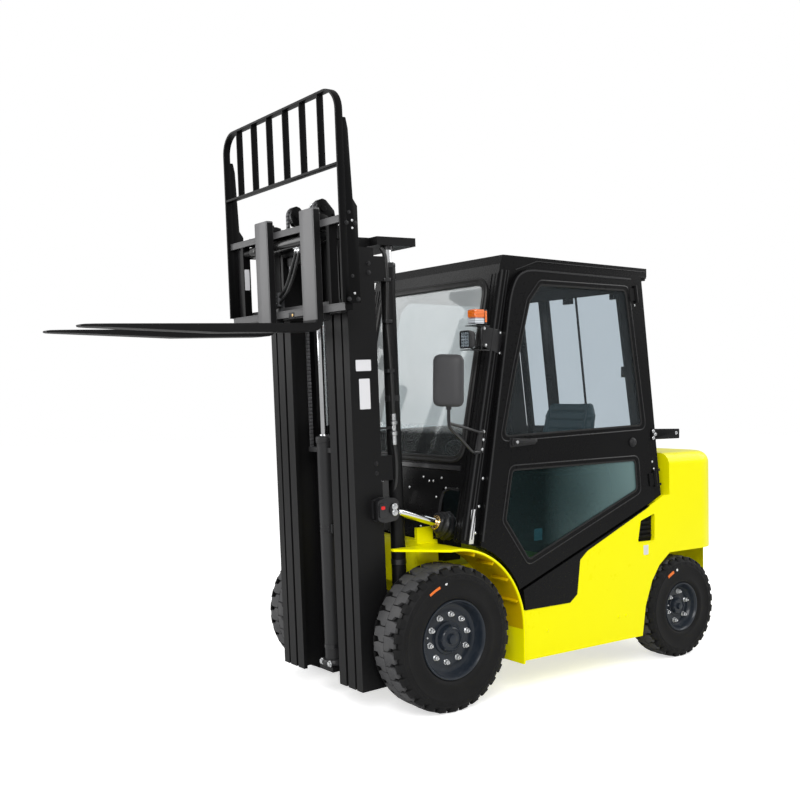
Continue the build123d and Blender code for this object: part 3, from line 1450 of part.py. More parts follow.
# Carriage on rollers in the inner mast.
FORK_BAR_UP = (2325, 2356)
FORK_BAR_LOW = (1928, 1962)
PLATE_X = 140
PLATE_SHEET = 20
PLATE_REAR_Y = -262
BASE_X = 430
FRAME_SIDE_X = 410
FRAME_SIDE_SHEET = 24
SHIFT_TUBE_R = 18
SHIFT_TUBE_Z = FORK_BAR_UP[0] - 38
CARRIAGE_LOW = 1905
CARRIAGE_HIGH = 2370
PLATE_CUT = 20
PLATE_ROLLER_Z = 90
PLATE_ROLLER_SET = 16
PLATE_ROLLER_W = 24
BASE_HEIGHT = 60
ANCHOR_BLOCK_H = 36
BASE_Y = (FORK_FACE_Y + 91, FORK_FACE_Y + 121)
with BuildPart() as carriage:
    for way in (-1, 1):
        extrude(
            rectangle(
                mast(side(way * PLATE_X)),
                (BASE_Y[1], CARRIAGE_LOW + PLATE_CUT), (PLATE_REAR_Y, CARRIAGE_HIGH - 5),
            ),
            amount=way * PLATE_SHEET,
        )
        for z in (CARRIAGE_LOW + PLATE_ROLLER_Z, CARRIAGE_HIGH - PLATE_ROLLER_Z):
            extrude(
                disc(mast(side(way * (PLATE_X + PLATE_SHEET))), (ROLLER_Y, z), ROLLER_PIN_R),
                amount=way * (PLATE_ROLLER_SET + 6),
            )
            extrude(
                disc(mast(side(way * (PLATE_X + PLATE_SHEET + PLATE_ROLLER_SET))), (ROLLER_Y, z), ROLLER_R),
                amount=way * PLATE_ROLLER_W,
            )
    for low in (CARRIAGE_LOW + PLATE_CUT, FORK_BAR_UP[0] - BASE_HEIGHT):
        extrude(
            rectangle(mast(level(low)), (-BASE_X, BASE_Y[0]), (BASE_X, BASE_Y[1])), amount=BASE_HEIGHT
        )
    extrude(
        rectangle(
            mast(level(CARRIAGE_ANCHOR - ANCHOR_BLOCK_H)),
            (-PLATE_X, PULLEY_Y - PULLEY_R - CHAIN_T - 8), (PLATE_X, PULLEY_Y - PULLEY_R + 8),
        ),
        amount=ANCHOR_BLOCK_H,
    )
write(carriage.part, "carriage")

# Side-shifting fork frame, hung on the carriage's upper bar.
FRAME_Y = (FORK_FACE_Y + FORK_THICK, FORK_FACE_Y + FORK_THICK + 40)
HOOK_INSET = 10
HOOK_SHORT = 6
HOOK_T = 20
with BuildPart() as sideshift_frame:
    for low, high in (FORK_BAR_UP, FORK_BAR_LOW):
        extrude(
            rectangle(mast(level(low)), (-BACKREST_X + 12, FRAME_Y[0]), (BACKREST_X - 12, FRAME_Y[1])),
            amount=high - low,
        )
    for way in (-1, 1):
        extrude(
            rectangle(
                mast(side(way * FRAME_SIDE_X)),
                (FRAME_Y[0], FORK_BAR_LOW[0]), (FRAME_Y[1], FORK_BAR_UP[1]),
            ),
            amount=way * FRAME_SIDE_SHEET,
        )
    extrude(
        rectangle(
            mast(level(FORK_BAR_UP[0] + RUN)),
            (-FRAME_SIDE_X + HOOK_INSET, FRAME_Y[1]), (FRAME_SIDE_X - HOOK_INSET, BASE_Y[1] - HOOK_SHORT),
        ),
        amount=HOOK_T,
    )
    extrude(
        disc(mast(side(-FRAME_SIDE_X)), ((FRAME_Y[0] + FRAME_Y[1]) / 2, SHIFT_TUBE_Z), SHIFT_TUBE_R),
        amount=2 * FRAME_SIDE_X,
    )
write(sideshift_frame.part, "sideshift_frame")

HEEL_CUT = 30
FORK_HOOK_PAST = 6
FORK_HOOK_T = 24
FORK_TOP = FORK_BAR_UP[1] + 58
TIP_T = 10
TAPER_START = 500
LOW_HOOK_H = 34
with BuildPart() as forks:
    for centre in (FORK_LEFT_X, FORK_RIGHT_X):
        heel = FORK_Z - FORK_THICK
        extrude(
            outline(
                mast(side(centre - FORK_WIDTH / 2)),
                (FRAME_Y[0], heel + HEEL_CUT), (FRAME_Y[0], FORK_BAR_UP[1]),
                (FRAME_Y[1] + FORK_HOOK_PAST, FORK_BAR_UP[1]),
                (FRAME_Y[1] + FORK_HOOK_PAST, FORK_BAR_UP[1] + FORK_HOOK_T),
                (FRAME_Y[0], FORK_BAR_UP[1] + FORK_HOOK_T), (FRAME_Y[0], FORK_TOP),
                (FORK_FACE_Y, FORK_TOP), (FORK_FACE_Y, FORK_Z),
                (FORK_FACE_Y - FORK_LENGTH, FORK_Z), (FORK_FACE_Y - FORK_LENGTH, FORK_Z - TIP_T),
                (FORK_FACE_Y - TAPER_START, heel), (FRAME_Y[0] - HEEL_CUT, heel),
            ),
            amount=FORK_WIDTH,
        )
        extrude(
            rectangle(
                mast(side(centre - FORK_WIDTH / 2)),
                (FRAME_Y[0], FORK_BAR_LOW[0] - LOW_HOOK_H), (FRAME_Y[1] - 4, FORK_BAR_LOW[0] - RUN),
            ),
            amount=FORK_WIDTH,
        )
write(forks.part, "forks")

# Load backrest: a bent flat bar with uprights, bolted on side plates to the fork frame.
BAR_DEPTH = 36
REST_SET = 19
BAR_T = 12
REST_FOOT = 1960
REST_CUT = 300
CROSS_BAR_Z = REST_FOOT + 618
BEND_R = 110
REST_PLATE_PAST = 38
REST_PLATE_H = 440
REST_STEP = (56, 470)
REST_TIP_Z = (162, 212)
REST_TIP_Y = (44, 34)
CROSS_BAR_DEPTH = BAR_DEPTH - 3
UPRIGHT_DEPTH = BAR_DEPTH - 1
UPRIGHTS = 6
UPRIGHT_T = 8
REST_PLANE = mast(front(FRAME_Y[0] + REST_SET))
with BuildPart() as backrest:
    extrude(
        rectangle(
            REST_PLANE, (-BACKREST_X, REST_FOOT - REST_CUT), (BACKREST_X, BACKREST_TOP), radius=BEND_R
        ),
        amount=BAR_DEPTH,
    )
    extrude(
        rectangle(
            REST_PLANE, (-BACKREST_X + BAR_T, REST_FOOT - REST_CUT + BAR_T), (
                BACKREST_X - BAR_T, BACKREST_TOP - BAR_T
            ),
            radius=BEND_R - BAR_T,
        ),
        amount=BAR_DEPTH,
        mode=Mode.SUBTRACT,
    )
    extrude(
        rectangle(REST_PLANE, (-BACKREST_X - 1, REST_FOOT - REST_CUT - 1), (BACKREST_X + 1, REST_FOOT)),
        amount=BAR_DEPTH,
        mode=Mode.SUBTRACT,
    )
    extrude(
        rectangle(REST_PLANE, (-BACKREST_X + 1, CROSS_BAR_Z), (BACKREST_X - 1, CROSS_BAR_Z + BAR_T)),
        amount=CROSS_BAR_DEPTH,
    )
    pitch = 2 * BACKREST_X / (UPRIGHTS + 1)
    for place in range(1, UPRIGHTS + 1):
        x = -BACKREST_X + place * pitch
        extrude(
            rectangle(
                REST_PLANE, (x - UPRIGHT_T / 2, CROSS_BAR_Z + 1), (x + UPRIGHT_T / 2, BACKREST_TOP - 1)
            ),
            amount=UPRIGHT_DEPTH,
        )
    for way in (-1, 1):
        extrude(
            outline(
                mast(side(way * (BACKREST_X - BAR_T))),
                (FRAME_Y[0] - 4, REST_FOOT), (FRAME_Y[1] + REST_PLATE_PAST, REST_FOOT),
                (FRAME_Y[1] + REST_PLATE_PAST, REST_FOOT + REST_PLATE_H),
                (FRAME_Y[0] + REST_STEP[0], REST_FOOT + REST_STEP[1]),
                (FRAME_Y[0] + REST_TIP_Y[0], CROSS_BAR_Z + REST_TIP_Z[0]),
                (FRAME_Y[0] + REST_TIP_Y[1], CROSS_BAR_Z + REST_TIP_Z[1]),
                (FRAME_Y[0] - 4, CROSS_BAR_Z + REST_TIP_Z[1]),
            ),
            amount=way * BAR_T,
        )
write(backrest.part, "backrest")

# Tilt cylinders between the chassis lugs and the mast clevises.
TILT_PIN = leaned(*TILT_FRONT)
TILT_LENGTH = hypot(TILT_PIN[0] - TILT_REAR[0], TILT_PIN[1] - TILT_REAR[1])
TILT_HEAD = TILT_LENGTH - 305
TILT_BARREL_FOOT = 60
TILT_BORE_FOOT = 90
TILT_ROD_FOOT = 200
TILT_ROD_SHORT = 60
TILT_NECK_FOOT = 250
BOOT_BACK = 75
TILT_OPEN_PIN_GAP = 4
BOOT_R = TILT_X - TILT_DOOR_X - MOVE_GAP


def tilt_plane(way, distance):
    """Plane square to a tilt cylinder at a distance from its rear pin."""
    run = Vector(0, TILT_PIN[0] - TILT_REAR[0], TILT_PIN[1] - TILT_REAR[1]).normalized()
    start = Vector(way * TILT_X, AXLE_Y + TILT_REAR[0], TILT_REAR[1])
    return Plane(origin=start + run * distance, x_dir=(1, 0, 0), z_dir=run)


with BuildPart() as tilt_barrels:
    for way in (-1, 1):
        extrude(disc(side(way * TILT_X - TILT_EYE_W / 2), TILT_REAR, TILT_EYE_R), amount=TILT_EYE_W)
        extrude(disc(tilt_plane(way, 10), (0, 0), TILT_EYE_R - 8), amount=TILT_BARREL_FOOT)
        extrude(
            disc(tilt_plane(way, TILT_BARREL_FOOT), (0, 0), TILT_BARREL_R),
            amount=TILT_HEAD - TILT_BARREL_FOOT,
        )
        extrude(
            disc(side(way * TILT_X - TILT_EYE_W), TILT_REAR, TILT_PIN_R + RUN),
            amount=2 * TILT_EYE_W,
            mode=Mode.SUBTRACT,
        )
        extrude(
            disc(tilt_plane(way, TILT_BORE_FOOT), (0, 0), TILT_ROD_R + RUN),
            amount=TILT_HEAD,
            mode=Mode.SUBTRACT,
        )
write(tilt_barrels.part, "tilt_barrels")

with BuildPart() as tilt_rods:
    for way in (-1, 1):
        extrude(
            disc(tilt_plane(way, TILT_ROD_FOOT), (0, 0), TILT_ROD_R),
            amount=TILT_LENGTH - TILT_ROD_FOOT - TILT_ROD_SHORT,
        )
        extrude(
            disc(tilt_plane(way, TILT_NECK_FOOT), (0, 0), TILT_NECK_R),
            amount=TILT_LENGTH - TILT_NECK_FOOT - TILT_PIN_R,
        )
        eye = Plane(
            origin=(way * TILT_X - TILT_EYE_W / 2 + 2, AXLE_Y + TILT_PIN[0], TILT_PIN[1]),
            x_dir=(0, 1, 0),
            z_dir=(1, 0, 0),
        )
        extrude(disc(eye, (0, 0), TILT_EYE_R), amount=TILT_EYE_W - 4)
        extrude(
            disc(eye.offset(-1), (0, 0), TILT_PIN_R + TILT_OPEN_PIN_GAP),
            amount=TILT_EYE_W,
            mode=Mode.SUBTRACT,
        )
write(tilt_rods.part, "tilt_rods")

with BuildPart() as tilt_boots:
    for way in (-1, 1):
        with BuildSketch(tilt_plane(way, TILT_HEAD - BOOT_BACK)) as boot_foot:
            Circle(BOOT_R)
        with BuildSketch(tilt_plane(way, TILT_HEAD - 4)) as boot_head:
            Circle(BOOT_R - 1)
        loft(sections=[boot_foot.sketch.face(), boot_head.sketch.face()])
        extrude(
            disc(tilt_plane(way, TILT_HEAD - BOOT_BACK - 15), (0, 0), TILT_BARREL_R),
            amount=BOOT_BACK + 25,
            mode=Mode.SUBTRACT,
        )
write(tilt_boots.part, "tilt_boots")

CHAIN_FOOT = 1180
CHAIN_X = 200
CHAIN_HALF = 9
with BuildPart() as stage_chains:
    for way in (-1, 1):
        extrude(
            rectangle(
                mast(level(CHAIN_FOOT)),
                (way * CHAIN_X - CHAIN_HALF, OUTER_TIE_Y[1]),
                (way * CHAIN_X + CHAIN_HALF, OUTER_TIE_Y[1] + CHAIN_T),
            ),
            amount=TOP_TIE_Z - CHAIN_FOOT,
        )
write(stage_chains.part, "stage_chains")
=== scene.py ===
import json
import logging
import math
from dataclasses import dataclass
from enum import Enum
from typing import Callable, Iterable, Sequence

import bmesh
import bpy
from mathutils import Matrix, Vector, noise


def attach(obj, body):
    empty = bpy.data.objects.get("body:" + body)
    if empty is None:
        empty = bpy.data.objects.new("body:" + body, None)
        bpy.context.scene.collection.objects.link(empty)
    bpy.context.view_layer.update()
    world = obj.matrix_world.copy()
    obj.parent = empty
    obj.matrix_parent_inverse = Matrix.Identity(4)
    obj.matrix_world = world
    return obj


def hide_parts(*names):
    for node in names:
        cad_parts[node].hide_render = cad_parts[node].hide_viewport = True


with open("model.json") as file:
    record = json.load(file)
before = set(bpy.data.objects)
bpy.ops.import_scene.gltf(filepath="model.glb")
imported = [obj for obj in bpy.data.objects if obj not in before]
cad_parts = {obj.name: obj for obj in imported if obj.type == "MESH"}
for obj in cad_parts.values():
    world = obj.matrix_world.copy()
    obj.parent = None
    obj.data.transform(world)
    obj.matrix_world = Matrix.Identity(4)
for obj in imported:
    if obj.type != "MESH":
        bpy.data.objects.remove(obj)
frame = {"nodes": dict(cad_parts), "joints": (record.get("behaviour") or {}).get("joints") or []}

logging.basicConfig(level=logging.INFO, format="%(message)s")
LOG = logging.getLogger("forklift")
PAINT_DUST = (0.32, 0.31, 0.29, 1.0)
RUBBER_DUST = (0.20, 0.19, 0.18, 1.0)
WHITE = (1.0, 1.0, 1.0, 1.0)
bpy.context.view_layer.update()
Point = tuple[float, float, float]


class Side(Enum):
    """The truck's two sides, by the sign of X on each."""

    LEFT = 1
    RIGHT = -1

    @property
    def word(self) -> str:
        """Name of the side in lower case."""
        return self.name.lower()


class Socket:
    """A shader socket that takes part in Python arithmetic and adds the Math nodes for it."""

    def __init__(self, sheet: "NodeSheet", socket: bpy.types.NodeSocket) -> None:
        """Keep the sheet the socket belongs to, and the socket."""
        self.sheet = sheet
        self.socket = socket

    def _math(self, operation: str, *values: "float | Socket") -> "Socket":
        """One Math node on this sheet."""
        node = self.sheet.node("ShaderNodeMath", {"operation": operation}, dict(enumerate(values)))
        return Socket(self.sheet, node.outputs[0])

    def __add__(self, other: "float | Socket") -> "Socket":
        """Sum."""
        return self._math("ADD", self, other)

    def __radd__(self, other: float) -> "Socket":
        """Sum with the number first."""
        return self._math("ADD", other, self)

    def __sub__(self, other: "float | Socket") -> "Socket":
        """Difference."""
        return self._math("SUBTRACT", self, other)

    def __rsub__(self, other: float) -> "Socket":
        """Difference with the number first."""
        return self._math("SUBTRACT", other, self)

    def __mul__(self, other: "float | Socket") -> "Socket":
        """Product."""
        return self._math("MULTIPLY", self, other)

    def __rmul__(self, other: float) -> "Socket":
        """Product with the number first."""
        return self._math("MULTIPLY", other, self)

    def __truediv__(self, other: "float | Socket") -> "Socket":
        """Quotient."""
        return self._math("DIVIDE", self, other)

    def __pow__(self, other: "float | Socket") -> "Socket":
        """Power."""
        return self._math("POWER", self, other)

    def __gt__(self, other: "float | Socket") -> "Socket":
        """One where this is the greater, zero elsewhere."""
        return self._math("GREATER_THAN", self, other)

    def __lt__(self, other: "float | Socket") -> "Socket":
        """One where this is the less, zero elsewhere."""
        return self._math("LESS_THAN", self, other)

    def __abs__(self) -> "Socket":
        """Size without sign."""
        return self._math("ABSOLUTE", self)

    def sine(self) -> "Socket":
        """Sine, in radians."""
        return self._math("SINE", self)

    def clamped(self, low: float = 0.0, high: float = 1.0) -> "Socket":
        """Value kept between two limits."""
        return self._math("MAXIMUM", self._math("MINIMUM", self, high), low)

    def ramp(self, low: float, high: float) -> "Socket":
        """Zero below low, one above high, straight between them."""
        return ((self - low) / (high - low)).clamped()


class NodeSheet:
    """The node tree of one material, with short ways to add what the finishes need."""

    def __init__(self, name: str) -> None:
        """Start an empty material.

        Args:
            name: The material's name.
        """
        self.material = bpy.data.materials.new(name)
        self.material.use_nodes = True
        self.tree = self.material.node_tree
        self.tree.nodes.clear()
        self.output = self.tree.nodes.new("ShaderNodeOutputMaterial")

    def node(self, kind: str, settings: dict | None = None, values: dict | None = None) -> bpy.types.Node:
        """Add a node.

        Args:
            kind: The node's type.
            settings: Attributes that are set first.
            values: Numbers, colours, sockets or Socket links by input name or index.

        Returns:
            The new node.
        """
        node = self.tree.nodes.new(kind)
        for key, value in (settings or {}).items():
            setattr(node, key, value)
        for key, value in (values or {}).items():
            link = value.socket if isinstance(value, Socket) else value
            if isinstance(link, bpy.types.NodeSocket):
                self.tree.links.new(link, node.inputs[key])
            else:
                node.inputs[key].default_value = link
        return node

    def place(self) -> bpy.types.NodeSocket:
        """Object coordinates."""
        return self.node("ShaderNodeTexCoord").outputs["Object"]

    def axis(self, letter: str) -> Socket:
        """One object coordinate in metres."""
        split = self.node("ShaderNodeSeparateXYZ", None, {0: self.place()})
        return Socket(self, split.outputs[letter])

    def noise(self, scale: float, detail: float = 3.0, stretch: Point = (1.0, 1.0, 1.0)) -> Socket:
        """Noise from zero to one.

        Args:
            scale: Cells to a metre.
            detail: Octaves.
            stretch: Scale along each axis.

        Returns:
            The noise's value.
        """
        mapped = self.node("ShaderNodeMapping", None, {"Vector": self.place(), "Scale": stretch})
        found = self.node(
            "ShaderNodeTexNoise", None,
            {"Vector": mapped.outputs[0], "Scale": scale, "Detail": detail, "Roughness": 0.55}
        )
        return Socket(self, found.outputs[0])

    def cells(self, scale: float) -> Socket:
        """Distance to the nearest of scattered points, for grain."""
        found = self.node("ShaderNodeTexVoronoi", None, {"Vector": self.place(), "Scale": scale})
        return Socket(self, found.outputs["Distance"])

    def mix(self, share: Socket, low: Sequence[float], high: Sequence[float]) -> bpy.types.NodeSocket:
        """Colour between two colours."""
        node = self.node("ShaderNodeMix", {"data_type": "RGBA"}, {0: share, 6: tuple(low), 7: tuple(high)})
        return node.outputs[2]

    def bump(self, height: Socket, strength: float, distance: float) -> bpy.types.NodeSocket:
        """Normal from a height."""
        node = self.node(
            "ShaderNodeBump", None, {"Height": height, "Strength": strength, "Distance": distance}
        )
        return node.outputs[0]

    def principled(self, **values: object) -> bpy.types.Node:
        """A Principled shader, joined to the output."""
        names = {key.replace("_", " "): value for key, value in values.items()}
        shader = self.node("ShaderNodeBsdfPrincipled", None, names)
        self.tree.links.new(shader.outputs[0], self.output.inputs[0])
        return shader


def shade(colour: Sequence[float], by: float) -> tuple[float, float, float, float]:
    """Colour made lighter or darker, with full alpha."""
    return (*(min(1.0, channel * by) for channel in colour[:3]), 1.0)


@dataclass(frozen=True)
class Paint:
    """Sprayed paint: faint mottling, orange peel and a little settled dust."""

    name: str
    colour: tuple[float, float, float]
    roughness: float
    coat: float = 0.0
    mottle: float = 0.07
    peel: float = 0.015
    dust: float = 0.0
    metallic: float = 0.0
    gloss: float = 0.3
    gleam: tuple[float, float, float] = (1.0, 1.0, 1.0)

    def make(self) -> bpy.types.Material:
        """Build the material."""
        sheet = NodeSheet(self.name)
        broad = sheet.noise(2.3, 4.0)
        fine = sheet.noise(38.0, 4.0)
        base = sheet.mix(broad, shade(self.colour, 1 - self.mottle), shade(self.colour, 1 + self.mottle))
        veil = ((fine * 0.6 + broad * 0.6).ramp(0.55, 0.95)) * self.dust
        dusty = sheet.node("ShaderNodeMix", {"data_type": "RGBA"}, {0: veil, 6: base, 7: PAINT_DUST})
        rough = (broad - 0.5) * 0.10 + (fine - 0.5) * 0.08 + veil * 0.3 + self.roughness
        peel = sheet.noise(150.0, 2.0)
        sheet.principled(
            Base_Color=dusty.outputs[2], Roughness=rough.clamped(0.03, 1.0), Metallic=self.metallic,
            Coat_Weight=self.coat, Coat_Roughness=0.06, Specular_IOR_Level=self.gloss,
            Specular_Tint=(*self.gleam, 1.0), Normal=sheet.bump(peel, self.peel, 0.001),
        )
        return sheet.material


@dataclass(frozen=True)
class Grained:
    """Moulded plastic, vinyl or rubber with a fine leather-like grain."""

    name: str
    colour: tuple[float, float, float]
    roughness: float
    grain: float
    depth: float
    dust: float = 0.0
    gloss: float = 0.3

    def make(self) -> bpy.types.Material:
        """Build the material."""
        sheet = NodeSheet(self.name)
        broad = sheet.noise(7.0, 5.0)
        grain = sheet.cells(self.grain)
        base = sheet.mix(broad, shade(self.colour, 0.82), shade(self.colour, 1.2))
        veil = broad.ramp(0.45, 0.8) * self.dust
        dusty = sheet.node("ShaderNodeMix", {"data_type": "RGBA"}, {0: veil, 6: base, 7: RUBBER_DUST})
        rough = (broad - 0.5) * 0.16 + (1 - grain) * 0.05 + self.roughness
        sheet.principled(
            Base_Color=dusty.outputs[2], Roughness=rough.clamped(0.1, 1.0), Specular_IOR_Level=self.gloss,
            Normal=sheet.bump(grain, self.depth, 0.002),
        )
        return sheet.material


@dataclass(frozen=True)
class Metal:
    """Bare or plated metal with fine scratches and stains."""

    name: str
    colour: tuple[float, float, float]
    roughness: float
    scratch: Point = (40.0, 40.0, 40.0)
    stain: float = 0.1

    def make(self) -> bpy.types.Material:
        """Build the material."""
        sheet = NodeSheet(self.name)
        broad = sheet.noise(11.0, 5.0)
        lines = sheet.noise(6.0, 5.0, self.scratch)
        base = sheet.mix(broad, shade(self.colour, 1 - self.stain), shade(self.colour, 1.03))
        rough = (broad - 0.5) * 0.12 + (lines - 0.5) * 0.12 + self.roughness
        sheet.principled(
            Base_Color=base, Metallic=1.0, Roughness=rough.clamped(0.03, 1.0),
            Normal=sheet.bump(lines, 0.05, 0.0005)
        )
        return sheet.material


@dataclass(frozen=True)
class Pane:
    """Flat glass with a pale, glossy layer mixed over it in noisy patches that fade along one axis: a painted
    reflection.
    """

    name: str
    tint: tuple[float, float, float]
    # colour of the layer that paints the reflection
    film: tuple[float, float, float]
    low: float
    high: float
    fade_axis: str = "Z"
    fade: tuple[float, float] = (-1.0, 0.0)

    def make(self) -> bpy.types.Material:
        """Build the material."""
        sheet = NodeSheet(self.name)
        clear = sheet.node("ShaderNodeBsdfTransparent", None, {"Color": (*self.tint, 1.0)})
        # painted reflection: noise picks where the opaque layer covers the glass, and the fade keeps it
        # mostly to one part
        film = sheet.noise(1.1, 2.0)
        skin = sheet.node(
            "ShaderNodeBsdfPrincipled", None,
            {"Base Color": (*self.film, 1.0), "Roughness": 0.04, "Coat Weight": 1.0, "Coat Roughness": 0.02},
        )
        clearing = sheet.axis(self.fade_axis).ramp(*self.fade)
        share = (film.ramp(0.25, 0.75) * (self.high - self.low) + self.low) * (clearing * 0.92 + 0.08)
        both = sheet.node("ShaderNodeMixShader", None, {0: share, 1: clear.outputs[0], 2: skin.outputs[0]})
        sheet.tree.links.new(both.outputs[0], sheet.output.inputs[0])
        return sheet.material


@dataclass(frozen=True)
class Lens:
    """Ribbed lamp lens, its colour darker in the grooves and lighter on the ribs: painted shade and painted
    highlight.
    """

    name: str
    colour: tuple[float, float, float]
    ribs: float

    def make(self) -> bpy.types.Material:
        """Build the material."""
        sheet = NodeSheet(self.name)
        ribs = (sheet.axis("Z") * self.ribs).sine() * 0.5 + 0.5
        # painted shade in the grooves and painted highlight on the ribs, following the rib wave
        base = sheet.mix(ribs, shade(self.colour, 0.6), shade(self.colour, 1.25))
        sheet.principled(
            Base_Color=base, Roughness=0.12, Coat_Weight=1.0, Coat_Roughness=0.03,
            Normal=sheet.bump(ribs, 0.5, 0.002)
        )
        return sheet.material


@dataclass(frozen=True)
class LeafChain:
    """Leaf chain seen as rows of round-ended plates with pins between them."""

    name: str
    colour: tuple[float, float, float]
    pitch: float

    def make(self) -> bpy.types.Material:
        """Build the material."""
        sheet = NodeSheet(self.name)
        waves = abs((sheet.axis("Z") * (math.pi / self.pitch)).sine())
        plates = abs((sheet.axis("X") * (math.pi / 0.0075)).sine())
        height = waves.ramp(0.1, 0.7) * 0.7 + plates.ramp(0.2, 0.5) * 0.3
        grime = sheet.noise(60.0, 4.0)
        # painted shade: the colour is far darker where the plate pattern dips, between the plates and round
        # the pins, with some grime noise mixed in
        base = sheet.mix(height * 0.8 + grime * 0.2, shade(self.colour, 0.15), shade(self.colour, 1.3))
        sheet.principled(
            Base_Color=base, Metallic=0.8, Roughness=(grime * 0.2 + 0.32).clamped(0.1, 1.0),
            Normal=sheet.bump(height, 1.0, 0.003),
        )
        return sheet.material


YELLOW = Paint(
    "yellow_paint", (0.93, 0.88, 0.0), 0.30, coat=0.05, mottle=0.02, peel=0.012, dust=0.0,
    gleam=(0.95, 0.90, 0.05),
)
# Darker, browner copy of the yellow paint for the fender's underside and gussets: painted shade under the
# fender.
YELLOW_PAINTED_SHADE = Paint(
    "yellow_shade", (0.62, 0.42, 0.0), 0.38, mottle=0.04, peel=0.012, gleam=(0.95, 0.85, 0.05)
)
CAB_BLACK = Paint("cab_black", (0.0045, 0.0045, 0.0048), 0.28, coat=0.03, mottle=0.15, dust=0.0, gloss=0.10)
EDGE_BLACK = Paint("edge_black", (0.012, 0.012, 0.013), 0.30, coat=0.15, mottle=0.12, gloss=0.4)
LINING_GREY = Grained("lining_grey", (0.010, 0.010, 0.010), 0.8, 60.0, 0.0, gloss=0.1)
MIRROR_SHELL = Grained("mirror_shell", (0.045, 0.045, 0.047), 0.5, 700.0, 0.15)
MAST_BLACK = Paint("mast_black", (0.006, 0.006, 0.0063), 0.40, mottle=0.15, peel=0.02, dust=0.002, gloss=0.17)
REST_BLACK = Paint("rest_black", (0.004, 0.004, 0.0042), 0.35, mottle=0.15, dust=0.0, gloss=0.07)
BARREL_BLACK = Paint("barrel_black", (0.020, 0.020, 0.021), 0.42, mottle=0.15, peel=0.02, dust=0.01)
BLADE_BLACK = Paint(
    "blade_black", (0.008, 0.008, 0.0083), 0.45, mottle=0.15, peel=0.03, dust=0.002, gloss=0.10
)
RIM_BLUE = Paint("rim_blue", (0.011, 0.016, 0.024), 0.33, coat=0.15, mottle=0.15, dust=0.05)
CAST = Paint("cast_grey", (0.05, 0.052, 0.055), 0.55, mottle=0.2, peel=0.12, dust=0.1)
TYRE_BLACK = Grained("tyre_black", (0.006, 0.006, 0.0063), 0.62, 210.0, 0.10, dust=0.02, gloss=0.18)
TREAD_GREY = Grained("tread_grey", (0.060, 0.060, 0.062), 0.75, 180.0, 0.2, dust=0.15)
BLACK_RUBBER = Grained("black_rubber", (0.010, 0.010, 0.010), 0.42, 300.0, 0.08)
BOOT_SKIN = Grained("boot_skin", (0.012, 0.012, 0.013), 0.33, 260.0, 0.2)
BLACK_PLASTIC = Grained("black_plastic", (0.012, 0.012, 0.013), 0.45, 900.0, 0.25)
SEAT_VINYL = Grained("seat_vinyl", (0.022, 0.055, 0.065), 0.42, 620.0, 0.35)
CHROME = Metal("chrome", (0.80, 0.81, 0.82), 0.10, (2.0, 2.0, 160.0))
ZINC = Metal("zinc", (0.72, 0.73, 0.74), 0.28)
LEAF_CHAIN = LeafChain("leaf_chain", (0.13, 0.13, 0.135), 0.019)
# Grey on the front faces and edges of the black carriage and side-shift bars: painted reflection of the front
# light, with dust and mottling.
BAR_PAINTED_REFLECTION = Paint("bar_grey", (0.075, 0.075, 0.077), 0.42, mottle=0.1, peel=0.03, dust=0.04)
# Mid grey on the fork shanks, whose steel is as black as the blades: painted reflection of the front light,
# with dust and mottling.
FORK_PAINTED_REFLECTION = Paint("fork_paint", (0.092, 0.092, 0.095), 0.40, coat=0.1, mottle=0.08, peel=0.02, dust=0.04)
GLOSS_BLACK = Paint("gloss_black", (0.008, 0.008, 0.008), 0.25, coat=0.15, mottle=0.1, gloss=0.3)
HOSE_BLACK = Grained("hose_black", (0.010, 0.010, 0.010), 0.32, 900.0, 0.1, gloss=0.5)
GOLD_RING = Metal("gold_ring", (0.75, 0.52, 0.22), 0.22)
MIRROR_GLASS = Metal("mirror_glass", (0.85, 0.87, 0.88), 0.03, stain=0.02)
# Each pane carries a painted reflection: pale grey over the windscreen's upper part, dark teal over the lower
# door pane, faint grey on the side glass.
SCREEN = Pane("screen_glass", (0.80, 0.84, 0.84), (0.62, 0.65, 0.66), 0.25, 0.70, fade=(1.32, 1.37))
SIDE_GLASS = Pane("side_glass", (0.83, 0.86, 0.88), (0.30, 0.34, 0.36), 0.02, 0.06)
DOOR_PANE = Pane(
    "door_pane", (0.30, 0.47, 0.50), (0.16, 0.27, 0.27), 0.25, 0.75, fade_axis="Y", fade=(0.42, 1.08)
)
AMBER = Lens("amber_lens", (0.85, 0.16, 0.01), 900.0)
CLEAR_LENS = Lens("clear_lens", (0.55, 0.58, 0.62), 700.0)
ORANGE_MARK = Paint("orange_mark", (0.80, 0.17, 0.02), 0.5)
WHITE_MARK = Paint("white_mark", (0.72, 0.72, 0.72), 0.45)
BLANK_LABEL = Paint("blank_label", (0.66, 0.66, 0.68), 0.4, mottle=0.03)
RED_MARK = Paint("red_mark", (0.65, 0.02, 0.02), 0.4)

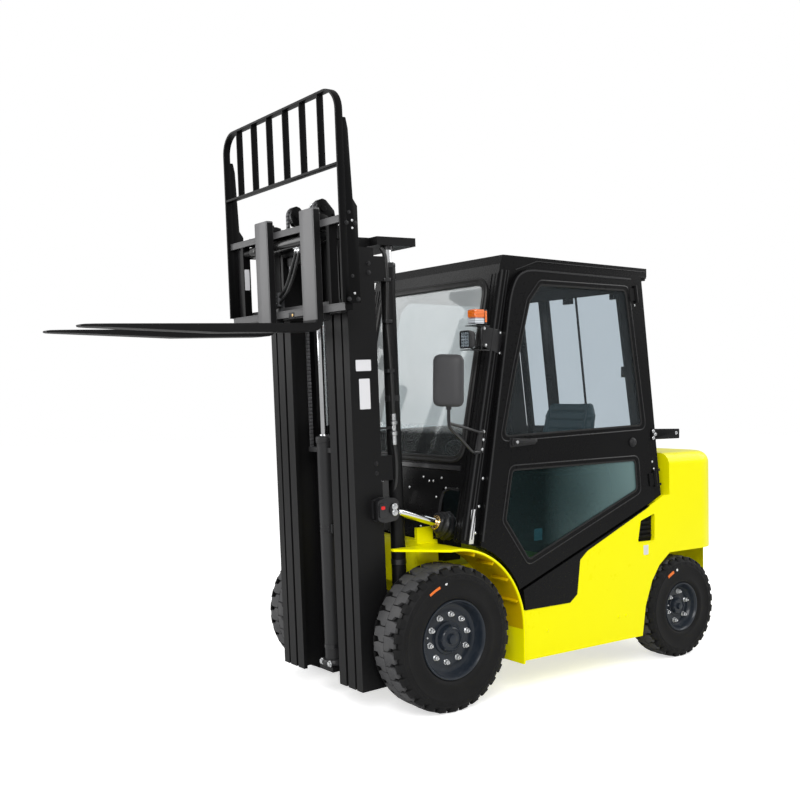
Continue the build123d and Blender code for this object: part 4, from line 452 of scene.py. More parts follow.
CAD_FINISH: dict[str, tuple[str, ...]] = {
    "yellow_paint": ("main_frame", "counterweight"),
    "cab_black": (
        "cab_frame", "roof", "front_panel", "engine_hood", "rear_window_frame", "door_left", "door_right",
        "lamp_brackets",
    ),
    "mast_black": (
        "mast_outer", "mast_middle", "mast_inner", "lift_barrels", "carriage", "backrest", "tilt_barrels",
    ),
    "barrel_black": ("free_lift_barrel",), "rest_black": ("sideshift_frame",), "fork_paint": ("forks",),
    "rim_blue": ("front_rim_left", "front_rim_right", "rear_rim_left", "rear_rim_right"),
    "cast_grey": ("drive_axle", "steer_axle", "knuckle_left", "knuckle_right", "engine_block"),
    "tyre_black": ("front_tyre_left", "front_tyre_right", "rear_tyre_left", "rear_tyre_right"),
    "black_plastic": ("rear_grille", "dashboard", "steering_wheel", "mirrors"),
    "seat_vinyl": ("seat_cushion", "seat_back"),
    "chrome": ("lift_rods", "free_lift_rod", "tilt_rods", "tow_pin"),
    "leaf_chain": ("carriage_chains", "anchor_chains", "stage_chains"), "boot_skin": ("tilt_boots",),
    "screen_glass": ("windscreen", "rear_window_glass"),
    "side_glass": ("door_glass_left", "door_glass_right"), "amber_lens": ("turn_lamps",),
    "clear_lens": ("work_lamps",),
}
FINISHES = (
    YELLOW, YELLOW_PAINTED_SHADE, CAB_BLACK, MAST_BLACK, TREAD_GREY, SIDE_GLASS, BLANK_LABEL, BARREL_BLACK,
    REST_BLACK, BLADE_BLACK, LEAF_CHAIN, BAR_PAINTED_REFLECTION, FORK_PAINTED_REFLECTION, GLOSS_BLACK, HOSE_BLACK, GOLD_RING,
    EDGE_BLACK, LINING_GREY, MIRROR_SHELL, RIM_BLUE, CAST, TYRE_BLACK, BLACK_RUBBER, BOOT_SKIN,
    BLACK_PLASTIC, SEAT_VINYL, CHROME, ZINC, MIRROR_GLASS, SCREEN, DOOR_PANE, AMBER, CLEAR_LENS,
    ORANGE_MARK, WHITE_MARK, RED_MARK,
)
MATERIALS: dict[str, bpy.types.Material] = {finish.name: finish.make() for finish in FINISHES}


MM = 0.001
AXLE_Y = next(joint for joint in frame["joints"] if joint["name"] == "mast_tilt")["pos_m"][1]
MAST_LEAN = 2.2
AXLE_Z = 350.0
TRUCK = Matrix.Translation((0.0, AXLE_Y, 0.0)) @ Matrix.Scale(MM, 4)
MAST = (
    TRUCK @ Matrix.Translation((0.0, 0.0, AXLE_Z)) @ Matrix.Rotation(math.radians(MAST_LEAN), 4, "X")
    @ Matrix.Translation((0.0, 0.0, -AXLE_Z))
)
MIRROR = Matrix.Scale(-1.0, 4, (1.0, 0.0, 0.0))
SHARP = math.radians(38)
WELD = 0.00002
SLIVER = 0.00001


def sided(place: Matrix, side: Side) -> Matrix:
    """The same place on one side of the truck: the right side is the left one mirrored."""
    return place if side is Side.LEFT else MIRROR @ place


def turned(centre: Point, degrees: Point, place: Matrix = TRUCK) -> Matrix:
    """A place with its own origin and turns.

    Args:
        centre: Its origin in the given place.
        degrees: Turns about X, then Y, then Z.
        place: What it is given in.

    Returns:
        The matrix from the new place to the scene.
    """
    about_x, about_y, about_z = (
        Matrix.Rotation(math.radians(value), 4, axis) for value, axis in zip(degrees, "XYZ")
    )
    turn = about_z @ about_y
    return place @ Matrix.Translation(centre) @ turn @ about_x


def smooth_path(points: Sequence[Point], steps: int = 6, closed: bool = False) -> list[Vector]:
    """Points on a smooth line through the given ones.

    Args:
        points: What the line passes through.
        steps: Pieces between two of them.
        closed: Whether the line returns to its start.

    Returns:
        The line's points in order.
    """
    found = [Vector(p) for p in points]
    count = len(found)
    line: list[Vector] = []
    for i in range(count if closed else count - 1):
        a, b = found[i], found[(i + 1) % count]
        before = found[i - 1] if closed or i > 0 else a
        after = found[(i + 2) % count] if closed or i + 2 < count else b
        for step in range(steps):
            t = step / steps
            line.append(
                0.5 * (2 * a + (b - before) * t + (2 * before - 5 * a + 4 * b - after) * t * t
                       + (3 * a - before - 3 * b + after) * t ** 3)
            )
    if not closed:
        line.append(found[-1])
    return line


def rounded(points: Sequence[Sequence[float]], radius: float, steps: int = 5) -> list[tuple[float, float]]:
    """Flat outline with its corners rounded.

    Args:
        points: The outline's corners.
        radius: Radius of each corner.
        steps: Pieces in each corner.

    Returns:
        The rounded outline.
    """
    corners = [Vector(p) for p in points]
    line: list[tuple[float, float]] = []
    for i, corner in enumerate(corners):
        before, after = corners[i - 1] - corner, corners[(i + 1) % len(corners)] - corner
        half = before.angle(after) / 2
        cut = min(radius / math.tan(half), before.length * 0.49, after.length * 0.49)
        start, end = corner + before.normalized() * cut, corner + after.normalized() * cut
        for step in range(steps + 1):
            t = step / steps
            point = start * (1 - t) ** 2 + corner * 2 * t * (1 - t) + end * t * t
            line.append((point.x, point.y))
    return line


def block(low: Sequence[float], high: Sequence[float]) -> list[tuple[float, float]]:
    """Corners of a flat rectangle."""
    return [(low[0], low[1]), (high[0], low[1]), (high[0], high[1]), (low[0], high[1])]


class Form:
    """A mesh under construction. Its measures are millimetres in a place, and the mesh is in metres."""

    def __init__(self, place: Matrix = TRUCK) -> None:
        """Start empty.

        Args:
            place: Matrix from the millimetres that are given to the scene.
        """
        self.mesh = bmesh.new()
        self.place = place

    def at(self, place: Matrix) -> "Form":
        """Go on in another place."""
        self.place = place
        return self

    def ring(self, points: Iterable[Sequence[float]]) -> list[bmesh.types.BMVert]:
        """Vertices at points of the current place."""
        return [self.mesh.verts.new(self.place @ Vector(p)) for p in points]

    def skin(self, rings: list[list[bmesh.types.BMVert]], closed: bool = False, caps: bool = True) -> "Form":
        """Faces between rings of equal count.

        Args:
            rings: The rings in order.
            closed: Whether the last joins the first.
            caps: Whether the ends are closed by faces.
        """
        pairs = list(zip(rings, rings[1:])) + ([(rings[-1], rings[0])] if closed else [])
        for low, high in pairs:
            count = len(low)
            for i in range(count):
                j = (i + 1) % count
                self.mesh.faces.new((low[i], low[j], high[j], high[i]))
        if caps and not closed:
            self.mesh.faces.new(rings[0][::-1])
            self.mesh.faces.new(rings[-1])
        return self

    def prism(self, axis: str, outline: Sequence[Sequence[float]], low: float, high: float) -> "Form":
        """Flat outline swept along an axis.

        Args:
            axis: The axis, whose coordinate the outline leaves out.
            outline: The other two coordinates of each corner.
            low: Where the sweep starts.
            high: Where it ends.
        """
        slot = "xyz".index(axis)

        def whole(corner: Sequence[float], value: float) -> list[float]:
            """The corner with its value along the axis put in."""
            point = list(corner)
            point.insert(slot, value)
            return point

        return self.skin([self.ring(whole(c, value) for c in outline) for value in (low, high)])

    def box(self, low: Point, high: Point) -> "Form":
        """Block between two corners."""
        return self.prism("z", block(low[:2], high[:2]), low[2], high[2])

    def frame(
        self, axis: str, outer: Sequence[Sequence[float]], inner: Sequence[Sequence[float]], low: float,
        high: float,
    ) -> "Form":
        """Flat ring between two outlines of equal count, swept along an axis."""
        slot = "xyz".index(axis)
        rings = []
        for outline, value in ((outer, low), (outer, high), (inner, high), (inner, low)):
            ring = []
            for corner in outline:
                point = list(corner)
                point.insert(slot, value)
                ring.append(point)
            rings.append(self.ring(ring))
        return self.skin(rings, closed=True)

    def lathe(self, profile: Sequence[tuple[float, float]], axis: str = "z", steps: int = 32) -> "Form":
        """Closed or axis-ended profile turned about an axis of the current place.

        Args:
            profile: Place along the axis and radius of each point. A radius of zero closes an end.
            axis: The axis.
            steps: Pieces round the turn.
        """
        order = {"x": (1, 2, 0), "y": (2, 0, 1), "z": (0, 1, 2)}[axis]
        rings = []
        for step in range(steps):
            angle = math.tau * step / steps
            ring = []
            for along, radius in profile:
                flat = (radius * math.cos(angle), radius * math.sin(angle), along)
                point = [0.0, 0.0, 0.0]
                for source, target in enumerate(order):
                    point[target] = flat[source]
                ring.append(point)
            rings.append(self.ring(ring))
        count = len(profile)
        for step in range(steps):
            low, high = rings[step], rings[(step + 1) % steps]
            for i in range(count if profile[0][1] > 0 and profile[-1][1] > 0 else count - 1):
                j = (i + 1) % count
                self.mesh.faces.new((low[i], low[j], high[j], high[i]))
        return self

    def disc(self, centre: Point, radius: float, length: float, axis: str = "x", steps: int = 24) -> "Form":
        """Round bar with softened ends, from a centre along an axis."""
        soft = min(radius, abs(length)) * 0.12 * (1 if length > 0 else -1)
        kept = self.place
        self.place = kept @ Matrix.Translation(centre)
        end = radius - abs(soft)
        profile = [(0, 0), (0, end), (soft, radius), (length - soft, radius), (length, end), (length, 0)]
        self.lathe(profile, axis, steps)
        self.place = kept
        return self

    def tube(
        self, path: Sequence[Sequence[float]], radius: float, closed: bool = False, steps: int = 10
    ) -> "Form":
        """Round bar along a line.

        Args:
            path: The line's points.
            radius: The bar's radius.
            closed: Whether it returns to its start.
            steps: Pieces round it.
        """
        turns = [math.tau * i / steps for i in range(steps)]
        return self.sweep(path, [(radius * math.cos(a), radius * math.sin(a)) for a in turns], closed)

    def sweep(
        self, path: Sequence[Sequence[float]], section: Sequence[Sequence[float]], closed: bool = False,
        up: Point | None = None,
    ) -> "Form":
        """Section carried along a line without twisting.

        Args:
            path: The line's points.
            section: Flat outline: first across the line, then along its up side.
            closed: Whether the line returns to its start.
            up: Direction of the up side, where it has to stay the same.
        """
        line = [Vector(p) for p in path]
        count = len(line)
        normal = Vector(up) if up else None
        rings = []
        for i, point in enumerate(line):
            before = line[i - 1] if closed or i else point
            after = line[(i + 1) % count] if closed or i + 1 < count else point
            along = (after - before).normalized()
            if normal is None:
                normal = along.orthogonal()
            side = along.cross(normal).normalized()
            level = side.cross(along).normalized()
            if not up:
                normal = level
            bend = 1.0
            if 0 < i < count - 1 or closed:
                a, b = (point - before).normalized(), (after - point).normalized()
                bend = 1.0 / max(0.5, math.cos(a.angle(b) / 2)) if a.length and b.length else 1.0
            rings.append(self.ring(point + side * u * bend + level * v * bend for u, v in section))
        return self.skin(rings, closed)

    def bevel(self, width: float, steps: int = 2, angle: float = 30.0) -> "Form":
        """Round every edge sharper than an angle.

        Args:
            width: Width of the round, in millimetres.
            steps: Pieces across it.
            angle: Least angle between the faces, in degrees.
        """
        bmesh.ops.remove_doubles(self.mesh, verts=self.mesh.verts, dist=WELD)
        bmesh.ops.recalc_face_normals(self.mesh, faces=self.mesh.faces)
        edges = [e for e in self.mesh.edges if e.is_manifold and e.calc_face_angle(0) > math.radians(angle)]
        bmesh.ops.bevel(
            self.mesh, geom=edges, offset=width * MM, segments=steps, profile=0.5, affect="EDGES",
            clamp_overlap=True, miter_outer="ARC" if steps > 2 else "SHARP",
        )
        return self

    def crumple(self, depth: float, density: float, seed: int) -> "Form":
        """Push every point in or out by a smooth random amount.

        Args:
            depth: Largest movement, in millimetres.
            density: Waves to the millimetre.
            seed: Which pattern is used.
        """
        self.mesh.normal_update()
        moves = []
        for point in self.mesh.verts:
            where = point.co / MM * density + Vector((seed * 3.1, seed * 1.7, seed * 2.3))
            moves.append(point.normal * noise.noise(where) * depth * MM)
        for point, move in zip(self.mesh.verts, moves):
            point.co += move
        return self

    def piece(self, name: str, finish: str, body: str, replaces: Sequence[str] = ()) -> bpy.types.Object:
        """Close the mesh and hand it over as a piece of the truck.

        Args:
            name: The piece's name.
            finish: Name of its finish.
            body: The CAD body it rides on.
            replaces: CAD nodes that it stands for.

        Returns:
            The finished object.
        """
        bmesh.ops.remove_doubles(self.mesh, verts=self.mesh.verts, dist=WELD)
        bmesh.ops.dissolve_degenerate(self.mesh, edges=self.mesh.edges, dist=SLIVER)
        bmesh.ops.recalc_face_normals(self.mesh, faces=self.mesh.faces)
        data = bpy.data.meshes.new(name)
        self.mesh.to_mesh(data)
        self.mesh.free()
        data.shade_smooth()
        data.set_sharp_from_angle(angle=SHARP)
        return hand_over(name, data, finish, body, replaces)


def hand_over(
    name: str, data: bpy.types.Mesh, finish: str, body: str, replaces: Sequence[str] = ()
) -> bpy.types.Object:
    """Link a mesh to the scene, dress it and let it ride.

    Args:
        name: The piece's name.
        data: Its mesh.
        finish: Name of its finish.
        body: The CAD body it rides on.
        replaces: CAD nodes that it stands for.

    Returns:
        The object.
    """
    data.materials.clear()
    data.materials.append(MATERIALS[finish])
    piece = bpy.data.objects.new(name, data)
    bpy.context.scene.collection.objects.link(piece)
    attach(piece, body)
    if replaces:
        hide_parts(*replaces)
    LOG.info("%s: %d faces on %s", name, len(data.polygons), body)
    return piece


@dataclass
class Seat:
    """Where one small part sits: its foot, the way it faces, the way its length lies and its size."""

    foot: Vector
    facing: Vector
    along: Vector
    size: float = 1.0


def seat(
    place: Matrix, foot: Point, facing: Point, size: float = 1.0, along: Point = (0.0, 0.0, 1.0)
) -> Seat:
    """A seat given in millimetres in a place."""
    turn = place.to_3x3()
    return Seat(
        place @ Vector(foot), (turn @ Vector(facing)).normalized(), (turn @ Vector(along)).normalized(),
        size
    )


class Repeater:
    """Geometry Nodes that set one shape on every seat of a list."""

    def __init__(self) -> None:
        """Build the node tree."""
        tree = bpy.data.node_groups.new("set_on_seats", "GeometryNodeTree")
        self.tree = tree
        self.keys: dict[str, str] = {}
        for label, kind in (
            ("Geometry", "NodeSocketGeometry"), ("Item", "NodeSocketObject"),
            ("Finish", "NodeSocketMaterial"), ("Wobble", "NodeSocketFloat"), ("Seed", "NodeSocketInt"),
        ):
            made = tree.interface.new_socket(name=label, in_out="INPUT", socket_type=kind)
            self.keys[label] = made.identifier
        tree.interface.new_socket(name="Geometry", in_out="OUTPUT", socket_type="NodeSocketGeometry")
        given = tree.nodes.new("NodeGroupInput")
        item = tree.nodes.new("GeometryNodeObjectInfo")
        tree.links.new(given.outputs["Item"], item.inputs["Object"])
        facing = self._align("Z", "AUTO", self._attribute("facing", "FLOAT_VECTOR"))
        along = self._align("X", "Z", self._attribute("along", "FLOAT_VECTOR"))
        tree.links.new(facing.outputs[0], along.inputs["Rotation"])
        wobble = tree.nodes.new("FunctionNodeRandomValue")
        wobble.data_type = "FLOAT_VECTOR"
        low = tree.nodes.new("ShaderNodeCombineXYZ")
        high = tree.nodes.new("ShaderNodeCombineXYZ")
        less = tree.nodes.new("ShaderNodeMath")
        less.operation = "MULTIPLY"
        less.inputs[1].default_value = -1.0
        tree.links.new(given.outputs["Wobble"], less.inputs[0])
        tree.links.new(less.outputs[0], low.inputs["Z"])
        tree.links.new(given.outputs["Wobble"], high.inputs["Z"])
        tree.links.new(low.outputs[0], wobble.inputs["Min"])
        tree.links.new(high.outputs[0], wobble.inputs["Max"])
        tree.links.new(given.outputs["Seed"], wobble.inputs["Seed"])
        spin = tree.nodes.new("FunctionNodeRotateRotation")
        spin.rotation_space = "LOCAL"
        tree.links.new(along.outputs[0], spin.inputs[0])
        tree.links.new(wobble.outputs[0], spin.inputs[1])
        copies = tree.nodes.new("GeometryNodeInstanceOnPoints")
        tree.links.new(given.outputs["Geometry"], copies.inputs["Points"])
        tree.links.new(item.outputs["Geometry"], copies.inputs["Instance"])
        tree.links.new(spin.outputs[0], copies.inputs["Rotation"])
        tree.links.new(self._attribute("size", "FLOAT"), copies.inputs["Scale"])
        real = tree.nodes.new("GeometryNodeRealizeInstances")
        tree.links.new(copies.outputs[0], real.inputs[0])
        finish = tree.nodes.new("GeometryNodeSetMaterial")
        tree.links.new(real.outputs[0], finish.inputs["Geometry"])
        tree.links.new(given.outputs["Finish"], finish.inputs["Material"])
        result = tree.nodes.new("NodeGroupOutput")
        tree.links.new(finish.outputs[0], result.inputs[0])

    def _attribute(self, label: str, kind: str) -> bpy.types.NodeSocket:
        """Named attribute of the seats."""
        node = self.tree.nodes.new("GeometryNodeInputNamedAttribute")
        node.data_type = kind
        node.inputs["Name"].default_value = label
        return node.outputs["Attribute"]

    def _align(self, axis: str, pivot: str, vector: bpy.types.NodeSocket) -> bpy.types.Node:
        """Turn that brings an axis to a vector."""
        node = self.tree.nodes.new("FunctionNodeAlignRotationToVector")
        node.axis = axis
        node.pivot_axis = pivot
        self.tree.links.new(vector, node.inputs["Vector"])
        return node

    def make(
        self, name: str, item: bpy.types.Mesh, seats: Sequence[Seat], finish: str, body: str,
        wobble: float = 0.0, replaces: Sequence[str] = (),
    ) -> bpy.types.Object:
        """Set a shape on every seat and hand the result over as one piece.

        Args:
            name: The piece's name.
            item: The shape, with its foot at the origin, facing +Z, in metres.
            seats: Where it goes.
            finish: Name of the finish.
            body: The CAD body it rides on.
            wobble: Largest random turn about the way it faces, in radians.
            replaces: CAD nodes that it stands for.

        Returns:
            The finished object.
        """
        cloud = bpy.data.meshes.new(f"{name}_seats")
        cloud.from_pydata([tuple(s.foot) for s in seats], [], [])
        for label, kind, key, values in (
            ("facing", "FLOAT_VECTOR", "vector", [c for s in seats for c in s.facing]),
            ("along", "FLOAT_VECTOR", "vector", [c for s in seats for c in s.along]),
            ("size", "FLOAT", "value", [s.size for s in seats]),
        ):
            cloud.attributes.new(label, kind, "POINT").data.foreach_set(key, values)
        pattern = bpy.data.objects.new(f"{name}_pattern", item)
        holder = bpy.data.objects.new(f"{name}_holder", cloud)
        for thing in (pattern, holder):
            bpy.context.scene.collection.objects.link(thing)
        modifier = holder.modifiers.new("seats", "NODES")
        modifier.node_group = self.tree
        for label, value in (
            ("Item", pattern), ("Finish", MATERIALS[finish]), ("Wobble", wobble), ("Seed", 7)
        ):
            modifier[self.keys[label]] = value
        holder.update_tag()
        graph = bpy.context.evaluated_depsgraph_get()
        graph.update()
        data = bpy.data.meshes.new_from_object(holder.evaluated_get(graph))
        for thing in (pattern, holder):
            bpy.data.objects.remove(thing)
        data.name = name
        return hand_over(name, data, finish, body, replaces)


REPEATER = Repeater()


def item_mesh(name: str, build: Callable[[Form], Form], soft: float = 0.0) -> bpy.types.Mesh:
    """Mesh of a small part that is repeated, in metres about its own foot.

    Args:
        name: The mesh's name.
        build: Adds the part's shape to an empty form.
        soft: Width of the rounded edges, in millimetres.

    Returns:
        The mesh.
    """
    form = build(Form(Matrix.Scale(MM, 4)))
    if soft:
        form.bevel(soft, 2)
    bmesh.ops.recalc_face_normals(form.mesh, faces=form.mesh.faces)
    data = bpy.data.meshes.new(name)
    form.mesh.to_mesh(data)
    form.mesh.free()
    data.shade_smooth()
    data.set_sharp_from_angle(angle=SHARP)
    return data


def hexagon(radius: float) -> list[tuple[float, float]]:
    """Corners of a six-sided outline."""
    return [(radius * math.cos(math.tau * i / 6), radius * math.sin(math.tau * i / 6)) for i in range(6)]


BOLT_HEAD = item_mesh(
    "bolt_head",
    lambda form: form.lathe(
        [(0, 0), (0, 11), (1.4, 11), (1.8, 10), (1.8, 0)], "z", 20
    ).prism("z", hexagon(8.2), 1.8, 7.2),
    0.6,
)
DOME_HEAD = item_mesh(
    "dome_head",
    lambda form: form.lathe(
        [(0, 0), (0, 8.5), (1.2, 8.5), (1.4, 6.6), (3.4, 5.6), (4.8, 3.6), (5.4, 0)], "z", 20
    ),
)
WHEEL_NUT = item_mesh(
    "wheel_nut", lambda form: form.lathe([(0, 0), (0, 15), (3, 15), (4.5, 13), (4.5, 0)], "z", 24)
    .prism("z", hexagon(12), 4.5, 17).lathe([(17, 0), (17, 6.2), (26, 6.0), (27, 5), (27, 0)], "z", 16),
    0.8,
)


@dataclass
class Tyre:
    """One tyre with its tread, and the rim inside it."""

    node: str
    body: str
    centre: Point
    inner_x: float
    width: float
    radius: float
    rim_radius: float
    lugs: int
    nuts: int
    hub_radius: float
    side: Side
    groove: float = 15.0

    @property
    def place(self) -> Matrix:
        """Axle line of the wheel: X runs outwards."""
        return sided(TRUCK, self.side) @ Matrix.Translation(self.centre)

    def carcass(self) -> list[tuple[float, float]]:
        """Closed profile of the tyre below its tread, from bead to bead."""
        w, r, g = self.width, self.radius, self.groove
        bead, shoulder = w * 0.07, w * 0.16
        low, high = self.inner_x, self.inner_x + w
        rim, rib = self.rim_radius, r - shoulder - 26
        return [
            (low + bead, rim), (low + 2, rim + bead), (low + 1, rim + bead * 2.4), (low, rib),
            (low + 2, r - shoulder), (low + shoulder * 0.55, r - g - 2), (low + w * 0.35, r - g),
            (high - w * 0.35, r - g), (high - shoulder * 0.55, r - g - 2), (high - 2.6, r - shoulder),
            (high - 2.4, rib + 9), (high, rib + 5), (high, rib), (high - 3.4, rib - 5),
            (high - 3.6, rim + bead * 3.2), (high - 1.0, rim + bead * 2.4), (high - 0.6, rim + bead * 1.5),
            (high - 3, rim + bead * 0.9), (high - bead * 0.8, rim + 5), (high - bead, rim),
        ]

    def lug(self, way: int) -> bpy.types.Mesh:
        """One tread block: an arrow-shaped half chevron that runs down over the shoulder."""
        pitch = math.tau * (self.radius - self.groove) / self.lugs
        w, g = self.width, self.groove
        tooth, slit = pitch * 0.5, 3.2
        mid, end = way * slit / 2, way * w * 0.355
        outline = [
            (mid, -tooth + 1.0), (end * 0.42, -tooth + 1.0), (end * 0.62, -tooth * 0.42),
            (end, -tooth * 0.42),
            (end, tooth * 0.76), (end * 0.62, tooth * 0.98), (end * 0.5, tooth - 1.2), (mid, tooth - 1.2),
        ]
        shift = way * pitch * 0.25
        outline = [(u, v + shift) for u, v in outline]

        def build(form: Form) -> Form:
            """The block from below the groove up to the tread's face."""
            return form.prism("z", outline, -6.0, g)

        return item_mesh(f"{self.node}_lug", build, 1.2)

    def shoulder_lug(self, way: int) -> bpy.types.Mesh:
        """One block on the shoulder, narrowing down the side wall."""
        pitch = math.tau * (self.radius - self.groove) / self.lugs
        w, shoulder = self.width, self.width * 0.16
        half = pitch * 0.33
        low, high = -shoulder - 12.0, self.groove
        inner, outer = way * w * 0.355, way * w * 0.5

        def build(form: Form) -> Form:
            """The block from its foot in the side wall up to the tread's face."""
            foot = [
                (inner, -half, -6), (outer - way * 3, -half, low + 6), (outer - way * 3, half, low + 6),
                (inner, half, -6)
            ]
            head = [
                (inner, -half, high), (outer - way * shoulder * 0.42, -half * 0.94, high - shoulder * 0.17),
                (outer - way * shoulder * 0.42, half * 0.94, high - shoulder * 0.17), (inner, half, high),
            ]
            side = [
                (inner, -half, -6), (outer - way * 0.4, -half * 0.7, low + 14),
                (outer - way * 0.4, half * 0.7, low + 14), (inner, half, -6),
            ]
            return form.skin([form.ring(foot), form.ring(side), form.ring(head)])

        return item_mesh(f"{self.node}_shoulder", build, 1.2)

    def around(
        self, count: int, radius: float, x: float, phase: float = 0.0, outwards: bool = False
    ) -> list[Seat]:
        """Seats round the wheel.

        Args:
            count: How many.
            radius: Their distance from the axle line.
            x: Their place along it.
            phase: Turn of the first, in shares of the pitch.
            outwards: Whether they face along the axle rather than away from it.
        """
        seats = []
        for i in range(count):
            angle = math.tau * (i + phase) / count
            spoke = (0.0, math.cos(angle), math.sin(angle))
            foot = (x, radius * spoke[1], radius * spoke[2])
            facing = (1.0, 0.0, 0.0) if outwards else spoke
            seats.append(seat(self.place, foot, facing, 1.0, spoke if outwards else (1.0, 0.0, 0.0)))
        return seats

    def build_tyre(self) -> None:
        """Make the carcass and the tread."""
        Form(self.place).lathe(self.carcass(), "x", 96).piece(
            f"{self.node}_carcass", "tyre_black", self.body, [self.node]
        )
        middle = self.inner_x + self.width / 2
        for way in (-1, 1):
            ring = self.around(self.lugs, self.radius - self.groove, middle)
            word = "outer" if way > 0 else "inner"
            sign = way if self.side is Side.LEFT else -way
            REPEATER.make(f"{self.node}_tread_{word}", self.lug(sign), ring, "tread_grey", self.body)
            ring = self.around(self.lugs, self.radius - self.groove, middle, 0.30 if way > 0 else -0.20)
            REPEATER.make(
                f"{self.node}_shoulder_{word}", self.shoulder_lug(sign), ring, "tyre_black", self.body
            )

    def build_marks(self) -> None:
        """Put the plain orange mark and the light spot on the side wall."""
        radius = (self.rim_radius + self.radius) / 2 + self.width * 0.05
        x = self.inner_x + self.width - 3.4
        form = Form(self.place)
        arc = [
            (x, -radius * math.cos(math.radians(a)), radius * math.sin(math.radians(a)))
            for a in range(56, 72, 2)
        ]
        form.sweep(arc, rounded(block((-9, -0.8), (9, 1.6)), 1.0, 2), up=(1.0, 0.0, 0.0))
        form.piece(f"{self.node}_mark", "orange_mark", self.body)
        angle = math.radians(78)
        spot = (x - 0.6, -radius * math.cos(angle), radius * math.sin(angle))
        Form(self.place).disc(spot, 7.5, 1.6).piece(f"{self.node}_spot", "white_mark", self.body)

    def build_rim(self) -> None:
        """Make the pressed rim, its hub and its nuts, over the CAD rim."""
        rim, w, hub = self.rim_radius, self.width, self.hub_radius
        outer = self.inner_x + w
        face = outer - w * 0.30
        plate = w * 0.07
        ring, bolt = rim * 0.62, rim * 0.60
        profile = [
            (self.inner_x + w * 0.07, rim), (outer - w * 0.07, rim), (outer - w * 0.045, rim - 2),
            (outer - w * 0.045, rim - 7), (outer - w * 0.075, rim - 12), (outer - w * 0.12, rim - 16),
            (outer - w * 0.2, rim - 19), (face + plate, rim - 22), (face + plate * 0.2, rim - 28),
            (face - 2, rim * 0.76), (face, rim * 0.72), (face, ring * 0.86), (face - 3, hub * 1.32),
            (face - 4, hub),
            (face - plate * 1.5, hub), (face - plate * 1.5, rim * 0.8), (self.inner_x + w * 0.07, rim - 14),
        ]
        Form(self.place).lathe(profile, "x", 72).piece(
            f"{self.node}_rim", "rim_blue", self.body, [self.node.replace("tyre", "rim")]
        )
        cap = [
            (face - plate, 0), (face - plate, hub * 1.2), (face + 2, hub * 1.2), (face + 4, hub * 1.16),
            (face + 5, hub), (face + plate * 1.6, hub * 0.93), (face + plate * 2.1, hub * 0.86),
            (face + plate * 2.3, hub * 0.74), (face + plate * 2.0, hub * 0.70),
            (face + plate * 2.0, hub * 0.40), (face + plate * 2.9, hub * 0.36),
            (face + plate * 3.0, hub * 0.30), (face + plate * 3.0, 0),
        ]
        Form(self.place).lathe(cap, "x", 48).piece(f"{self.node}_hub", "rim_blue", self.body)
        REPEATER.make(
            f"{self.node}_nuts", WHEEL_NUT, self.around(self.nuts, bolt, face, 0.3, True), "zinc",
            self.body, 0.5
        )
        ring_seats = self.around(8, hub * 0.9, face + plate * 1.9, 0.0, True)
        for spot in ring_seats:
            spot.size = 0.62
        REPEATER.make(f"{self.node}_hub_bolts", BOLT_HEAD, ring_seats, "rim_blue", self.body, 0.5)
        valve = [
            (face + 4, -rim * 0.74, rim * 0.12), (face + 26, -rim * 0.77, rim * 0.13),
            (face + 38, -rim * 0.8, rim * 0.14)
        ]
        Form(self.place).tube(smooth_path(valve), 4.0).piece(f"{self.node}_valve", "zinc", self.body)

    def build(self) -> None:
        """Make the whole wheel."""
        self.build_tyre()
        self.build_marks()
        self.build_rim()


def build_wheels() -> None:
    """Make the four wheels."""
    for side in Side:
        Tyre(
            node=f"front_tyre_{side.word}", body=f"front_wheel_{side.word}", centre=(0.0, 0.0, 350.0),
            inner_x=388.0, width=222.0, radius=350.0, rim_radius=192.0, lugs=30, nuts=10, hub_radius=66.0,
            side=side,
        ).build()
        Tyre(
            node=f"rear_tyre_{side.word}", body=f"rear_wheel_{side.word}", centre=(0.0, 1712.0, 288.0),
            inner_x=400.0, width=178.0, radius=288.0, rim_radius=139.0, lugs=28, nuts=6, hub_radius=48.0,
            side=side, groove=12.0,
        ).build()


FRONT_SLOPE = 0.193
RAKE = math.atan(FRONT_SLOPE)
SCREEN_Y = 158.0
SCREEN_FOOT = 1190.0
CAB_FRONT = TRUCK @ Matrix.Translation((0.0, SCREEN_Y, SCREEN_FOOT)) @ Matrix((
    (1, 0, 0, 0),
    (0, math.sin(RAKE), -math.cos(RAKE), 0),
    (0, math.cos(RAKE), math.sin(RAKE), 0),
    (0, 0, 0, 1),
))
UPPER_PANE = [(336, 1307), (419, 1646), (520, 2000), (600, 2090), (1249, 2096), (1379, 1341)]
LOWER_PANE = [(394, 1147), (1321, 1159), (1336, 985), (506, 675), (345, 894)]
DOOR_OUTSIDE = 577.0


def front_y(z: float) -> float:
    """Distance behind the front axle of the cab's raked front at a height."""
    return SCREEN_Y + (z - SCREEN_FOOT) * FRONT_SLOPE


def c_post_y(z: float) -> float:
    """Distance behind the front axle of the cab's rear edge at a height."""
    return 1404.0 + 0.126 * (2180.0 - z)


def grown(outline: Sequence[Sequence[float]], by: float) -> list[tuple[float, float]]:
    """Flat outline with every edge moved outwards by a distance."""
    points = [Vector(p) for p in outline]
    count = len(points)
    area = sum(points[i - 1].cross(points[i]) for i in range(count))
    sign = 1.0 if area > 0 else -1.0
    result = []
    for i, corner in enumerate(points):
        a = (corner - points[i - 1]).normalized()
        b = (points[(i + 1) % count] - corner).normalized()
        na, nb = Vector((a.y, -a.x)) * sign, Vector((b.y, -b.x)) * sign
        middle = (na + nb).normalized()
        shift = by / max(0.35, middle.dot(na))
        result.append((corner.x + middle.x * shift, corner.y + middle.y * shift))
    return result


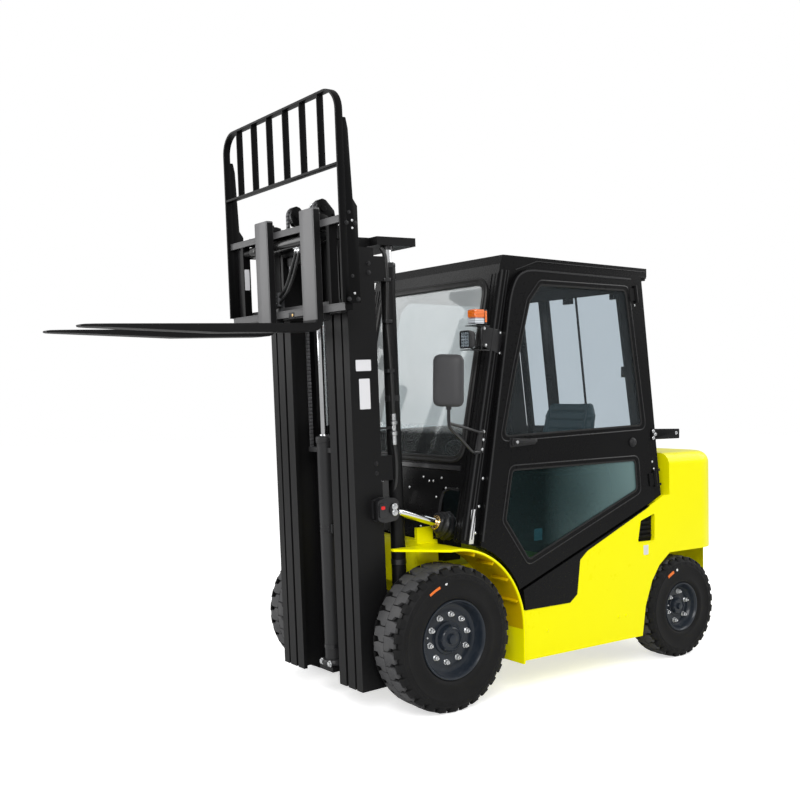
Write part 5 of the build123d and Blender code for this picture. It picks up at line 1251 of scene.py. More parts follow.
def up_front(z: float) -> float:
    """Distance along the raked front, from the windscreen's foot up to a height."""
    return (z - SCREEN_FOOT) / math.cos(RAKE)


def ridge(width: float, height: float, share: float) -> list[tuple[float, float]]:
    """Section of a raised strip, whose top takes up twice a share of its width."""
    return [(-width / 2, -1), (-width * share, height), (width * share, height), (width / 2, -1)]


@dataclass
class Door:
    """Trim, panes, latch and hinge screws of one door."""

    side: Side
    seal_width: float = 13.0

    @property
    def place(self) -> Matrix:
        """The truck's place, mirrored for the right door."""
        return sided(TRUCK, self.side)

    @property
    def body(self) -> str:
        """The CAD body that the door rides on."""
        return f"{self.side.word}_door"

    def bead(
        self, outline: Sequence[Sequence[float]], width: float, height: float, corner: float, x: float,
        name: str, finish: str
    ) -> None:
        """Rounded strip along an outline in the door's plane."""
        path = [(x, y, z) for y, z in rounded(outline, corner, 6)]
        section = [
            (-width / 2, 0.0), (-width * 0.36, height * 0.75), (0.0, height), (width * 0.36, height * 0.75),
            (width / 2, 0.0), (0.0, -1.5),
        ]
        form = Form(self.place).sweep(path, section, True, (1.0, 0.0, 0.0))
        form.piece(name, finish, self.body)

    def build_panes(self) -> None:
        """Put a clear upper pane and a dark lower pane into the door, each in its seal."""
        word = self.side.word
        node = f"door_glass_{word}"
        for label, outline, finish in (
            ("upper", UPPER_PANE, "side_glass"), ("lower", LOWER_PANE, "door_pane")
        ):
            form = Form(self.place).prism("x", rounded(outline, 30, 6), 562.0, 568.0)
            form.piece(f"door_pane_{label}_{word}", finish, self.body, [node])
            self.bead(
                grown(outline, -4), self.seal_width, 5.0, 30, 571.5, f"door_seal_{label}_{word}",
                "black_rubber"
            )
            self.bead(
                grown(outline, 19), 6.0, 3.2, 46, DOOR_OUTSIDE, f"door_ridge_{label}_{word}", "edge_black"
            )

        form = Form(self.place).prism("x", rounded(block((556, 770), (612, 832)), 4, 2), 560.6, 561.6)
        form.piece(f"door_blank_plate_{word}", "blank_label", self.body)

    def build_edge(self) -> None:
        """Run the folded edge round the door's front and top."""
        line = [(196, 800), (390, 1990), (412, 2062), (446, 2118), (500, 2148), (566, 2156), (1286, 2156)]
        path = [(DOOR_OUTSIDE, y, z) for y, z in line[:2]]
        path += [tuple(p) for p in smooth_path([(DOOR_OUTSIDE, y, z) for y, z in line[1:6]], 5)][1:]
        path += [(DOOR_OUTSIDE, 1286, 2156)]
        form = Form(self.place).sweep(
            path, [(-5, 0), (-4, 2.6), (4, 2.6), (5, 0), (0, -1)], up=(1.0, 0.0, 0.0)
        )
        form.piece(f"door_fold_{self.side.word}", "edge_black", self.body)

    def build_latch(self) -> None:
        """Make the pull handle and the round lock."""
        word = self.side.word
        form = Form(self.place)
        form.prism(
            "x", rounded([(384, 1262), (436, 1262), (436, 1302), (384, 1302)], 16), DOOR_OUTSIDE,
            DOOR_OUTSIDE + 13
        )
        form.prism(
            "x", rounded([(376, 1256), (556, 1268), (560, 1294), (376, 1306)], 11), DOOR_OUTSIDE - 1,
            DOOR_OUTSIDE + 2.5
        )
        grip = [(588, 410, 1283), (596, 440, 1283), (598, 490, 1284), (596, 534, 1285), (586, 552, 1286)]
        section = rounded(block((-9, -6), (9, 6)), 5, 3)
        form.sweep(smooth_path(grip, 5), section, up=(1.0, 0.0, 0.0))
        form.disc((DOOR_OUTSIDE + 12, 412, 1283), 17, 7)
        form.bevel(1.2).piece(f"door_handle_{word}", "black_plastic", self.body)
        Form(self.place).disc(
            (DOOR_OUTSIDE + 19, 413, 1283), 8, 3.5
        ).piece(f"door_lock_{word}", "zinc", self.body)
        knob = Form(self.place @ Matrix.Translation((DOOR_OUTSIDE, 1289.0, 1254.0)))
        knob.lathe([(0, 0), (0, 25), (5, 25), (8, 21), (14, 19), (17, 15), (17, 0)], "x", 28)
        knob.piece(f"door_knob_{word}", "black_plastic", self.body)
        dots = [
            seat(
                self.place, (DOOR_OUTSIDE + 12, 1289 + 14 * math.cos(a), 1254 + 14 * math.sin(a)),
                (1, 0, 0), 0.5
            )
            for a in (math.tau * i / 5 for i in range(5))
        ]
        REPEATER.make(f"door_knob_screws_{word}", DOME_HEAD, dots, "zinc", self.body)

    def build_hinges(self) -> None:
        """Put screws and a plate on each hinge."""
        word = self.side.word
        for label, spots in (
            ("upper", ((1330, 2090), (1338, 2052), (1336, 2015))),
            ("lower", ((1477, 1136), (1490, 1096), (1488, 1047)))
        ):
            form = Form(self.place)
            (y0, z0), (y1, z1) = spots[0], spots[-1]
            form.prism(
                "x",
                rounded(
                    [(y0 - 13, z0 + 22), (y0 + 21, z0 + 22), (y1 + 21, z1 - 22), (y1 - 13, z1 - 22)], 7
                ),
                548.0, 552.5
            )
            form.bevel(0.8).piece(f"hinge_plate_{label}_{word}", "cab_black", "chassis")
            seats = [seat(self.place, (552.4, y + 5, z), (1, 0, 0), 0.8) for y, z in spots]
            REPEATER.make(f"hinge_bolts_{label}_{word}", DOME_HEAD, seats, "zinc", "chassis")

    def build(self) -> None:
        """Make all of the door's parts."""
        self.build_panes()
        self.build_edge()
        self.build_latch()
        self.build_hinges()


@dataclass
class Cab:
    """Windscreen surround, pillars, roof edges, lining and small parts fixed to the cab."""

    screen_x: float = 484.0

    def build_windscreen(self) -> None:
        """Set the rubber with its rounded corners, the fillets outside them and the pane."""
        low, high = up_front(SCREEN_FOOT - 12), up_front(2121)
        corner = 85.0
        inset = 19.0
        opening = block((-self.screen_x + inset, low + inset), (self.screen_x - inset, high - inset))
        path = [(x, y, 1.0) for x, y in rounded(opening, corner, 8)]
        section = [
            (-19, -6), (-19, 3), (-15, 8), (-8, 9), (-4, 5), (3, 6), (9, 10), (15, 8), (19, 2), (19, -6),
        ]
        Form(CAB_FRONT).sweep(path, section, True, (0.0, 0.0, 1.0)).piece(
            "windscreen_rubber", "black_rubber", "chassis"
        )
        wide = rounded(opening, corner, 8)
        ring = rounded(grown(opening, 19), 4, 8)
        form = Form(CAB_FRONT).frame("z", ring, wide, -5.0, 0.5)
        form.piece("windscreen_corners", "cab_black", "chassis")
        glass = Form(CAB_FRONT).prism("z", rounded(opening, corner, 8), -9.0, -4.0)
        glass.piece("windscreen_pane", "screen_glass", "chassis", ["windscreen"])

    def build_pillars(self) -> None:
        """Run the folded strips up both front posts."""
        for side in Side:
            place = sided(TRUCK, side)
            form = Form(place)
            for y_shift, x, width, height in ((16, 548, 12, 7.0), (44, 548, 7, 5.0), (63, 548, 5, 3.5)):
                path = [(x, front_y(z) + y_shift, z) for z in (812, 1200, 1700, 2150)]
                form.sweep(path, ridge(width, height, 0.4), up=(1.0, 0.0, 0.0))
            form.piece(f"pillar_strips_{side.word}", "edge_black", "chassis")
            form = Form(sided(CAB_FRONT, side))
            for x, width, height in ((496, 9, 4.0), (520, 14, 3.0), (543, 8, 4.5)):
                path = [(x, v, 0.0) for v in (-385.0, 0.0, 500.0, 960.0)]
                form.sweep(path, ridge(width, height, 0.35), up=(0.0, 0.0, 1.0))
            form.piece(f"pillar_faces_{side.word}", "cab_black", "chassis")
            seats = [
                seat(place, (548.2, y, z), (1, 0, 0), 1.0) for y, z in ((226, 1108), (199, 971), (174, 842))
            ]
            REPEATER.make(f"pillar_bolts_{side.word}", DOME_HEAD, seats, "zinc", "chassis")
        label = [(150, 958), (178, 958), (160, 790), (132, 790)]
        Form(TRUCK).prism("x", rounded(label, 3, 2), 548.0, 549.2).piece(
            "pillar_label", "blank_label", "chassis"
        )

    def build_roof(self) -> None:
        """Fold the roof's edges: drip rail, front corner seams, rear block and the lining below."""
        for side in Side:
            place = sided(TRUCK, side)
            form = Form(place)
            seam = [(549, 452, 2156), (549, 600, 2208), (549, 1440, 2208)]
            form.sweep(seam, [(-3, -1), (-2, 2), (2, 2), (3, -1)], up=(1.0, 0.0, 0.0))
            form.piece(f"roof_seam_{side.word}", "edge_black", "chassis")
            rail = [(543.5, y, z) for y, z in ((352, 2176), (1448, 2176))]
            form = Form(place).sweep(rail, rounded(block((-5, -3), (5, 4)), 2, 2), up=(1.0, 0.0, 0.0))
            form.piece(f"drip_rail_{side.word}", "cab_black", "chassis")
            form = Form(place).prism(
                "x", rounded([(1372, 2182), (1442, 2182), (1442, 2158), (1378, 2158)], 5), 470.0, 546.0
            )
            form.bevel(1.5).piece(f"roof_block_{side.word}", "cab_black", "chassis")
        form = Form(TRUCK)
        for low, high in ((-470, -280), (-190, 0), (90, 280), (370, 470)):
            form.prism("x", rounded([(520, 2226), (1300, 2226), (1280, 2222), (540, 2222)], 1, 1), low, high)
        form.piece("roof_ribs", "cab_black", "chassis")
        form = Form(TRUCK)
        form.box((-506, 380, 2160), (506, 1372, 2179))
        form.box((-506, 1360, 2098), (506, 1374, 2179))
        form.box((-506, 352, 2100), (506, 380, 2179))
        form.bevel(3).piece("roof_lining", "lining_grey", "chassis")

    def build_inside(self) -> None:
        """Line the front and rear posts on their inner faces."""
        for side in Side:
            place = sided(TRUCK, side)
            form = Form(place)
            form.prism(
                "x", [(1246, 2130), (1395, 2130), (1510, 1190), (1398, 1190), (1360, 1420)], 490.0, 507.0
            )
            form.prism(
                "x",
                [(430, 2130), (520, 2130), (400, 1640), (330, 1310), (262, 1100), (250, 1130), (330, 1600)],
                490.0, 507.0
            )
            form.bevel(2).piece(f"post_lining_{side.word}", "lining_grey", "chassis")

    def build_rear_brackets(self) -> None:
        """Bolt the flat bars for the beacon and number plate to the rear posts."""
        for side in Side:
            place = sided(TRUCK, side)
            form = Form(place)
            form.prism(
                "x",
                rounded(
                    [(1478, 1322), (1512, 1322), (1720, 1318), (1720, 1262), (1500, 1262), (1478, 1256)], 6
                ),
                548.0, 554.0
            )
            form.bevel(1).piece(f"rear_bracket_{side.word}", "cab_black", "chassis")
            seats = [
                seat(place, (554.0, y, z), (1, 0, 0), 0.9)
                for y, z in ((1492, 1310), (1508, 1291), (1492, 1271), (1690, 1294))
            ]
            REPEATER.make(f"rear_bracket_bolts_{side.word}", BOLT_HEAD, seats, "zinc", "chassis", 0.5)

    def build_front_panel(self) -> None:
        """Screw the panel below the windscreen, frame the cylinder openings and fold its top."""
        spots = (
            (-19, 1098), (175, 1098), (228, 1081), (262, 1083), (326, 1102), (68, 1039), (371, 1054),
            (304, 1005),
            (462, 1055), (211, 850), (-300, 1098), (-380, 1000), (-250, 860), (-180, 1060), (-420, 1080),
        )
        seats = []
        for x, z in spots:
            seats.append(seat(CAB_FRONT, (x, up_front(z), 0.2), (0, 0, 1), 0.85, (1, 0, 0)))
        REPEATER.make("panel_bolts", DOME_HEAD, seats, "zinc", "chassis")
        form = Form(CAB_FRONT)
        form.sweep(
            [(x, -36.0, 0.0) for x in (-470, 0, 470)], [(-16, -1), (-12, 7), (10, 9), (14, 2), (14, -1)],
            up=(0.0, 0.0, 1.0)
        )
        form.piece("panel_fold", "edge_black", "chassis")
        for side in Side:
            place = sided(CAB_FRONT, side)
            low, high = up_front(800), up_front(800) + 258
            path = [
                (346.0, low, 0.0), (346.0, high - 60, 0.0), (356.0, high - 22, 0.0), (392.0, high, 0.0),
                (478.0, high, 0.0)
            ]
            form = Form(place).sweep(path, [(-7, -1), (-5, 5), (6, 5), (8, -1)], up=(0.0, 0.0, 1.0))
            form.piece(f"opening_rim_{side.word}", "edge_black", "chassis")

    def build(self) -> None:
        """Make all of the cab's parts."""
        self.build_windscreen()
        self.build_pillars()
        self.build_roof()
        self.build_inside()
        self.build_rear_brackets()
        self.build_front_panel()


@dataclass
class RearWindow:
    """Sliding rear window: bars, catches and pane, over the CAD frame."""

    bars: tuple[tuple[float, float], ...] = ((-273.0, -185.0), (41.0, 49.0))

    def build(self) -> None:
        """Make the bars, the catches and the pane."""
        form = Form(TRUCK)
        for low, high in self.bars:
            form.prism(
                "x", [(c_post_y(z) - d, z) for z, d in ((1232, 6), (2108, 6), (2108, 20), (1232, 20))], low,
                high
            )
        for x, z in ((-20, 2086), (357, 2086)):
            y = c_post_y(z)
            form.box((x - 38, y - 22, z - 18), (x + 38, y - 6, z + 20))
        y = c_post_y(1649)
        form.box((358, y - 26, 1618), (436, y - 8, 1680))
        form.bevel(1.5).piece("rear_window_bars", "cab_black", "rear_window")
        form = Form(TRUCK)
        corners = [(c_post_y(z) - d, z) for z, d in ((1236, 10), (2104, 10), (2104, 14), (1236, 14))]
        form.prism("x", corners, -430.0, 430.0).piece(
            "rear_window_pane", "side_glass", "rear_window", ["rear_window_glass"]
        )


def build_cab() -> None:
    """Make the cab with its doors."""
    Cab().build()
    RearWindow().build()
    for side in Side:
        Door(side).build()


@dataclass
class LampGroup:
    """Turn lamp, work lamp and their folded bracket on one front post."""

    side: Side

    @property
    def place(self) -> Matrix:
        """The truck's place, mirrored for the right side."""
        return sided(TRUCK, self.side)

    def build_bracket(self) -> None:
        """Make the folded bracket, over the CAD one."""
        word = self.side.word
        form = Form(self.place)
        form.prism(
            "x", rounded([(222, 1766), (300, 1763), (320, 1742), (342, 1742), (346, 1846), (226, 1860)], 5),
            548.0, 553.0
        )
        form.prism("x", rounded([(224, 1762), (352, 1722), (356, 1842), (232, 1862)], 4), 549.0, 553.5)
        form.prism(
            "z", [(548, 226), (553, 226), (604, 176), (604, 172), (600, 172), (548, 222)], 1744.0, 1860.0
        )
        form.box((548, 118, 1856), (606, 226, 1860))
        form.box((548, 84, 1738), (606, 226, 1742))
        form.bevel(1.0).piece(f"lamp_bracket_{word}", "edge_black", "chassis", ["lamp_brackets"])
        spots = ((237, 1850), (344, 1832), (338, 1730), (246, 1768))
        seats = [seat(self.place, (553.6, y, z), (1, 0, 0), 0.9) for y, z in spots]
        seats.append(seat(self.place, (577, 172, 1742), (0, 0, -1), 0.9))
        seats.append(seat(self.place, (577, 118, 1742), (0, 0, -1), 0.9))
        REPEATER.make(f"lamp_bolts_{word}", DOME_HEAD, seats, "zinc", "chassis")

    def build_turn_lamp(self) -> None:
        """Make the two-colour lens on its black base."""
        word = self.side.word
        x0, x1 = 545.0, 607.0
        upper = Form(self.place)
        lens = rounded(block((x0, 1897), (x1, 1939)), 9, 4)
        upper.skin([upper.ring((x, y, z) for x, z in outline) for y, outline in (
            (192, lens), (140, lens), (134, grown(lens, -5))
        )])
        upper.piece(f"turn_lens_amber_{word}", "amber_lens", "chassis", ["turn_lamps"])
        lower = Form(self.place)
        lens = rounded(block((x0 + 1, 1868), (x1 - 1, 1896.6)), 7, 4)
        lower.skin([lower.ring((x, y, z) for x, z in outline) for y, outline in (
            (192, lens), (142, lens), (136, grown(lens, -4))
        )])
        lower.piece(f"turn_lens_clear_{word}", "clear_lens", "chassis")
        base = Form(self.place).prism("y", rounded(block((x0 - 1, 1864), (x1 + 1, 1940)), 8), 192.0, 210.0)
        base.box((566, 170, 1860), (588, 200, 1866))
        base.bevel(1.2).piece(f"turn_base_{word}", "black_plastic", "chassis")
        Form(self.place).prism("x", rounded(block((194, 1876), (206, 1932)), 4), 607.6, 609.5).piece(
            f"turn_side_{word}", "amber_lens", "chassis"
        )

    def build_work_lamp(self) -> None:
        """Make the square lamp: finned housing, bezel, faceted reflector and clear glass."""
        word = self.side.word
        x0, x1, z0, z1 = 556.0, 632.0, 1746.0, 1832.0
        face = rounded(block((x0, z0), (x1, z1)), 13, 4)
        form = Form(self.place)
        form.frame("y", face, grown(face, -6), 76.0, 88.0)
        form.skin([form.ring((x, y, z) for x, z in outline) for y, outline in (
            (88, face), (106, grown(face, -3)), (120, grown(face, -13)), (126, grown(face, -22))
        )])
        for i in range(7):
            z = z0 + 14 + i * 10
            form.box((x0 + 12, 104, z), (x1 - 12, 130, z + 2.6))
        form.bevel(0.8).piece(f"work_lamp_body_{word}", "black_plastic", "chassis", ["work_lamps"])
        cells = [
            seat(self.place, (x0 + 15 + 15.4 * i, 86.5, z0 + 14 + 14.6 * j), (0, -1, 0), 1.0)
            for i in range(4) for j in range(5)
        ]
        cup = item_mesh(
            f"reflector_cup_{word}",
            lambda f: f.lathe([(0, 0), (0, 2.2), (5.2, 7.4), (6.2, 7.4), (0.2, 0.1)], "z", 12)
        )
        REPEATER.make(f"work_lamp_cups_{word}", cup, cells, "chrome", "chassis")
        back = Form(self.place).prism("y", grown(face, -6), 86.4, 88.2)
        back.piece(f"work_lamp_back_{word}", "clear_lens", "chassis")
        glass = Form(self.place).prism("y", grown(face, -6), 78.0, 79.6)
        glass.piece(f"work_lamp_glass_{word}", "side_glass", "chassis")
        neck = Form(self.place).tube(
            smooth_path([(586, 118, 1752), (584, 140, 1746), (578, 168, 1752), (570, 200, 1765)]), 4.0
        )
        neck.piece(f"work_lamp_lead_{word}", "black_rubber", "chassis")

    def build(self) -> None:
        """Make the whole group."""
        self.build_bracket()
        self.build_turn_lamp()
        self.build_work_lamp()


@dataclass
class MirrorSet:
    """Outside mirror with its two bent arms on one front post."""

    side: Side
    yaw: float = 28.0
    head_at: Point = (640.0, -60.0, 1592.0)
    stem: tuple[float, float] = (640.0, -62.0)

    def build(self) -> None:
        """Make the housing, the glass, the arms and the foot plate."""
        word = self.side.word
        place = sided(TRUCK, self.side)
        head = turned(self.head_at, (90.0, 0.0, self.yaw), place)
        outline = [(-78, -124), (78, -128), (80, 118), (-74, 124)]
        form = Form(head)
        rings = []
        for depth, grow in (
            (-1.0, -9), (0.0, -3), (6.0, 0), (16.0, -1), (28.0, -7), (37.0, -20), (41.0, -42)
        ):
            shape = rounded(grown(outline, grow), 38, 7)
            rings.append(form.ring((x, y, depth) for x, y in shape))
        form.skin(rings)
        form.piece(f"mirror_head_{word}", "mirror_shell", "chassis", ["mirrors"])
        glass = Form(head).prism("z", rounded(grown(outline, -12), 30, 6), -2.4, -0.6)
        glass.piece(f"mirror_glass_{word}", "mirror_glass", "chassis")
        stem = self.stem
        lower = [
            (stem[0], stem[1], 1478), (stem[0], stem[1], 1390), (stem[0] - 2, stem[1] + 14, 1362),
            (608, 40, 1306), (572, 134, 1247), (560, 160, 1241), (556, 196, 1241),
        ]
        upper = [(stem[0] - 1, stem[1] + 4, 1388), (600, 84, 1360), (562, 184, 1340), (556, 222, 1338)]
        form = Form(place).tube(smooth_path(lower, 6), 8.0, steps=12)
        form.tube(smooth_path(upper, 6), 7.0, steps=12)
        form.disc((stem[0], stem[1], 1452), 13, 24, "z")
        form.piece(f"mirror_arms_{word}", "edge_black", "chassis")
        plate = Form(place).prism(
            "x", rounded([(165, 1226), (232, 1236), (240, 1352), (196, 1348)], 8), 548.0, 553.0
        )
        plate.bevel(1).piece(f"mirror_foot_{word}", "edge_black", "chassis")
        seats = [seat(place, (553, y, z), (1, 0, 0), 0.9) for y, z in ((226, 1300), (218, 1252), (230, 1340))]
        REPEATER.make(f"mirror_bolts_{word}", DOME_HEAD, seats, "zinc", "chassis")


def build_lamps() -> None:
    """Make the lamps and mirrors on both posts."""
    for side in Side:
        LampGroup(side).build()
        MirrorSet(side).build()


PULLEY_X = (-125.0, 125.0)


@dataclass
class Mast:
    """Plates, covers, glands, rings, pulleys and hoses of the mast."""

    side_cylinder: Point = (334.0, -125.0, 0.0)
    free_cylinder: Point = (0.0, -315.0, 0.0)
    clevis_pin: tuple[float, float] = (-210.0, 985.0)

    def build_plates(self) -> None:
        """Add the blank plates on the sides of the outer channels, with the stop and tie bolts."""
        for side in Side:
            place = sided(MAST, side)
            form = Form(place)
            for low, high in (
                ((-357, 1652), (-270, 1705)), ((-342, 1470), (-281, 1615)), ((-360, 2122), (-332, 2192))
            ):
                form.prism("x", rounded(block(low, high), 4, 2), 371.7, 372.8)
            form.piece(f"mast_blank_plates_{side.word}", "blank_label", "mast")
            seats = [seat(place, (308.2, -352, z), (1, 0, 0), 0.9) for z in (2262, 2282)]
            REPEATER.make(f"mast_stop_bolts_{side.word}", BOLT_HEAD, seats, "zinc", "middle_stage", 0.5)
            seats = [
                seat(place, (372.2, -262, z), (1, 0, 0), 1.1) for z in (300, 352, 1160, 1206, 2120, 2164)
            ]
            REPEATER.make(f"mast_tie_bolts_{side.word}", BOLT_HEAD, seats, "black_plastic", "mast", 0.5)

    def build_clevis(self) -> None:
        """Give each tilt clevis its pin, red cap and two screws."""
        for side in Side:
            place = sided(MAST, side)
            pin_y, pin_z = self.clevis_pin
            form = Form(place)
            cover = [
                (-302, 938), (-262, 926), (-196, 932), (-180, 952), (-180, 1020), (-200, 1040),
                (-262, 1046), (-302, 1034)
            ]
            for low, high in ((371.8, 388.0), (412.0, 431.0)):
                form.prism("x", rounded(cover, 20, 5), low, high)
            form.disc((430.5, pin_y, pin_z), 27, 9)
            form.prism(
                "x", rounded([(-298, 952), (-256, 952), (-256, 1020), (-298, 1020)], 12, 4), 431.0, 440.0
            )
            form.bevel(2.5, 3).piece(f"clevis_cover_{side.word}", "edge_black", "mast")
            seats = [seat(place, (439.0, pin_y, z), (1, 0, 0), 1.5) for z in (pin_z - 13, pin_z + 15)]
            REPEATER.make(f"clevis_bolts_{side.word}", BOLT_HEAD, seats, "zinc", "mast", 0.5)
            form = Form(place).prism("x", rounded(block((-290, 992), (-268, 1008)), 6, 4), 440.0, 441.6)
            form.piece(f"clevis_cap_{side.word}", "red_mark", "mast")

    def build_lift_cylinders(self) -> None:
        """Dress the side and middle cylinders with glands, rings, welds and foot collars."""
        for side in Side:
            place = sided(MAST, side) @ Matrix.Translation(self.side_cylinder)
            form = Form(place)
            form.lathe([(2148, 0), (2148, 38), (2156, 41), (2170, 40), (2174, 34), (2174, 0)], "z", 32)
            for z in (700, 1500):
                form.lathe([(z, 36.2), (z + 2, 38), (z + 26, 38), (z + 28, 36.2)], "z", 32)
            form.piece(f"lift_gland_{side.word}", "edge_black", "mast")
            form = Form(place).lathe([(2174, 0), (2174, 27), (2179, 27), (2180, 25), (2180, 0)], "z", 32)
            form.piece(f"lift_wiper_{side.word}", "zinc", "mast")
            form = Form(place)
            form.lathe([(2236, 0), (2236, 30), (2254, 30), (2254.6, 0)], "z", 24)
            form.piece(f"lift_head_{side.word}", "edge_black", "middle_stage")
        place = MAST @ Matrix.Translation(self.free_cylinder)
        form = Form(place)
        form.lathe([(262, 42.2), (263, 45), (281, 45), (282, 42.2)], "z", 36)
        for z in (850, 876):
            form.lathe([(z, 42.2), (z + 1, 43.6), (z + 6, 43.6), (z + 7, 42.2)], "z", 36)
        form.box((36, -14, 846), (60, 14, 890))
        form.piece("free_rings", "edge_black", "inner_stage")
        form = Form(place)
        form.lathe([(1300, 42.2), (1302, 47), (1326, 47), (1332, 42), (1336, 30), (1336, 0)], "z", 36)
        form.lathe([(176, 42), (176, 56), (190, 58), (204, 52), (206, 42)], "z", 36)
        form.bevel(1).piece("free_gland", "barrel_black", "inner_stage")
        form = Form(place).lathe([(1336, 0), (1336, 25), (1342, 24), (1343, 0)], "z", 32)
        form.piece("free_wiper", "zinc", "inner_stage")
        bolts = [seat(MAST, (x, -360.2, 190), (0, -1, 0), 1.5) for x in (-36, 36)]
        REPEATER.make("free_foot_bolts", BOLT_HEAD, bolts, "zinc", "inner_stage", 0.4)

    def build_crosshead(self) -> None:
        """Put the black two-plate pulley brackets, crosshead and lifting eye over the CAD rod head."""
        rod = Form(MAST @ Matrix.Translation(self.free_cylinder))
        rod.lathe([(1182, 0), (1182, 19), (2401, 19), (2401, 0)], "z", 40)
        rod.piece("free_rod", "chrome", "crosshead", ["free_lift_rod"])
        form = Form(MAST)
        form.prism("z", rounded(block((-104, -345), (104, -290)), 9), 2402.0, 2430.0)
        form.prism("z", rounded(block((-145, -322), (145, -290)), 9), 2402.0, 2430.0)
        outline = [
            (-375, 2402), (-289, 2402), (-295, 2446), (-342, 2496), (-362, 2502), (-384, 2494),
            (-390, 2462), (-384, 2430)
        ]
        for centre in PULLEY_X:
            for x0 in (centre - 20, centre + 12):
                form.prism("x", rounded(outline, 12, 4), x0, x0 + 8)
            for x0 in (centre - 24, centre + 20):
                form.disc((x0 + 2, -360, 2450), 15, 8)
        form.bevel(1.6).piece("crosshead_plates", "cab_black", "crosshead")
        for centre in PULLEY_X:
            wheel = Form(MAST @ Matrix.Translation((centre, -360.0, 2450.0)))
            wheel.lathe(
                [(-9, 0), (-9, 36), (-7.5, 37), (-6.5, 34), (6.5, 34), (7.5, 37), (9, 36), (9, 0)], "x", 40
            )
            wheel.piece(f"pulley_{'right' if centre < 0 else 'left'}", "zinc", "crosshead")
        eye = Form(MAST @ Matrix.Translation((0.0, -330.0, 2432.0)))
        loop = [
            (34 * math.cos(a), 0.0, 30 + 34 * math.sin(a)) for a in (math.tau * i / 24 for i in range(24))
        ]
        eye.tube(loop, 7.5, closed=True, steps=10)
        eye.lathe([(-2, 0), (-2, 22), (4, 22), (7, 14), (7, 0)], "z", 20)
        eye.piece("lifting_eye", "zinc", "crosshead")
        spots = ((0, -315, 2.2), (-70, -312, 1.2), (70, -312, 1.2))
        nuts = [seat(MAST, (x, y, 2430.2), (0, 0, 1), size) for x, y, size in spots]
        REPEATER.make("crosshead_nuts", BOLT_HEAD, nuts, "zinc", "crosshead", 0.3)

    def build_hoses(self) -> None:
        """Run the lift hose of each side cylinder down behind its channel, with its couplings and clips."""
        for side in Side:
            place = sided(MAST, side)
            route = [
                (352, -172, 2244), (362, -156, 2200), (360, -150, 2060), (352, -152, 1900),
                (360, -150, 1740), (366, -148, 1600), (366, -146, 1440),
            ]
            form = Form(place).tube(smooth_path(route, 8), 11, steps=14)
            lower = [(366, -146, 1290), (372, -142, 1210), (362, -140, 1120), (348, -146, 1060)]
            form.tube(smooth_path(lower, 8), 11, steps=14)
            form.piece(f"lift_hose_{side.word}", "hose_black", "mast")
            form = Form(place)
            for z, radius, length in (
                (1440, 13, -34), (1404, 17, -18), (1386, 12, -30), (1354, 17, -20), (1334, 13, -46)
            ):
                form.disc((366, -146, z), radius, length, "z", 18)
            form.piece(f"lift_couplings_{side.word}", "zinc", "mast")
            form = Form(place)
            for z in (2080, 1880, 1640):
                form.prism("z", rounded(block((340, -176), (378, -134)), 8, 3), z, z + 16)
            form.box((352, -232, 1366), (360, -150, 1378))
            form.bevel(1.2).piece(f"lift_clips_{side.word}", "edge_black", "mast")
            seats = [seat(place, (378.2, -155, 1372), (1, 0, 0), 1.0)]
            REPEATER.make(f"lift_clip_bolts_{side.word}", BOLT_HEAD, seats, "zinc", "mast", 0.5)

    def build(self) -> None:
        """Make all of the mast's parts."""
        self.build_hoses()
        self.build_plates()
        self.build_clevis()
        self.build_lift_cylinders()
        self.build_crosshead()


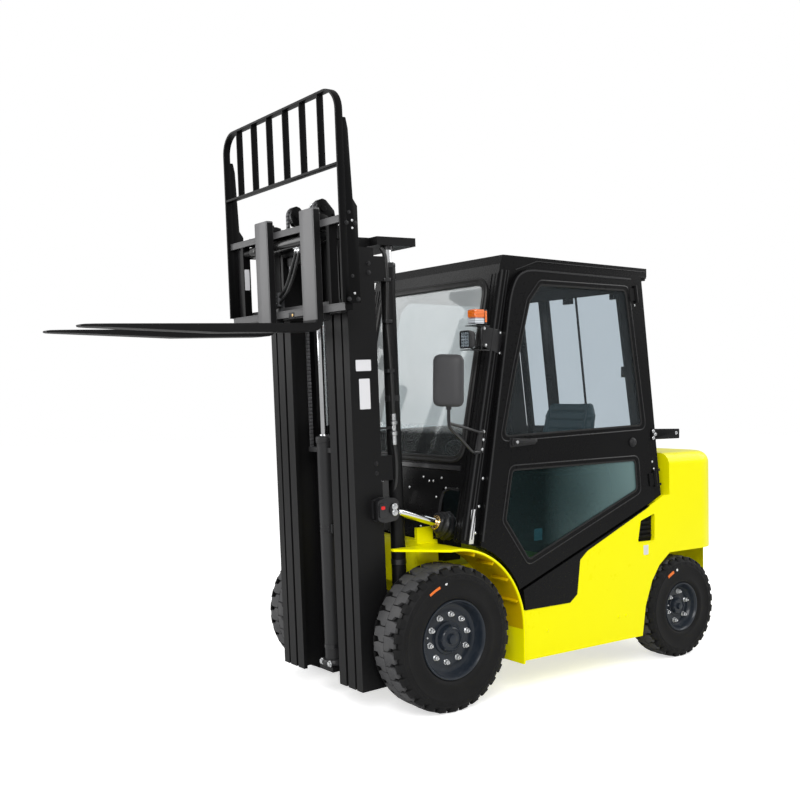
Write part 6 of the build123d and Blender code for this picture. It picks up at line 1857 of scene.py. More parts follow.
@dataclass
class TiltGroup:
    """Boots, rings, glands and pins of the tilt cylinders."""

    rear_pin: tuple[float, float] = (430.0, 772.0)
    rod_pin: tuple[float, float] = (-234.2, 976.5)
    centre_x: float = 395.0
    boot: tuple[float, float] = (306.0, 398.0)
    gaiter_length: float = 150.0
    gaiter_bore: float = 40.0

    def gaiter(self, place: Matrix) -> Form:
        """Loose, creased sleeve over the cylinder's mouth.

        Args:
            place: The cylinder's place, with Z along it.

        Returns:
            The form, not yet handed over.
        """
        mouth = Form(place)
        angles = [math.tau * k / 48 for k in range(48)]
        top = self.boot[1] + 2
        rings = []
        for i in range(25):
            t = i / 24
            bulge = 43 + 26 * math.sin(math.pi * min(1.0, 1.25 * t)) + 4.0 * math.sin(t * 31)
            rings.append(mouth.ring(
                (0.82 * bulge * math.cos(a), bulge * math.sin(a) - 10 * t, top - self.gaiter_length * t)
                for a in angles
            ))
        mouth.skin(rings, caps=False)
        bore = self.gaiter_bore
        inner = [
            mouth.ring(
                (0.82 * bore * math.cos(a), bore * math.sin(a), top - self.gaiter_length * t) for a in angles
            )
            for t in (1.0, 0.0)
        ]
        mouth.skin([rings[-1], inner[0]], caps=False).skin(inner, caps=False)
        mouth.skin([inner[1], rings[0]], caps=False)
        return mouth.crumple(9.0, 0.028, 11)

    def build(self) -> None:
        """Make both sides."""
        (y0, z0), (y1, z1) = self.rear_pin, self.rod_pin
        run = Vector((0.0, y1 - y0, z1 - z0)).normalized()
        across = Vector((1.0, 0.0, 0.0))
        up = run.cross(across)
        for side in Side:
            basis = Matrix((across, up, run)).transposed().to_4x4()
            place = sided(TRUCK, side) @ Matrix.Translation((self.centre_x, y0, z0)) @ basis
            word = side.word
            form = Form(place)
            low, high = self.boot
            profile = [(low - 34, 40.5)]
            folds = 7
            for i in range(folds + 1):
                t = i / folds
                z = low - 30 + (high - low + 20) * t
                crest = 43.5 - 2.0 * t
                profile += [(z, crest - 2.6), (z + 4.5, crest), (z + 8.0, crest - 0.6)]
            profile += [(high + 2, 36), (high + 4, 24)]
            form.lathe(profile, "z", 40)
            boot = form.crumple(2.2, 0.045, 7)
            boot.piece(f"tilt_boot_{word}", "boot_skin", "tilt_barrel", ["tilt_boots"])
            form = Form(place).lathe(
                [(high + 3.5, 22), (high + 3.5, 34), (high + 6, 36), (high + 9, 34), (high + 9, 22)], "z",
                36
            )
            form.piece(f"tilt_gold_ring_{word}", "gold_ring", "tilt_barrel")
            form = Form(place)
            form.lathe([(58, 30), (62, 41), (74, 42.5), (78, 41)], "z", 36)
            form.lathe([(250, 40.2), (252, 42.6), (262, 42.6), (264, 40.2)], "z", 36)
            form.piece(f"tilt_bands_{word}", "cast_grey", "tilt_barrel")
            form = Form(place).disc((0, 0, 0), 16, 66, "x", 28)
            form.disc((0, 0, 0), 21, 56, "x", 28)
            form.bevel(1).piece(f"tilt_rear_pin_{word}", "zinc", "tilt_barrel")
            self.gaiter(place).piece(f"tilt_gaiter_{word}", "boot_skin", "tilt_barrel")
            port = Form(place @ Matrix.Translation((0.0, -40.0, 92.0)))
            port.lathe([(8, 0), (8, 11), (-12, 11), (-12, 8), (-20, 8), (-20, 0)], "y", 12)
            port.piece(f"tilt_port_{word}", "zinc", "tilt_barrel")


def build_mast() -> None:
    """Make the mast and its cylinders."""
    Mast().build()
    TiltGroup().build()


@dataclass
class ForkGroup:
    """Forks, side-shift frame and load backrest."""

    face_y: float = -556.0
    thick: float = 40.0
    width: float = 125.0
    top_z: float = 2414.0
    blade_z: float = 1882.0
    tip_y: float = -1644.0
    centres: tuple[float, float] = (300.0, -140.0)
    bar_low: tuple[float, float] = (1928.0, 1962.0)
    bar_high: tuple[float, float] = (2325.0, 2356.0)
    rest_x: float = 558.0
    rest_y: tuple[float, float] = (-533.0, -497.0)
    rest_z: tuple[float, float] = (1960.0, 2934.0)
    body: str = "fork_carrier"

    def blade_ring(self, form: Form, centre: float, y: float, half: float, low: float, high: float) -> list:
        """Rounded section of a blade square to its length."""
        round_by = min(7.0, (high - low) * 0.32)
        outline = rounded(block((centre - half, low), (centre + half, high)), round_by, 3)
        return form.ring((x, y, z) for x, z in outline)

    def build_forks(self) -> None:
        """Forge each fork: tapered blade with a chamfered tip, bent heel, shank and hooks."""
        heel = self.blade_z - self.thick
        back = self.face_y + self.thick
        for centre in self.centres:
            word = "left" if centre > 0 else "right"
            form = Form(MAST)
            half = self.width / 2
            stations = (
                (self.tip_y, half - 34, self.blade_z - 9, self.blade_z - 1),
                (self.tip_y + 14, half - 20, self.blade_z - 11, self.blade_z),
                (self.tip_y + 50, half - 6, self.blade_z - 12.5, self.blade_z),
                (self.tip_y + 110, half, self.blade_z - 15, self.blade_z),
                (self.face_y - 500, half, heel + 1, self.blade_z),
                (self.face_y - 480, half, heel, self.blade_z), (self.face_y - 40, half, heel, self.blade_z),
            )
            rings = [self.blade_ring(form, centre, *station) for station in stations]
            bend_r = 16.0
            for step in range(1, 7):
                angle = math.radians(15 * step)
                cy, cz = self.face_y - bend_r, self.blade_z + bend_r
                outer = bend_r + self.thick
                outline = rounded(block((centre - half, -outer), (centre + half, -bend_r)), 7.0, 3)
                rings.append(form.ring(
                    (x, cy - v * math.sin(angle), cz + v * math.cos(angle)) for x, v in outline
                ))
            form.skin(rings)
            form.piece(f"fork_blade_{word}", "blade_black", self.body, ["forks"])
            form = Form(MAST)
            rings = []
            outline = rounded(block((centre - half, self.face_y), (centre + half, back)), 7.0, 3)
            for z in (self.blade_z + bend_r, self.top_z - 4):
                rings.append(form.ring((x, self.face_y + back - y, z) for x, y in outline))
            middle = (self.face_y + back) / 2
            rings.append(form.ring(
                (centre + (x - centre) * 0.97, middle + (self.face_y + back - y - middle) * 0.88, self.top_z)
                for x, y in outline
            ))
            form.skin(rings)
            # painted reflection: the shank is a lighter grey than the black blade, and the black strips below
            # cover its sides
            form.piece(f"fork_shank_{word}", "fork_paint", self.body, ["forks"])
            form = Form(MAST)
            for x in (centre - half - 0.5, centre + half - 0.5):
                form.box((x, self.face_y + 5, self.blade_z + 8), (x + 1, back - 4, self.top_z - 8))
            form.piece(f"fork_sides_{word}", "blade_black", self.body)
            form = Form(MAST)
            form.prism(
                "x",
                rounded(
                    [
                        (back - 2, 2356), (back + 46, 2356), (back + 46, 2380), (back + 22, 2386),
                        (back - 2, 2386)
                    ],
                    4, 2
                ),
                centre - half + 3, centre + half - 3
            )
            form.prism(
                "x",
                rounded(
                    [(back - 2, 1894), (back + 36, 1894), (back + 36, 1927.6), (back - 2, 1927.6)], 4, 2
                ),
                centre - half + 3, centre + half - 3
            )
            form.box((centre - 12, back + 6, 2356), (centre + 12, back + 34, 2402))
            form.bevel(1.5).piece(f"fork_hooks_{word}", "mast_black", self.body)

    def build_frame(self) -> None:
        """Put notched edges, cylinder, end plates, screws and blank plate on the side-shift frame."""
        form = Form(MAST)
        lip = rounded(block((-3, -3), (3, 3)), 1.5, 2)
        for low, high in (self.bar_low, self.bar_high):
            for z in (low + 2, high - 2):
                form.sweep([(-546, -514.5, z), (546, -514.5, z)], lip, up=(0.0, 0.0, 1.0))
            form.box((-545, -517.0, low + 2.5), (545, -515.6, high - 2.5))
        # painted reflection: grey lips and face on the front of the black frame bars
        form.piece("frame_lips", "bar_grey", self.body)
        form = Form(MAST @ Matrix.Translation((0.0, -496.0, 2287.0)))
        form.lathe(
            [
                (-330, 0), (-330, 27), (-322, 30), (-268, 30), (-264, 26), (264, 26), (268, 30), (322, 30),
                (330, 27), (330, 0)
            ],
            "x", 36
        )
        form.piece("shift_cylinder", "gloss_black", self.body)
        form = Form(MAST @ Matrix.Translation((0.0, -496.0, 2287.0)))
        form.lathe([(330, 0), (330, 15), (409, 15), (409, 0)], "x", 28)
        form.lathe([(-409, 0), (-409, 15), (-330, 15), (-330, 0)], "x", 28)
        form.piece("shift_rod", "chrome", self.body)
        form = Form(MAST)
        form.box((-60, -478, 2232), (60, -466, 2324))
        form.prism("y", rounded([(-100, 2246), (100, 2246), (88, 2262), (-88, 2262)], 4, 2), -478.0, -468.0)
        form.prism("y", [(-502, 1962), (-436, 1962), (-436, 2325), (-502, 2325)], -500.0, -492.0)
        form.prism(
            "x", rounded([(-500, 1962), (-478, 1962), (-478, 2325), (-500, 2325)], 2, 2), -440.0, -434.0
        )
        form.bevel(1.5).piece("frame_plates", "rest_black", self.body)
        form = Form(MAST).prism("x", rounded(block((-512, 2101), (-484, 2209)), 3, 2), -410.3, -409.2)
        form.piece("frame_blank_plate", "blank_label", self.body)
        seats = [seat(MAST, (x, -496, 2356.2), (0, 0, 1), 0.9) for x in (-360, -20, 20, 440, 462, 484)]
        REPEATER.make("frame_bolts", BOLT_HEAD, seats, "black_plastic", self.body, 0.5)
        form = Form(MAST)
        form.box((40, -517.5, 1922), (98, -513, 1952))
        form.bevel(2).piece("frame_notch", "black_plastic", self.body)
        seats = [seat(MAST, (78, -517.6, 1936), (0, -1, 0), 0.8)]
        REPEATER.make("frame_notch_plug", DOME_HEAD, seats, "gold_ring", self.body)

    def build_hoses(self) -> None:
        """Run the short hoses between the side-shift cylinder's fittings, bound at both ends."""
        routes = (
            [
                (84, -486, 2258), (84, -492, 2228), (60, -500, 2170), (20, -502, 2105), (-30, -500, 2062),
                (-86, -490, 2040)
            ],
            [
                (112, -486, 2256), (112, -492, 2218), (80, -500, 2140), (34, -502, 2078), (-24, -500, 2034),
                (-88, -490, 2008)
            ],
        )
        for i, route in enumerate(routes):
            form = Form(MAST).tube(smooth_path(route, 7), 7.5, steps=12)
            form.piece(f"shift_hose_{i + 1}", "hose_black", self.body)
        form = Form(MAST)
        for x, z in ((84, 2262), (112, 2260)):
            form.disc((x, -486, z - 26), 11, 20, "z", 6)
            form.disc((x, -486, z - 6), 8.5, 18, "z", 14)
        for y, z in ((-490, 2040), (-490, 2008)):
            form.disc((-110, y, z), 11, 20, "x", 6)
        form.prism("z", rounded(block((72, -500), (124, -470)), 5, 3), 2258.0, 2276.0)
        form.bevel(0.8).piece("shift_fittings", "zinc", self.body)
        form = Form(MAST).prism(
            "y", rounded([(-140, 1990), (-84, 1990), (-84, 2062), (-140, 2062)], 6, 3), -500.0, -466.0
        )
        form.box((-132, -478, 1962), (-96, -466, 1992))
        form.bevel(2).piece("shift_block", "cast_grey", self.body)

    def build_backrest(self) -> None:
        """Round the backrest's bars and bolt its side plates."""
        (y0, y1), (z0, z1) = self.rest_y, self.rest_z
        middle, depth = (y0 + y1) / 2, y1 - y0
        bar = rounded(block((-6, -depth / 2), (6, depth / 2)), 1.6, 2)
        x = self.rest_x - 6
        corner = 104.0
        path = [(-x, middle, z0 + 1)]
        for step in range(11):
            a = math.radians(180 - 9 * step)
            path.append((-x + corner + corner * math.cos(a), middle, z1 - 6 - corner + corner * math.sin(a)))
        for step in range(11):
            a = math.radians(90 - 9 * step)
            path.append((x - corner + corner * math.cos(a), middle, z1 - 6 - corner + corner * math.sin(a)))
        path.append((x, middle, z0 + 1))
        form = Form(MAST).sweep(path, bar, up=(0.0, 1.0, 0.0))
        form.sweep(
            [(-x, middle, 2584), (x, middle, 2584)], [(u, v * 0.96) for u, v in bar], up=(0.0, 1.0, 0.0)
        )
        thin = rounded(block((-4, -depth * 0.48), (4, depth * 0.48)), 1.2, 2)
        for place in range(1, 7):
            at = -self.rest_x + place * 2 * self.rest_x / 7
            form.sweep([(at, middle, 2585), (at, middle, z1 - 8)], thin, up=(0.0, 1.0, 0.0))
        profile = rounded(
            [
                (-520, 1960), (-438, 1960), (-438, 2396), (-460, 2428), (-472, 2740), (-482, 2790),
                (-520, 2790)
            ],
            5, 3
        )
        for side in Side:
            plate = Form(sided(MAST, side)).prism("x", profile, self.rest_x - 12, self.rest_x)
            plate.bevel(1.4).piece(f"rest_plate_{side.word}", "rest_black", self.body)
            seats = [
                seat(sided(MAST, side), (self.rest_x, y, z), (1, 0, 0), 1.0) for z in (2318, 1976)
                for y in (-500, -452)
            ]
            seats += [
                seat(sided(MAST, side), (self.rest_x, y, z), (1, 0, 0), 0.8)
                for y, z in ((-484, 2366), (-478, 2080))
            ]
            REPEATER.make(f"rest_bolts_{side.word}", BOLT_HEAD, seats, "black_plastic", self.body, 0.5)
            REPEATER.make(
                f"rest_studs_{side.word}", DOME_HEAD,
                [
                    seat(sided(MAST, side), (self.rest_x, -470, z), (1, 0, 0), 0.7)
                    for z in (2330, 2296, 2002)
                ],
                "zinc", self.body
            )
        form.piece("backrest_bars", "rest_black", self.body, ["backrest"])

    def build_carriage(self) -> None:
        """Screw the carriage's bars to its plates and fit the chain anchors."""
        form = Form(MAST)
        for x in PULLEY_X:
            for z in (2196, 2214):
                form.disc((x, -403, z), 11, 9, "z", 6)
            form.disc((x, -403, 2150), 7, 92, "z", 14)
        form.piece("chain_anchors", "zinc", "lift_carriage")
        form = Form(MAST)
        for z0, z1 in ((1925, 1985), (2265, 2325)):
            form.prism(
                "x", rounded([(-466.5, z0 + 1), (-464, z0 + 1), (-464, z1 - 1), (-466.5, z1 - 1)], 1, 1),
                -429.0, 429.0
            )
        # painted reflection: grey plates on the front faces of the black carriage bars
        form.piece("carriage_bar_faces", "bar_grey", "lift_carriage")
        seats = [
            seat(MAST, (x, -466.6, z), (0, -1, 0), 1.1) for x in (-400, -330, 340, 402)
            for z in (1955, 2295)
        ]
        REPEATER.make("carriage_bolts", BOLT_HEAD, seats, "black_plastic", "lift_carriage", 0.5)

    def build(self) -> None:
        """Make the whole group."""
        self.build_forks()
        self.build_frame()
        self.build_hoses()
        self.build_backrest()
        self.build_carriage()
def build_forks() -> None:
    """Make the forks and what carries them."""
    ForkGroup().build()


@dataclass
class Padding:
    """Padded seat part: a plain block that a short cloth simulation blows up, with sewn channels."""

    name: str
    node: str
    voxel: float = 6.0
    pressure: float = 4.0
    frames: int = 20
    cap: float = 16.0
    body: str = "hood"

    def evaluated(self, holder: bpy.types.Object) -> bpy.types.Mesh:
        """Mesh of the holder with its modifiers at work."""
        graph = bpy.context.evaluated_depsgraph_get()
        graph.update()
        return bpy.data.meshes.new_from_object(holder.evaluated_get(graph))

    def swell(self, holder: bpy.types.Object) -> bpy.types.Mesh:
        """Blow the holder's mesh up and keep each point's movement under the cap."""
        start = [point.co.copy() for point in holder.data.vertices]
        cloth = holder.modifiers.new("fabric", "CLOTH")
        cloth.settings.use_pressure = True
        cloth.settings.uniform_pressure_force = self.pressure
        cloth.settings.effector_weights.gravity = 0.0
        cloth.settings.quality = 6
        cloth.point_cache.frame_start = 1
        cloth.point_cache.frame_end = self.frames
        for moment in range(1, self.frames + 1):
            bpy.context.scene.frame_set(moment)
        result = self.evaluated(holder)
        bpy.context.scene.frame_set(1)
        limit = self.cap * MM
        for point, before in zip(result.vertices, start):
            move = point.co - before
            if move.length > limit:
                point.co = before + move * (limit / move.length)
        return result

    def make(self, form: Form, depth_at: Callable[[Vector, Vector], float]) -> bpy.types.Object:
        """Turn a block into the finished pad.

        Args:
            form: The block.
            depth_at: Depth of the sewing at a point with a normal, both in metres, as millimetres.

        Returns:
            The pad.
        """
        bmesh.ops.recalc_face_normals(form.mesh, faces=form.mesh.faces)
        data = bpy.data.meshes.new(self.name)
        form.mesh.to_mesh(data)
        form.mesh.free()
        holder = bpy.data.objects.new(f"{self.name}_holder", data)
        bpy.context.scene.collection.objects.link(holder)
        voxels = holder.modifiers.new("voxels", "REMESH")
        voxels.mode = "VOXEL"
        voxels.voxel_size = self.voxel * MM
        whole = self.evaluated(holder)
        holder.modifiers.clear()
        holder.data = whole
        swollen = self.swell(holder)
        holder.modifiers.clear()
        holder.data = swollen
        finer = holder.modifiers.new("finer", "SUBSURF")
        finer.levels = finer.render_levels = 1
        smooth = self.evaluated(holder)
        bpy.data.objects.remove(holder)
        normals = [tuple(point.normal) for point in smooth.vertices]
        for point, normal in zip(smooth.vertices, normals):
            point.co -= Vector(normal) * depth_at(point.co, Vector(normal)) * MM
        smooth.name = self.name
        smooth.shade_smooth()
        piece = hand_over(self.name, smooth, "seat_vinyl", self.body, [self.node])
        return piece


def channel(value: float, first: float, pitch: float, count: int, width: float) -> float:
    """Share of a sewn channel's depth at a place: one on a line, zero away from it."""
    nearest = min(range(count), key=lambda i: abs(value - first - pitch * i))
    away = abs(value - first - pitch * nearest)
    return math.exp(-((away / width) ** 2))


@dataclass
class Interior:
    """Seat, steering wheel, levers, pedals and instrument hood."""

    wheel_at: tuple[float, float] = (600.0, 1150.0)
    column_foot: tuple[float, float] = (330.0, 900.0)
    wheel_r: float = 150.0
    rim_r: float = 13.0
    lever_x: tuple[float, float, float] = (-150.0, -186.0, -222.0)

    def build_seat(self) -> None:
        """Pad the cushion and the back."""
        form = Form(TRUCK)
        form.prism(
            "x", rounded([(956, 1124), (1352, 1124), (1352, 1196), (1010, 1206), (956, 1190)], 26, 5),
            -221.0, 221.0
        )

        def cushion_sewing(point: Vector, normal: Vector) -> float:
            """How deep the seams pull the cushion in at a point."""
            place = TRUCK.inverted() @ point
            top = max(0.0, normal.z) ** 0.5
            ribs = channel(place.y, 1030.0, 62.0, 5, 7.0) * max(0.0, min(1.0, (150 - abs(place.x)) / 10))
            bolsters = channel(abs(place.x), 152.0, 500.0, 1, 7.0)
            return top * 7.0 * max(ribs, bolsters)

        Padding("seat_cushion_pad", "seat_cushion").make(form, cushion_sewing)
        form = Form(TRUCK)
        face = rounded(
            [(-216, 1212), (216, 1212), (206, 1400), (168, 1476), (-168, 1476), (-206, 1400)], 42, 6
        )
        form.skin([form.ring((x, 1342 + (z - 1236) * 0.2 + depth, z) for x, z in face) for depth in (0, 38)])

        def back_sewing(point: Vector, normal: Vector) -> float:
            """How deep the seams pull the back in at a point."""
            place = TRUCK.inverted() @ point
            front = max(0.0, -normal.y) ** 0.5
            ribs = channel(place.z, 1262.0, 52.0, 4, 7.0) * max(0.0, min(1.0, (146 - abs(place.x)) / 10))
            bolsters = channel(abs(place.x), 148.0, 500.0, 1, 7.0)
            return front * 6.0 * max(ribs, bolsters)

        Padding("seat_back_pad", "seat_back", cap=12.0).make(form, back_sewing)

    def build_wheel(self) -> None:
        """Turn the steering wheel's rim, spokes, hub and knob."""
        (y0, z0), (y1, z1) = self.column_foot, self.wheel_at
        run = Vector((0.0, y1 - y0, z1 - z0)).normalized()
        across = Vector((1.0, 0.0, 0.0))
        basis = Matrix((across, run.cross(across), run)).transposed().to_4x4()
        form = Form(TRUCK @ Matrix.Translation((0.0, y1, z1)) @ basis)
        loop = [
            (self.wheel_r * math.cos(a), self.wheel_r * math.sin(a), 0.0)
            for a in (math.tau * i / 64 for i in range(64))
        ]
        form.tube(loop, self.rim_r, closed=True, steps=16)
        for degrees in (90, 210, 330):
            a = math.radians(degrees)
            out = Vector((math.cos(a), math.sin(a), 0.0))
            path = [out * 20 + Vector((0, 0, -16)), out * 70 + Vector((0, 0, -14)), out * (self.wheel_r - 4)]
            form.sweep(smooth_path(path, 5), rounded(block((-13, -4), (13, 4)), 3.5, 3), up=(0.0, 0.0, 1.0))
        form.lathe([(-34, 0), (-34, 30), (-20, 34), (-8, 32), (-2, 24), (0, 0)], "z", 32)
        form.piece("steering_wheel_rim", "black_plastic", "chassis", ["steering_wheel"])
        on_rim = Matrix.Translation((-106.0, 106.0, 12.0))
        knob = Form(TRUCK @ Matrix.Translation((0.0, y1, z1)) @ basis @ on_rim)
        knob.lathe([(0, 0), (0, 8), (10, 8), (16, 17), (30, 20), (42, 16), (48, 0)], "z", 24)
        knob.piece("steering_knob", "black_plastic", "chassis")
        column = Form(TRUCK).tube(
            [(0, y0 - 10, z0 - 10), (0, y1 - 22 * run.y, z1 - 22 * run.z)], 24, steps=20
        )
        column.piece("steering_column", "black_plastic", "chassis")

    def build_controls(self) -> None:
        """Set the levers, the pedals and the instrument hood."""
        form = Form(TRUCK)
        for x in self.lever_x:
            form.tube(smooth_path([(x, 300, 1020), (x, 330, 1090), (x, 372, 1150)], 5), 5.5, steps=10)
        form.piece("lever_stems", "chrome", "chassis")
        form = Form(TRUCK)
        for x in self.lever_x:
            kept = form.place
            form.at(TRUCK @ Matrix.Translation((x, 376.0, 1154.0))).lathe(
                [(-16, 0), (-16, 9), (-6, 15), (8, 16), (18, 10), (20, 0)], "z", 20
            )
            form.at(kept)
            form.box((x - 13, 286, 1012), (x + 13, 322, 1046))
        form.box((-240, 268, 1000), (-136, 340, 1016))
        form.piece("lever_knobs", "black_plastic", "chassis")
        form = Form(TRUCK)
        for centre in (136.0, 0.0, -77.0):
            form.prism(
                "x", rounded([(330, 760), (336, 754), (366, 826), (358, 832)], 3, 2), centre - 34,
                centre + 34
            )
            form.tube([(centre, 340, 786), (centre, 300, 840)], 7, steps=10)
        form.bevel(1.5).piece("pedals", "black_rubber", "chassis")
        form = Form(TRUCK).prism(
            "x", rounded([(262, 1044), (326, 1058), (322, 1090), (262, 1096)], 12, 4), -112.0, 112.0
        )
        form.bevel(3).piece("instrument_hood", "black_plastic", "chassis")

    def build(self) -> None:
        """Make all of it."""
        self.build_seat()
        self.build_wheel()
        self.build_controls()


def build_interior() -> None:
    """Make the operator's place."""
    Interior().build()


@dataclass
class Chassis:
    """Step mats, fender edges and gussets, front guard, side openings and rear grille of the body."""

    side_x: float = 567.0
    tread_z: float = 424.0
    back_y: float = 2100.0
    grille_x: float = 250.0
    grille_z: tuple[float, float] = (560.0, 960.0)
    body: str = "chassis"

    @staticmethod
    def on_arc(centre: tuple[float, float], radius: float, degrees: float) -> tuple[float, float]:
        """Y and Z of a point on a wheel arch, by its angle from the top towards the rear."""
        angle = math.radians(degrees)
        return centre[0] + radius * math.sin(angle), centre[1] + radius * math.cos(angle)

    def build_steps(self) -> None:
        """Lay a ribbed mat in each step."""
        for side in Side:
            place = sided(TRUCK, side)
            form = Form(place).prism(
                "z", rounded([(400, 500), (556, 500), (556, 790), (400, 790)], 10, 4), self.tread_z,
                self.tread_z + 3
            )
            form.bevel(1).piece(f"step_mat_{side.word}", "black_rubber", self.body)
            rib = item_mesh(
                "tread_rib", lambda f: f.prism("z", rounded(block((-65, -3.5), (65, 3.5)), 3, 3), 0.0, 4.0),
                1.0
            )
            seats = [
                seat(place, (478, 514 + 21 * i, self.tread_z + 3), (0, 0, 1), 1.0, (1, 0, 0))
                for i in range(13)
            ]
            REPEATER.make(f"step_ribs_{side.word}", rib, seats, "black_rubber", self.body)

    def build_fenders(self) -> None:
        """Round the fender's outer lip and set its gussets and inner guard, both in darker yellow as painted
        shade.
        """
        centre = (10.0, 340.0)
        for side in Side:
            place = sided(TRUCK, side)
            arc = [(599.0, *self.on_arc(centre, 437.0, degrees)) for degrees in range(3, 91, 3)]
            path = [(599.0, -18.0, 777.0)] + arc + [(599.0, 447.0, 170.0)]
            form = Form(place).tube(path, 6.5, steps=12)
            form.piece(f"fender_lip_{side.word}", "yellow_paint", self.body)
            form = Form(place)
            for angle in (16, 34, 52, 70):
                a = math.radians(angle)
                out = Vector((math.sin(a), math.cos(a)))
                foot, deep = out * 430.5, out * 412.0
                turn = Vector((out.y, -out.x)) * 4
                corners = [
                    (centre[0] + p.x, centre[1] + p.y)
                    for p in (foot - turn, foot + turn, deep + turn, deep - turn)
                ]
                form.prism("x", corners, 470.0, 594.0)
            # painted shade: the gussets under the fender take the darker yellow
            form.bevel(1).piece(f"fender_gussets_{side.word}", "yellow_shade", self.body)
            form = Form(place)
            rings = []
            for degrees in range(0, 91, 3):
                y, z = self.on_arc(centre, 430.0, degrees)
                edge_y, edge_z = y - 0.6 * (y - centre[0]) / 430, z - 0.6 * (z - centre[1]) / 430 * 2
                rings.append(form.ring([
                    (342.0, y, z), (597.0, y, z), (597.0, edge_y, edge_z), (342.0, y, z - 1.2)
                ]))
            form.skin(rings)
            # painted shade: the lining under the fender takes the darker yellow
            form.piece(f"fender_lining_{side.word}", "yellow_shade", self.body)

    def build_front(self) -> None:
        """Close the front of the body between its rails with a folded plate."""
        form = Form(TRUCK).box((-317, -14, 566), (317, -6, 796))
        form.box((-317, -14, 788), (317, 40, 796))
        form.bevel(2).piece("front_guard", "yellow_paint", self.body)

    def build_vents(self) -> None:
        """Line the side opening, set its slats, and put the plate and plugs below it."""
        outline = [(1359, 816), (1486, 852), (1484, 688), (1333, 690)]
        middle = Vector((sum(p[0] for p in outline) / 4, sum(p[1] for p in outline) / 4))
        hole = [tuple(middle + (Vector(p) - middle) * 0.97) for p in outline]
        for side in Side:
            place = sided(TRUCK, side)
            form = Form(place).prism("x", rounded(hole, 12, 4), self.side_x - 29.5, self.side_x - 27.0)
            form.piece(f"vent_lining_{side.word}", "lining_grey", self.body)
            lip = [tuple(middle + (Vector(p) - middle) * 1.01) for p in outline]
            inner = [tuple(middle + (Vector(p) - middle) * 0.93) for p in outline]
            form = Form(place).frame(
                "x", rounded(lip, 14, 5), rounded(inner, 12, 5), self.side_x - 5, self.side_x + 2.2
            )
            form.bevel(1).piece(f"vent_lip_{side.word}", "yellow_paint", self.body)
            slat = item_mesh(
                "vent_slat",
                lambda f: f.prism("z", rounded(block((-54, -3), (54, 3)), 2.5, 2), -10.0, 10.0), 0.8
            )
            seats = [
                seat(
                    place, (self.side_x - 18, 1417 - 8 * i * 0.2, 716 + 26 * i), (0.55, 0, 0.83), 1.0,
                    (0, 1, 0)
                )
                for i in range(4)
            ]
            REPEATER.make(f"vent_slats_{side.word}", slat, seats, "lining_grey", self.body)
            plate = rounded([(1387, 618), (1427, 618), (1427, 672), (1387, 672)], 4, 3)
            form = Form(place).prism("x", plate, self.side_x - 0.3, self.side_x + 0.9)
            form.piece(f"body_blank_plate_{side.word}", "blank_label", self.body)
            seats = [
                seat(place, (self.side_x, y, z), (1, 0, 0), 1.1)
                for y, z in ((640, 300), (1180, 300), (1240, 300))
            ]
            REPEATER.make(f"skirt_plugs_{side.word}", DOME_HEAD, seats, "yellow_paint", self.body)

    def build_rear(self) -> None:
        """Fill the counterweight's recess with a slatted grille and screw a border round it."""
        low, high = self.grille_z
        form = Form(TRUCK).box(
            (-self.grille_x + 2, self.back_y - 74, low + 2), (self.grille_x - 2, self.back_y - 66, high - 2)
        )
        form.piece("rear_grille_back", "lining_grey", self.body)
        slat = item_mesh(
            "grille_slat",
            lambda f: f.prism("z", rounded(block((-246, -3.5), (246, 3.5)), 3, 3), -15.0, 15.0), 1.0
        )
        seats = [
            seat(TRUCK, (0, self.back_y - 44, low + 26 + 29 * i), (0, 0.6, -0.8), 1.0, (1, 0, 0))
            for i in range(13)
        ]
        REPEATER.make("grille_slats", slat, seats, "black_plastic", self.body)
        outer = rounded(block((-self.grille_x - 9, low - 9), (self.grille_x + 9, high + 9)), 16, 5)
        inner = rounded(block((-self.grille_x + 4, low + 4), (self.grille_x - 4, high - 4)), 10, 5)
        form = Form(TRUCK).frame("y", outer, inner, self.back_y - 30, self.back_y + 3)
        form.bevel(1.5).piece("grille_border", "black_plastic", self.body)
        bolts = [
            seat(TRUCK, (x, self.back_y + 3, z), (0, 1, 0), 1.2) for x in (-252, 252)
            for z in (low + 10, high - 10)
        ]
        REPEATER.make("grille_screws", DOME_HEAD, bolts, "zinc", self.body)

    def build(self) -> None:
        """Make the whole group."""
        self.build_steps()
        self.build_fenders()
        self.build_front()
        self.build_vents()
        self.build_rear()


def build_chassis() -> None:
    """Make the yellow body's details."""
    Chassis().build()


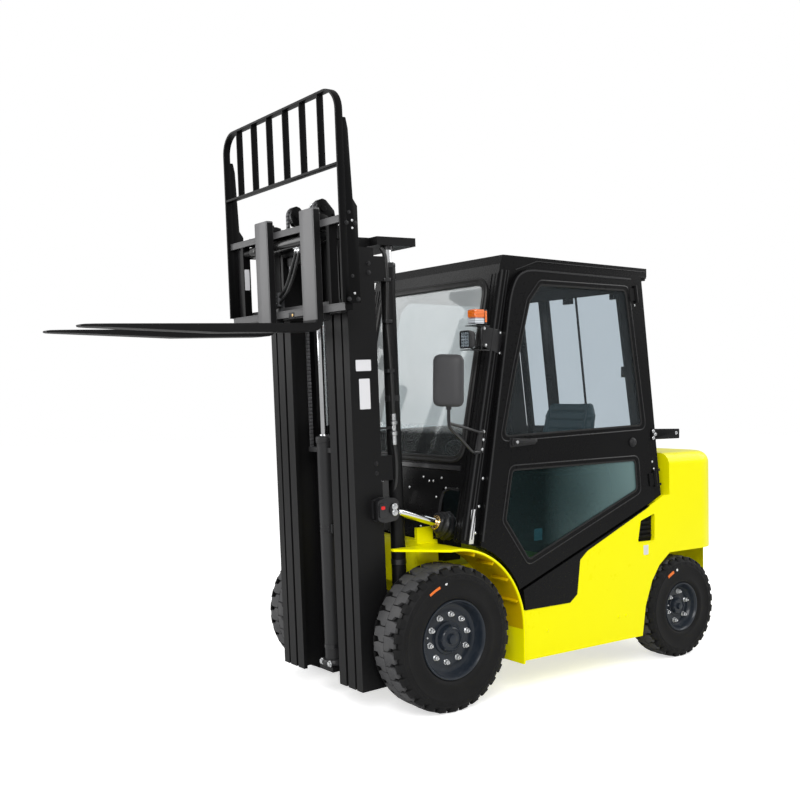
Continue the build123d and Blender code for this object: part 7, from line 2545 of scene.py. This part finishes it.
@dataclass
class Studio:
    """Camera, lamps, world and floor."""

    position: Point = (4.4081, AXLE_Y - 3.0876, 1.5125)
    azimuth: float = 53.958
    pitch: float = 0.15
    roll: float = -0.459
    lens: float = 46.105
    floor_size: float = 60.0
    floor_tone: float = 0.82
    floor_glow: float = 0.62
    backdrop: float = 1.0
    surround: float = 0.55
    aim: Point = (0.0, 0.0, 1.1)

    def build_camera(self) -> None:
        """Stand the camera where the photograph was taken from."""
        turn, tip, lean = (math.radians(v) for v in (self.azimuth, self.pitch, self.roll))
        forward = Vector((-math.sin(turn) * math.cos(tip), math.cos(turn) * math.cos(tip), -math.sin(tip)))
        right = Vector((math.cos(turn), math.sin(turn), 0.0))
        up = right.cross(forward)
        right, up = right * math.cos(lean) + up * math.sin(lean), up * math.cos(lean) - right * math.sin(lean)
        data = bpy.data.cameras.new("photo_camera")
        data.lens = self.lens
        data.sensor_width = 36.0
        data.clip_end = 200.0
        camera = bpy.data.objects.new("photo_camera", data)
        basis = Matrix((right, up, -forward)).transposed().to_4x4()
        camera.matrix_world = Matrix.Translation(self.position) @ basis
        bpy.context.scene.collection.objects.link(camera)
        bpy.context.scene.camera = camera

    def build_lamp(self, name: str, place: Point, size: float, power: float) -> None:
        """Hang one soft area lamp that looks at the truck.

        Args:
            name: The lamp's name.
            place: Where it hangs, in metres.
            size: Its width.
            power: Its power in watts.
        """
        data = bpy.data.lights.new(name, "AREA")
        data.size = size
        data.energy = power
        lamp = bpy.data.objects.new(name, data)
        beam = Vector(self.aim) - Vector(place)
        lamp.matrix_world = Matrix.Translation(place) @ beam.to_track_quat("-Z", "Y").to_matrix().to_4x4()
        bpy.context.scene.collection.objects.link(lamp)

    def build_world(self) -> None:
        """Light the truck from all round, and show white behind it and in its gloss."""
        world = bpy.data.worlds.new("studio")
        bpy.context.scene.world = world
        world.use_nodes = True
        tree = world.node_tree
        tree.nodes.clear()
        rays = tree.nodes.new("ShaderNodeLightPath")
        seen = tree.nodes.new("ShaderNodeMath")
        seen.operation = "MAXIMUM"
        tree.links.new(rays.outputs["Is Camera Ray"], seen.inputs[0])
        tree.links.new(rays.outputs["Is Transmission Ray"], seen.inputs[1])
        both = tree.nodes.new("ShaderNodeMixShader")
        output = tree.nodes.new("ShaderNodeOutputWorld")
        tree.links.new(seen.outputs[0], both.inputs[0])
        for slot, strength in ((1, self.surround), (2, self.backdrop)):
            white = tree.nodes.new("ShaderNodeBackground")
            white.inputs[0].default_value = WHITE
            white.inputs[1].default_value = strength
            tree.links.new(white.outputs[0], both.inputs[slot])
        tree.links.new(both.outputs[0], output.inputs[0])

    def build_floor(self) -> None:
        """Lay a plain pale floor that glows a little to the camera, so only the shadow shows on it."""
        sheet = NodeSheet("floor_white")
        rays = sheet.node("ShaderNodeLightPath")
        direct = Socket(sheet, rays.outputs["Is Camera Ray"])
        seen = direct + Socket(sheet, rays.outputs["Is Transmission Ray"])
        diffuse = sheet.node("ShaderNodeBsdfDiffuse", None, {"Color": shade(WHITE, self.floor_tone)})
        glow = sheet.node(
            "ShaderNodeEmission", None, {"Color": WHITE, "Strength": seen.clamped() * self.floor_glow}
        )
        both = sheet.node("ShaderNodeAddShader", None, {0: diffuse.outputs[0], 1: glow.outputs[0]})
        sheet.tree.links.new(both.outputs[0], sheet.output.inputs[0])
        mesh = bpy.data.meshes.new("floor")
        half = self.floor_size / 2
        mesh.from_pydata(
            [(-half, -half, 0), (half, -half, 0), (half, half, 0), (-half, half, 0)], [], [(0, 1, 2, 3)]
        )
        mesh.materials.append(sheet.material)
        floor = bpy.data.objects.new("floor", mesh)
        bpy.context.scene.collection.objects.link(floor)

    def build(self) -> None:
        """Set up the whole studio."""
        self.build_camera()
        self.build_world()
        self.build_floor()
        self.build_lamp("key", (5.5, -4.5, 5.5), 4.0, 420.0)
        self.build_lamp("fill", (-4.5, -5.0, 4.0), 5.0, 220.0)
        self.build_lamp("rear", (2.0, 6.0, 5.0), 5.0, 220.0)
        bpy.context.scene.view_settings.view_transform = "Standard"


def dress_frame() -> None:
    """Give every CAD node the finish of what it is."""
    for finish, nodes in CAD_FINISH.items():
        for name in nodes:
            slots = frame["nodes"][name].data.materials
            slots.clear()
            slots.append(MATERIALS[finish])


def main() -> None:
    """Build the studio and the truck."""
    Studio().build()
    dress_frame()
    build_wheels()
    build_cab()
    build_lamps()
    build_mast()
    build_forks()
    build_chassis()
    build_interior()


if __name__ == "__main__":
    main()
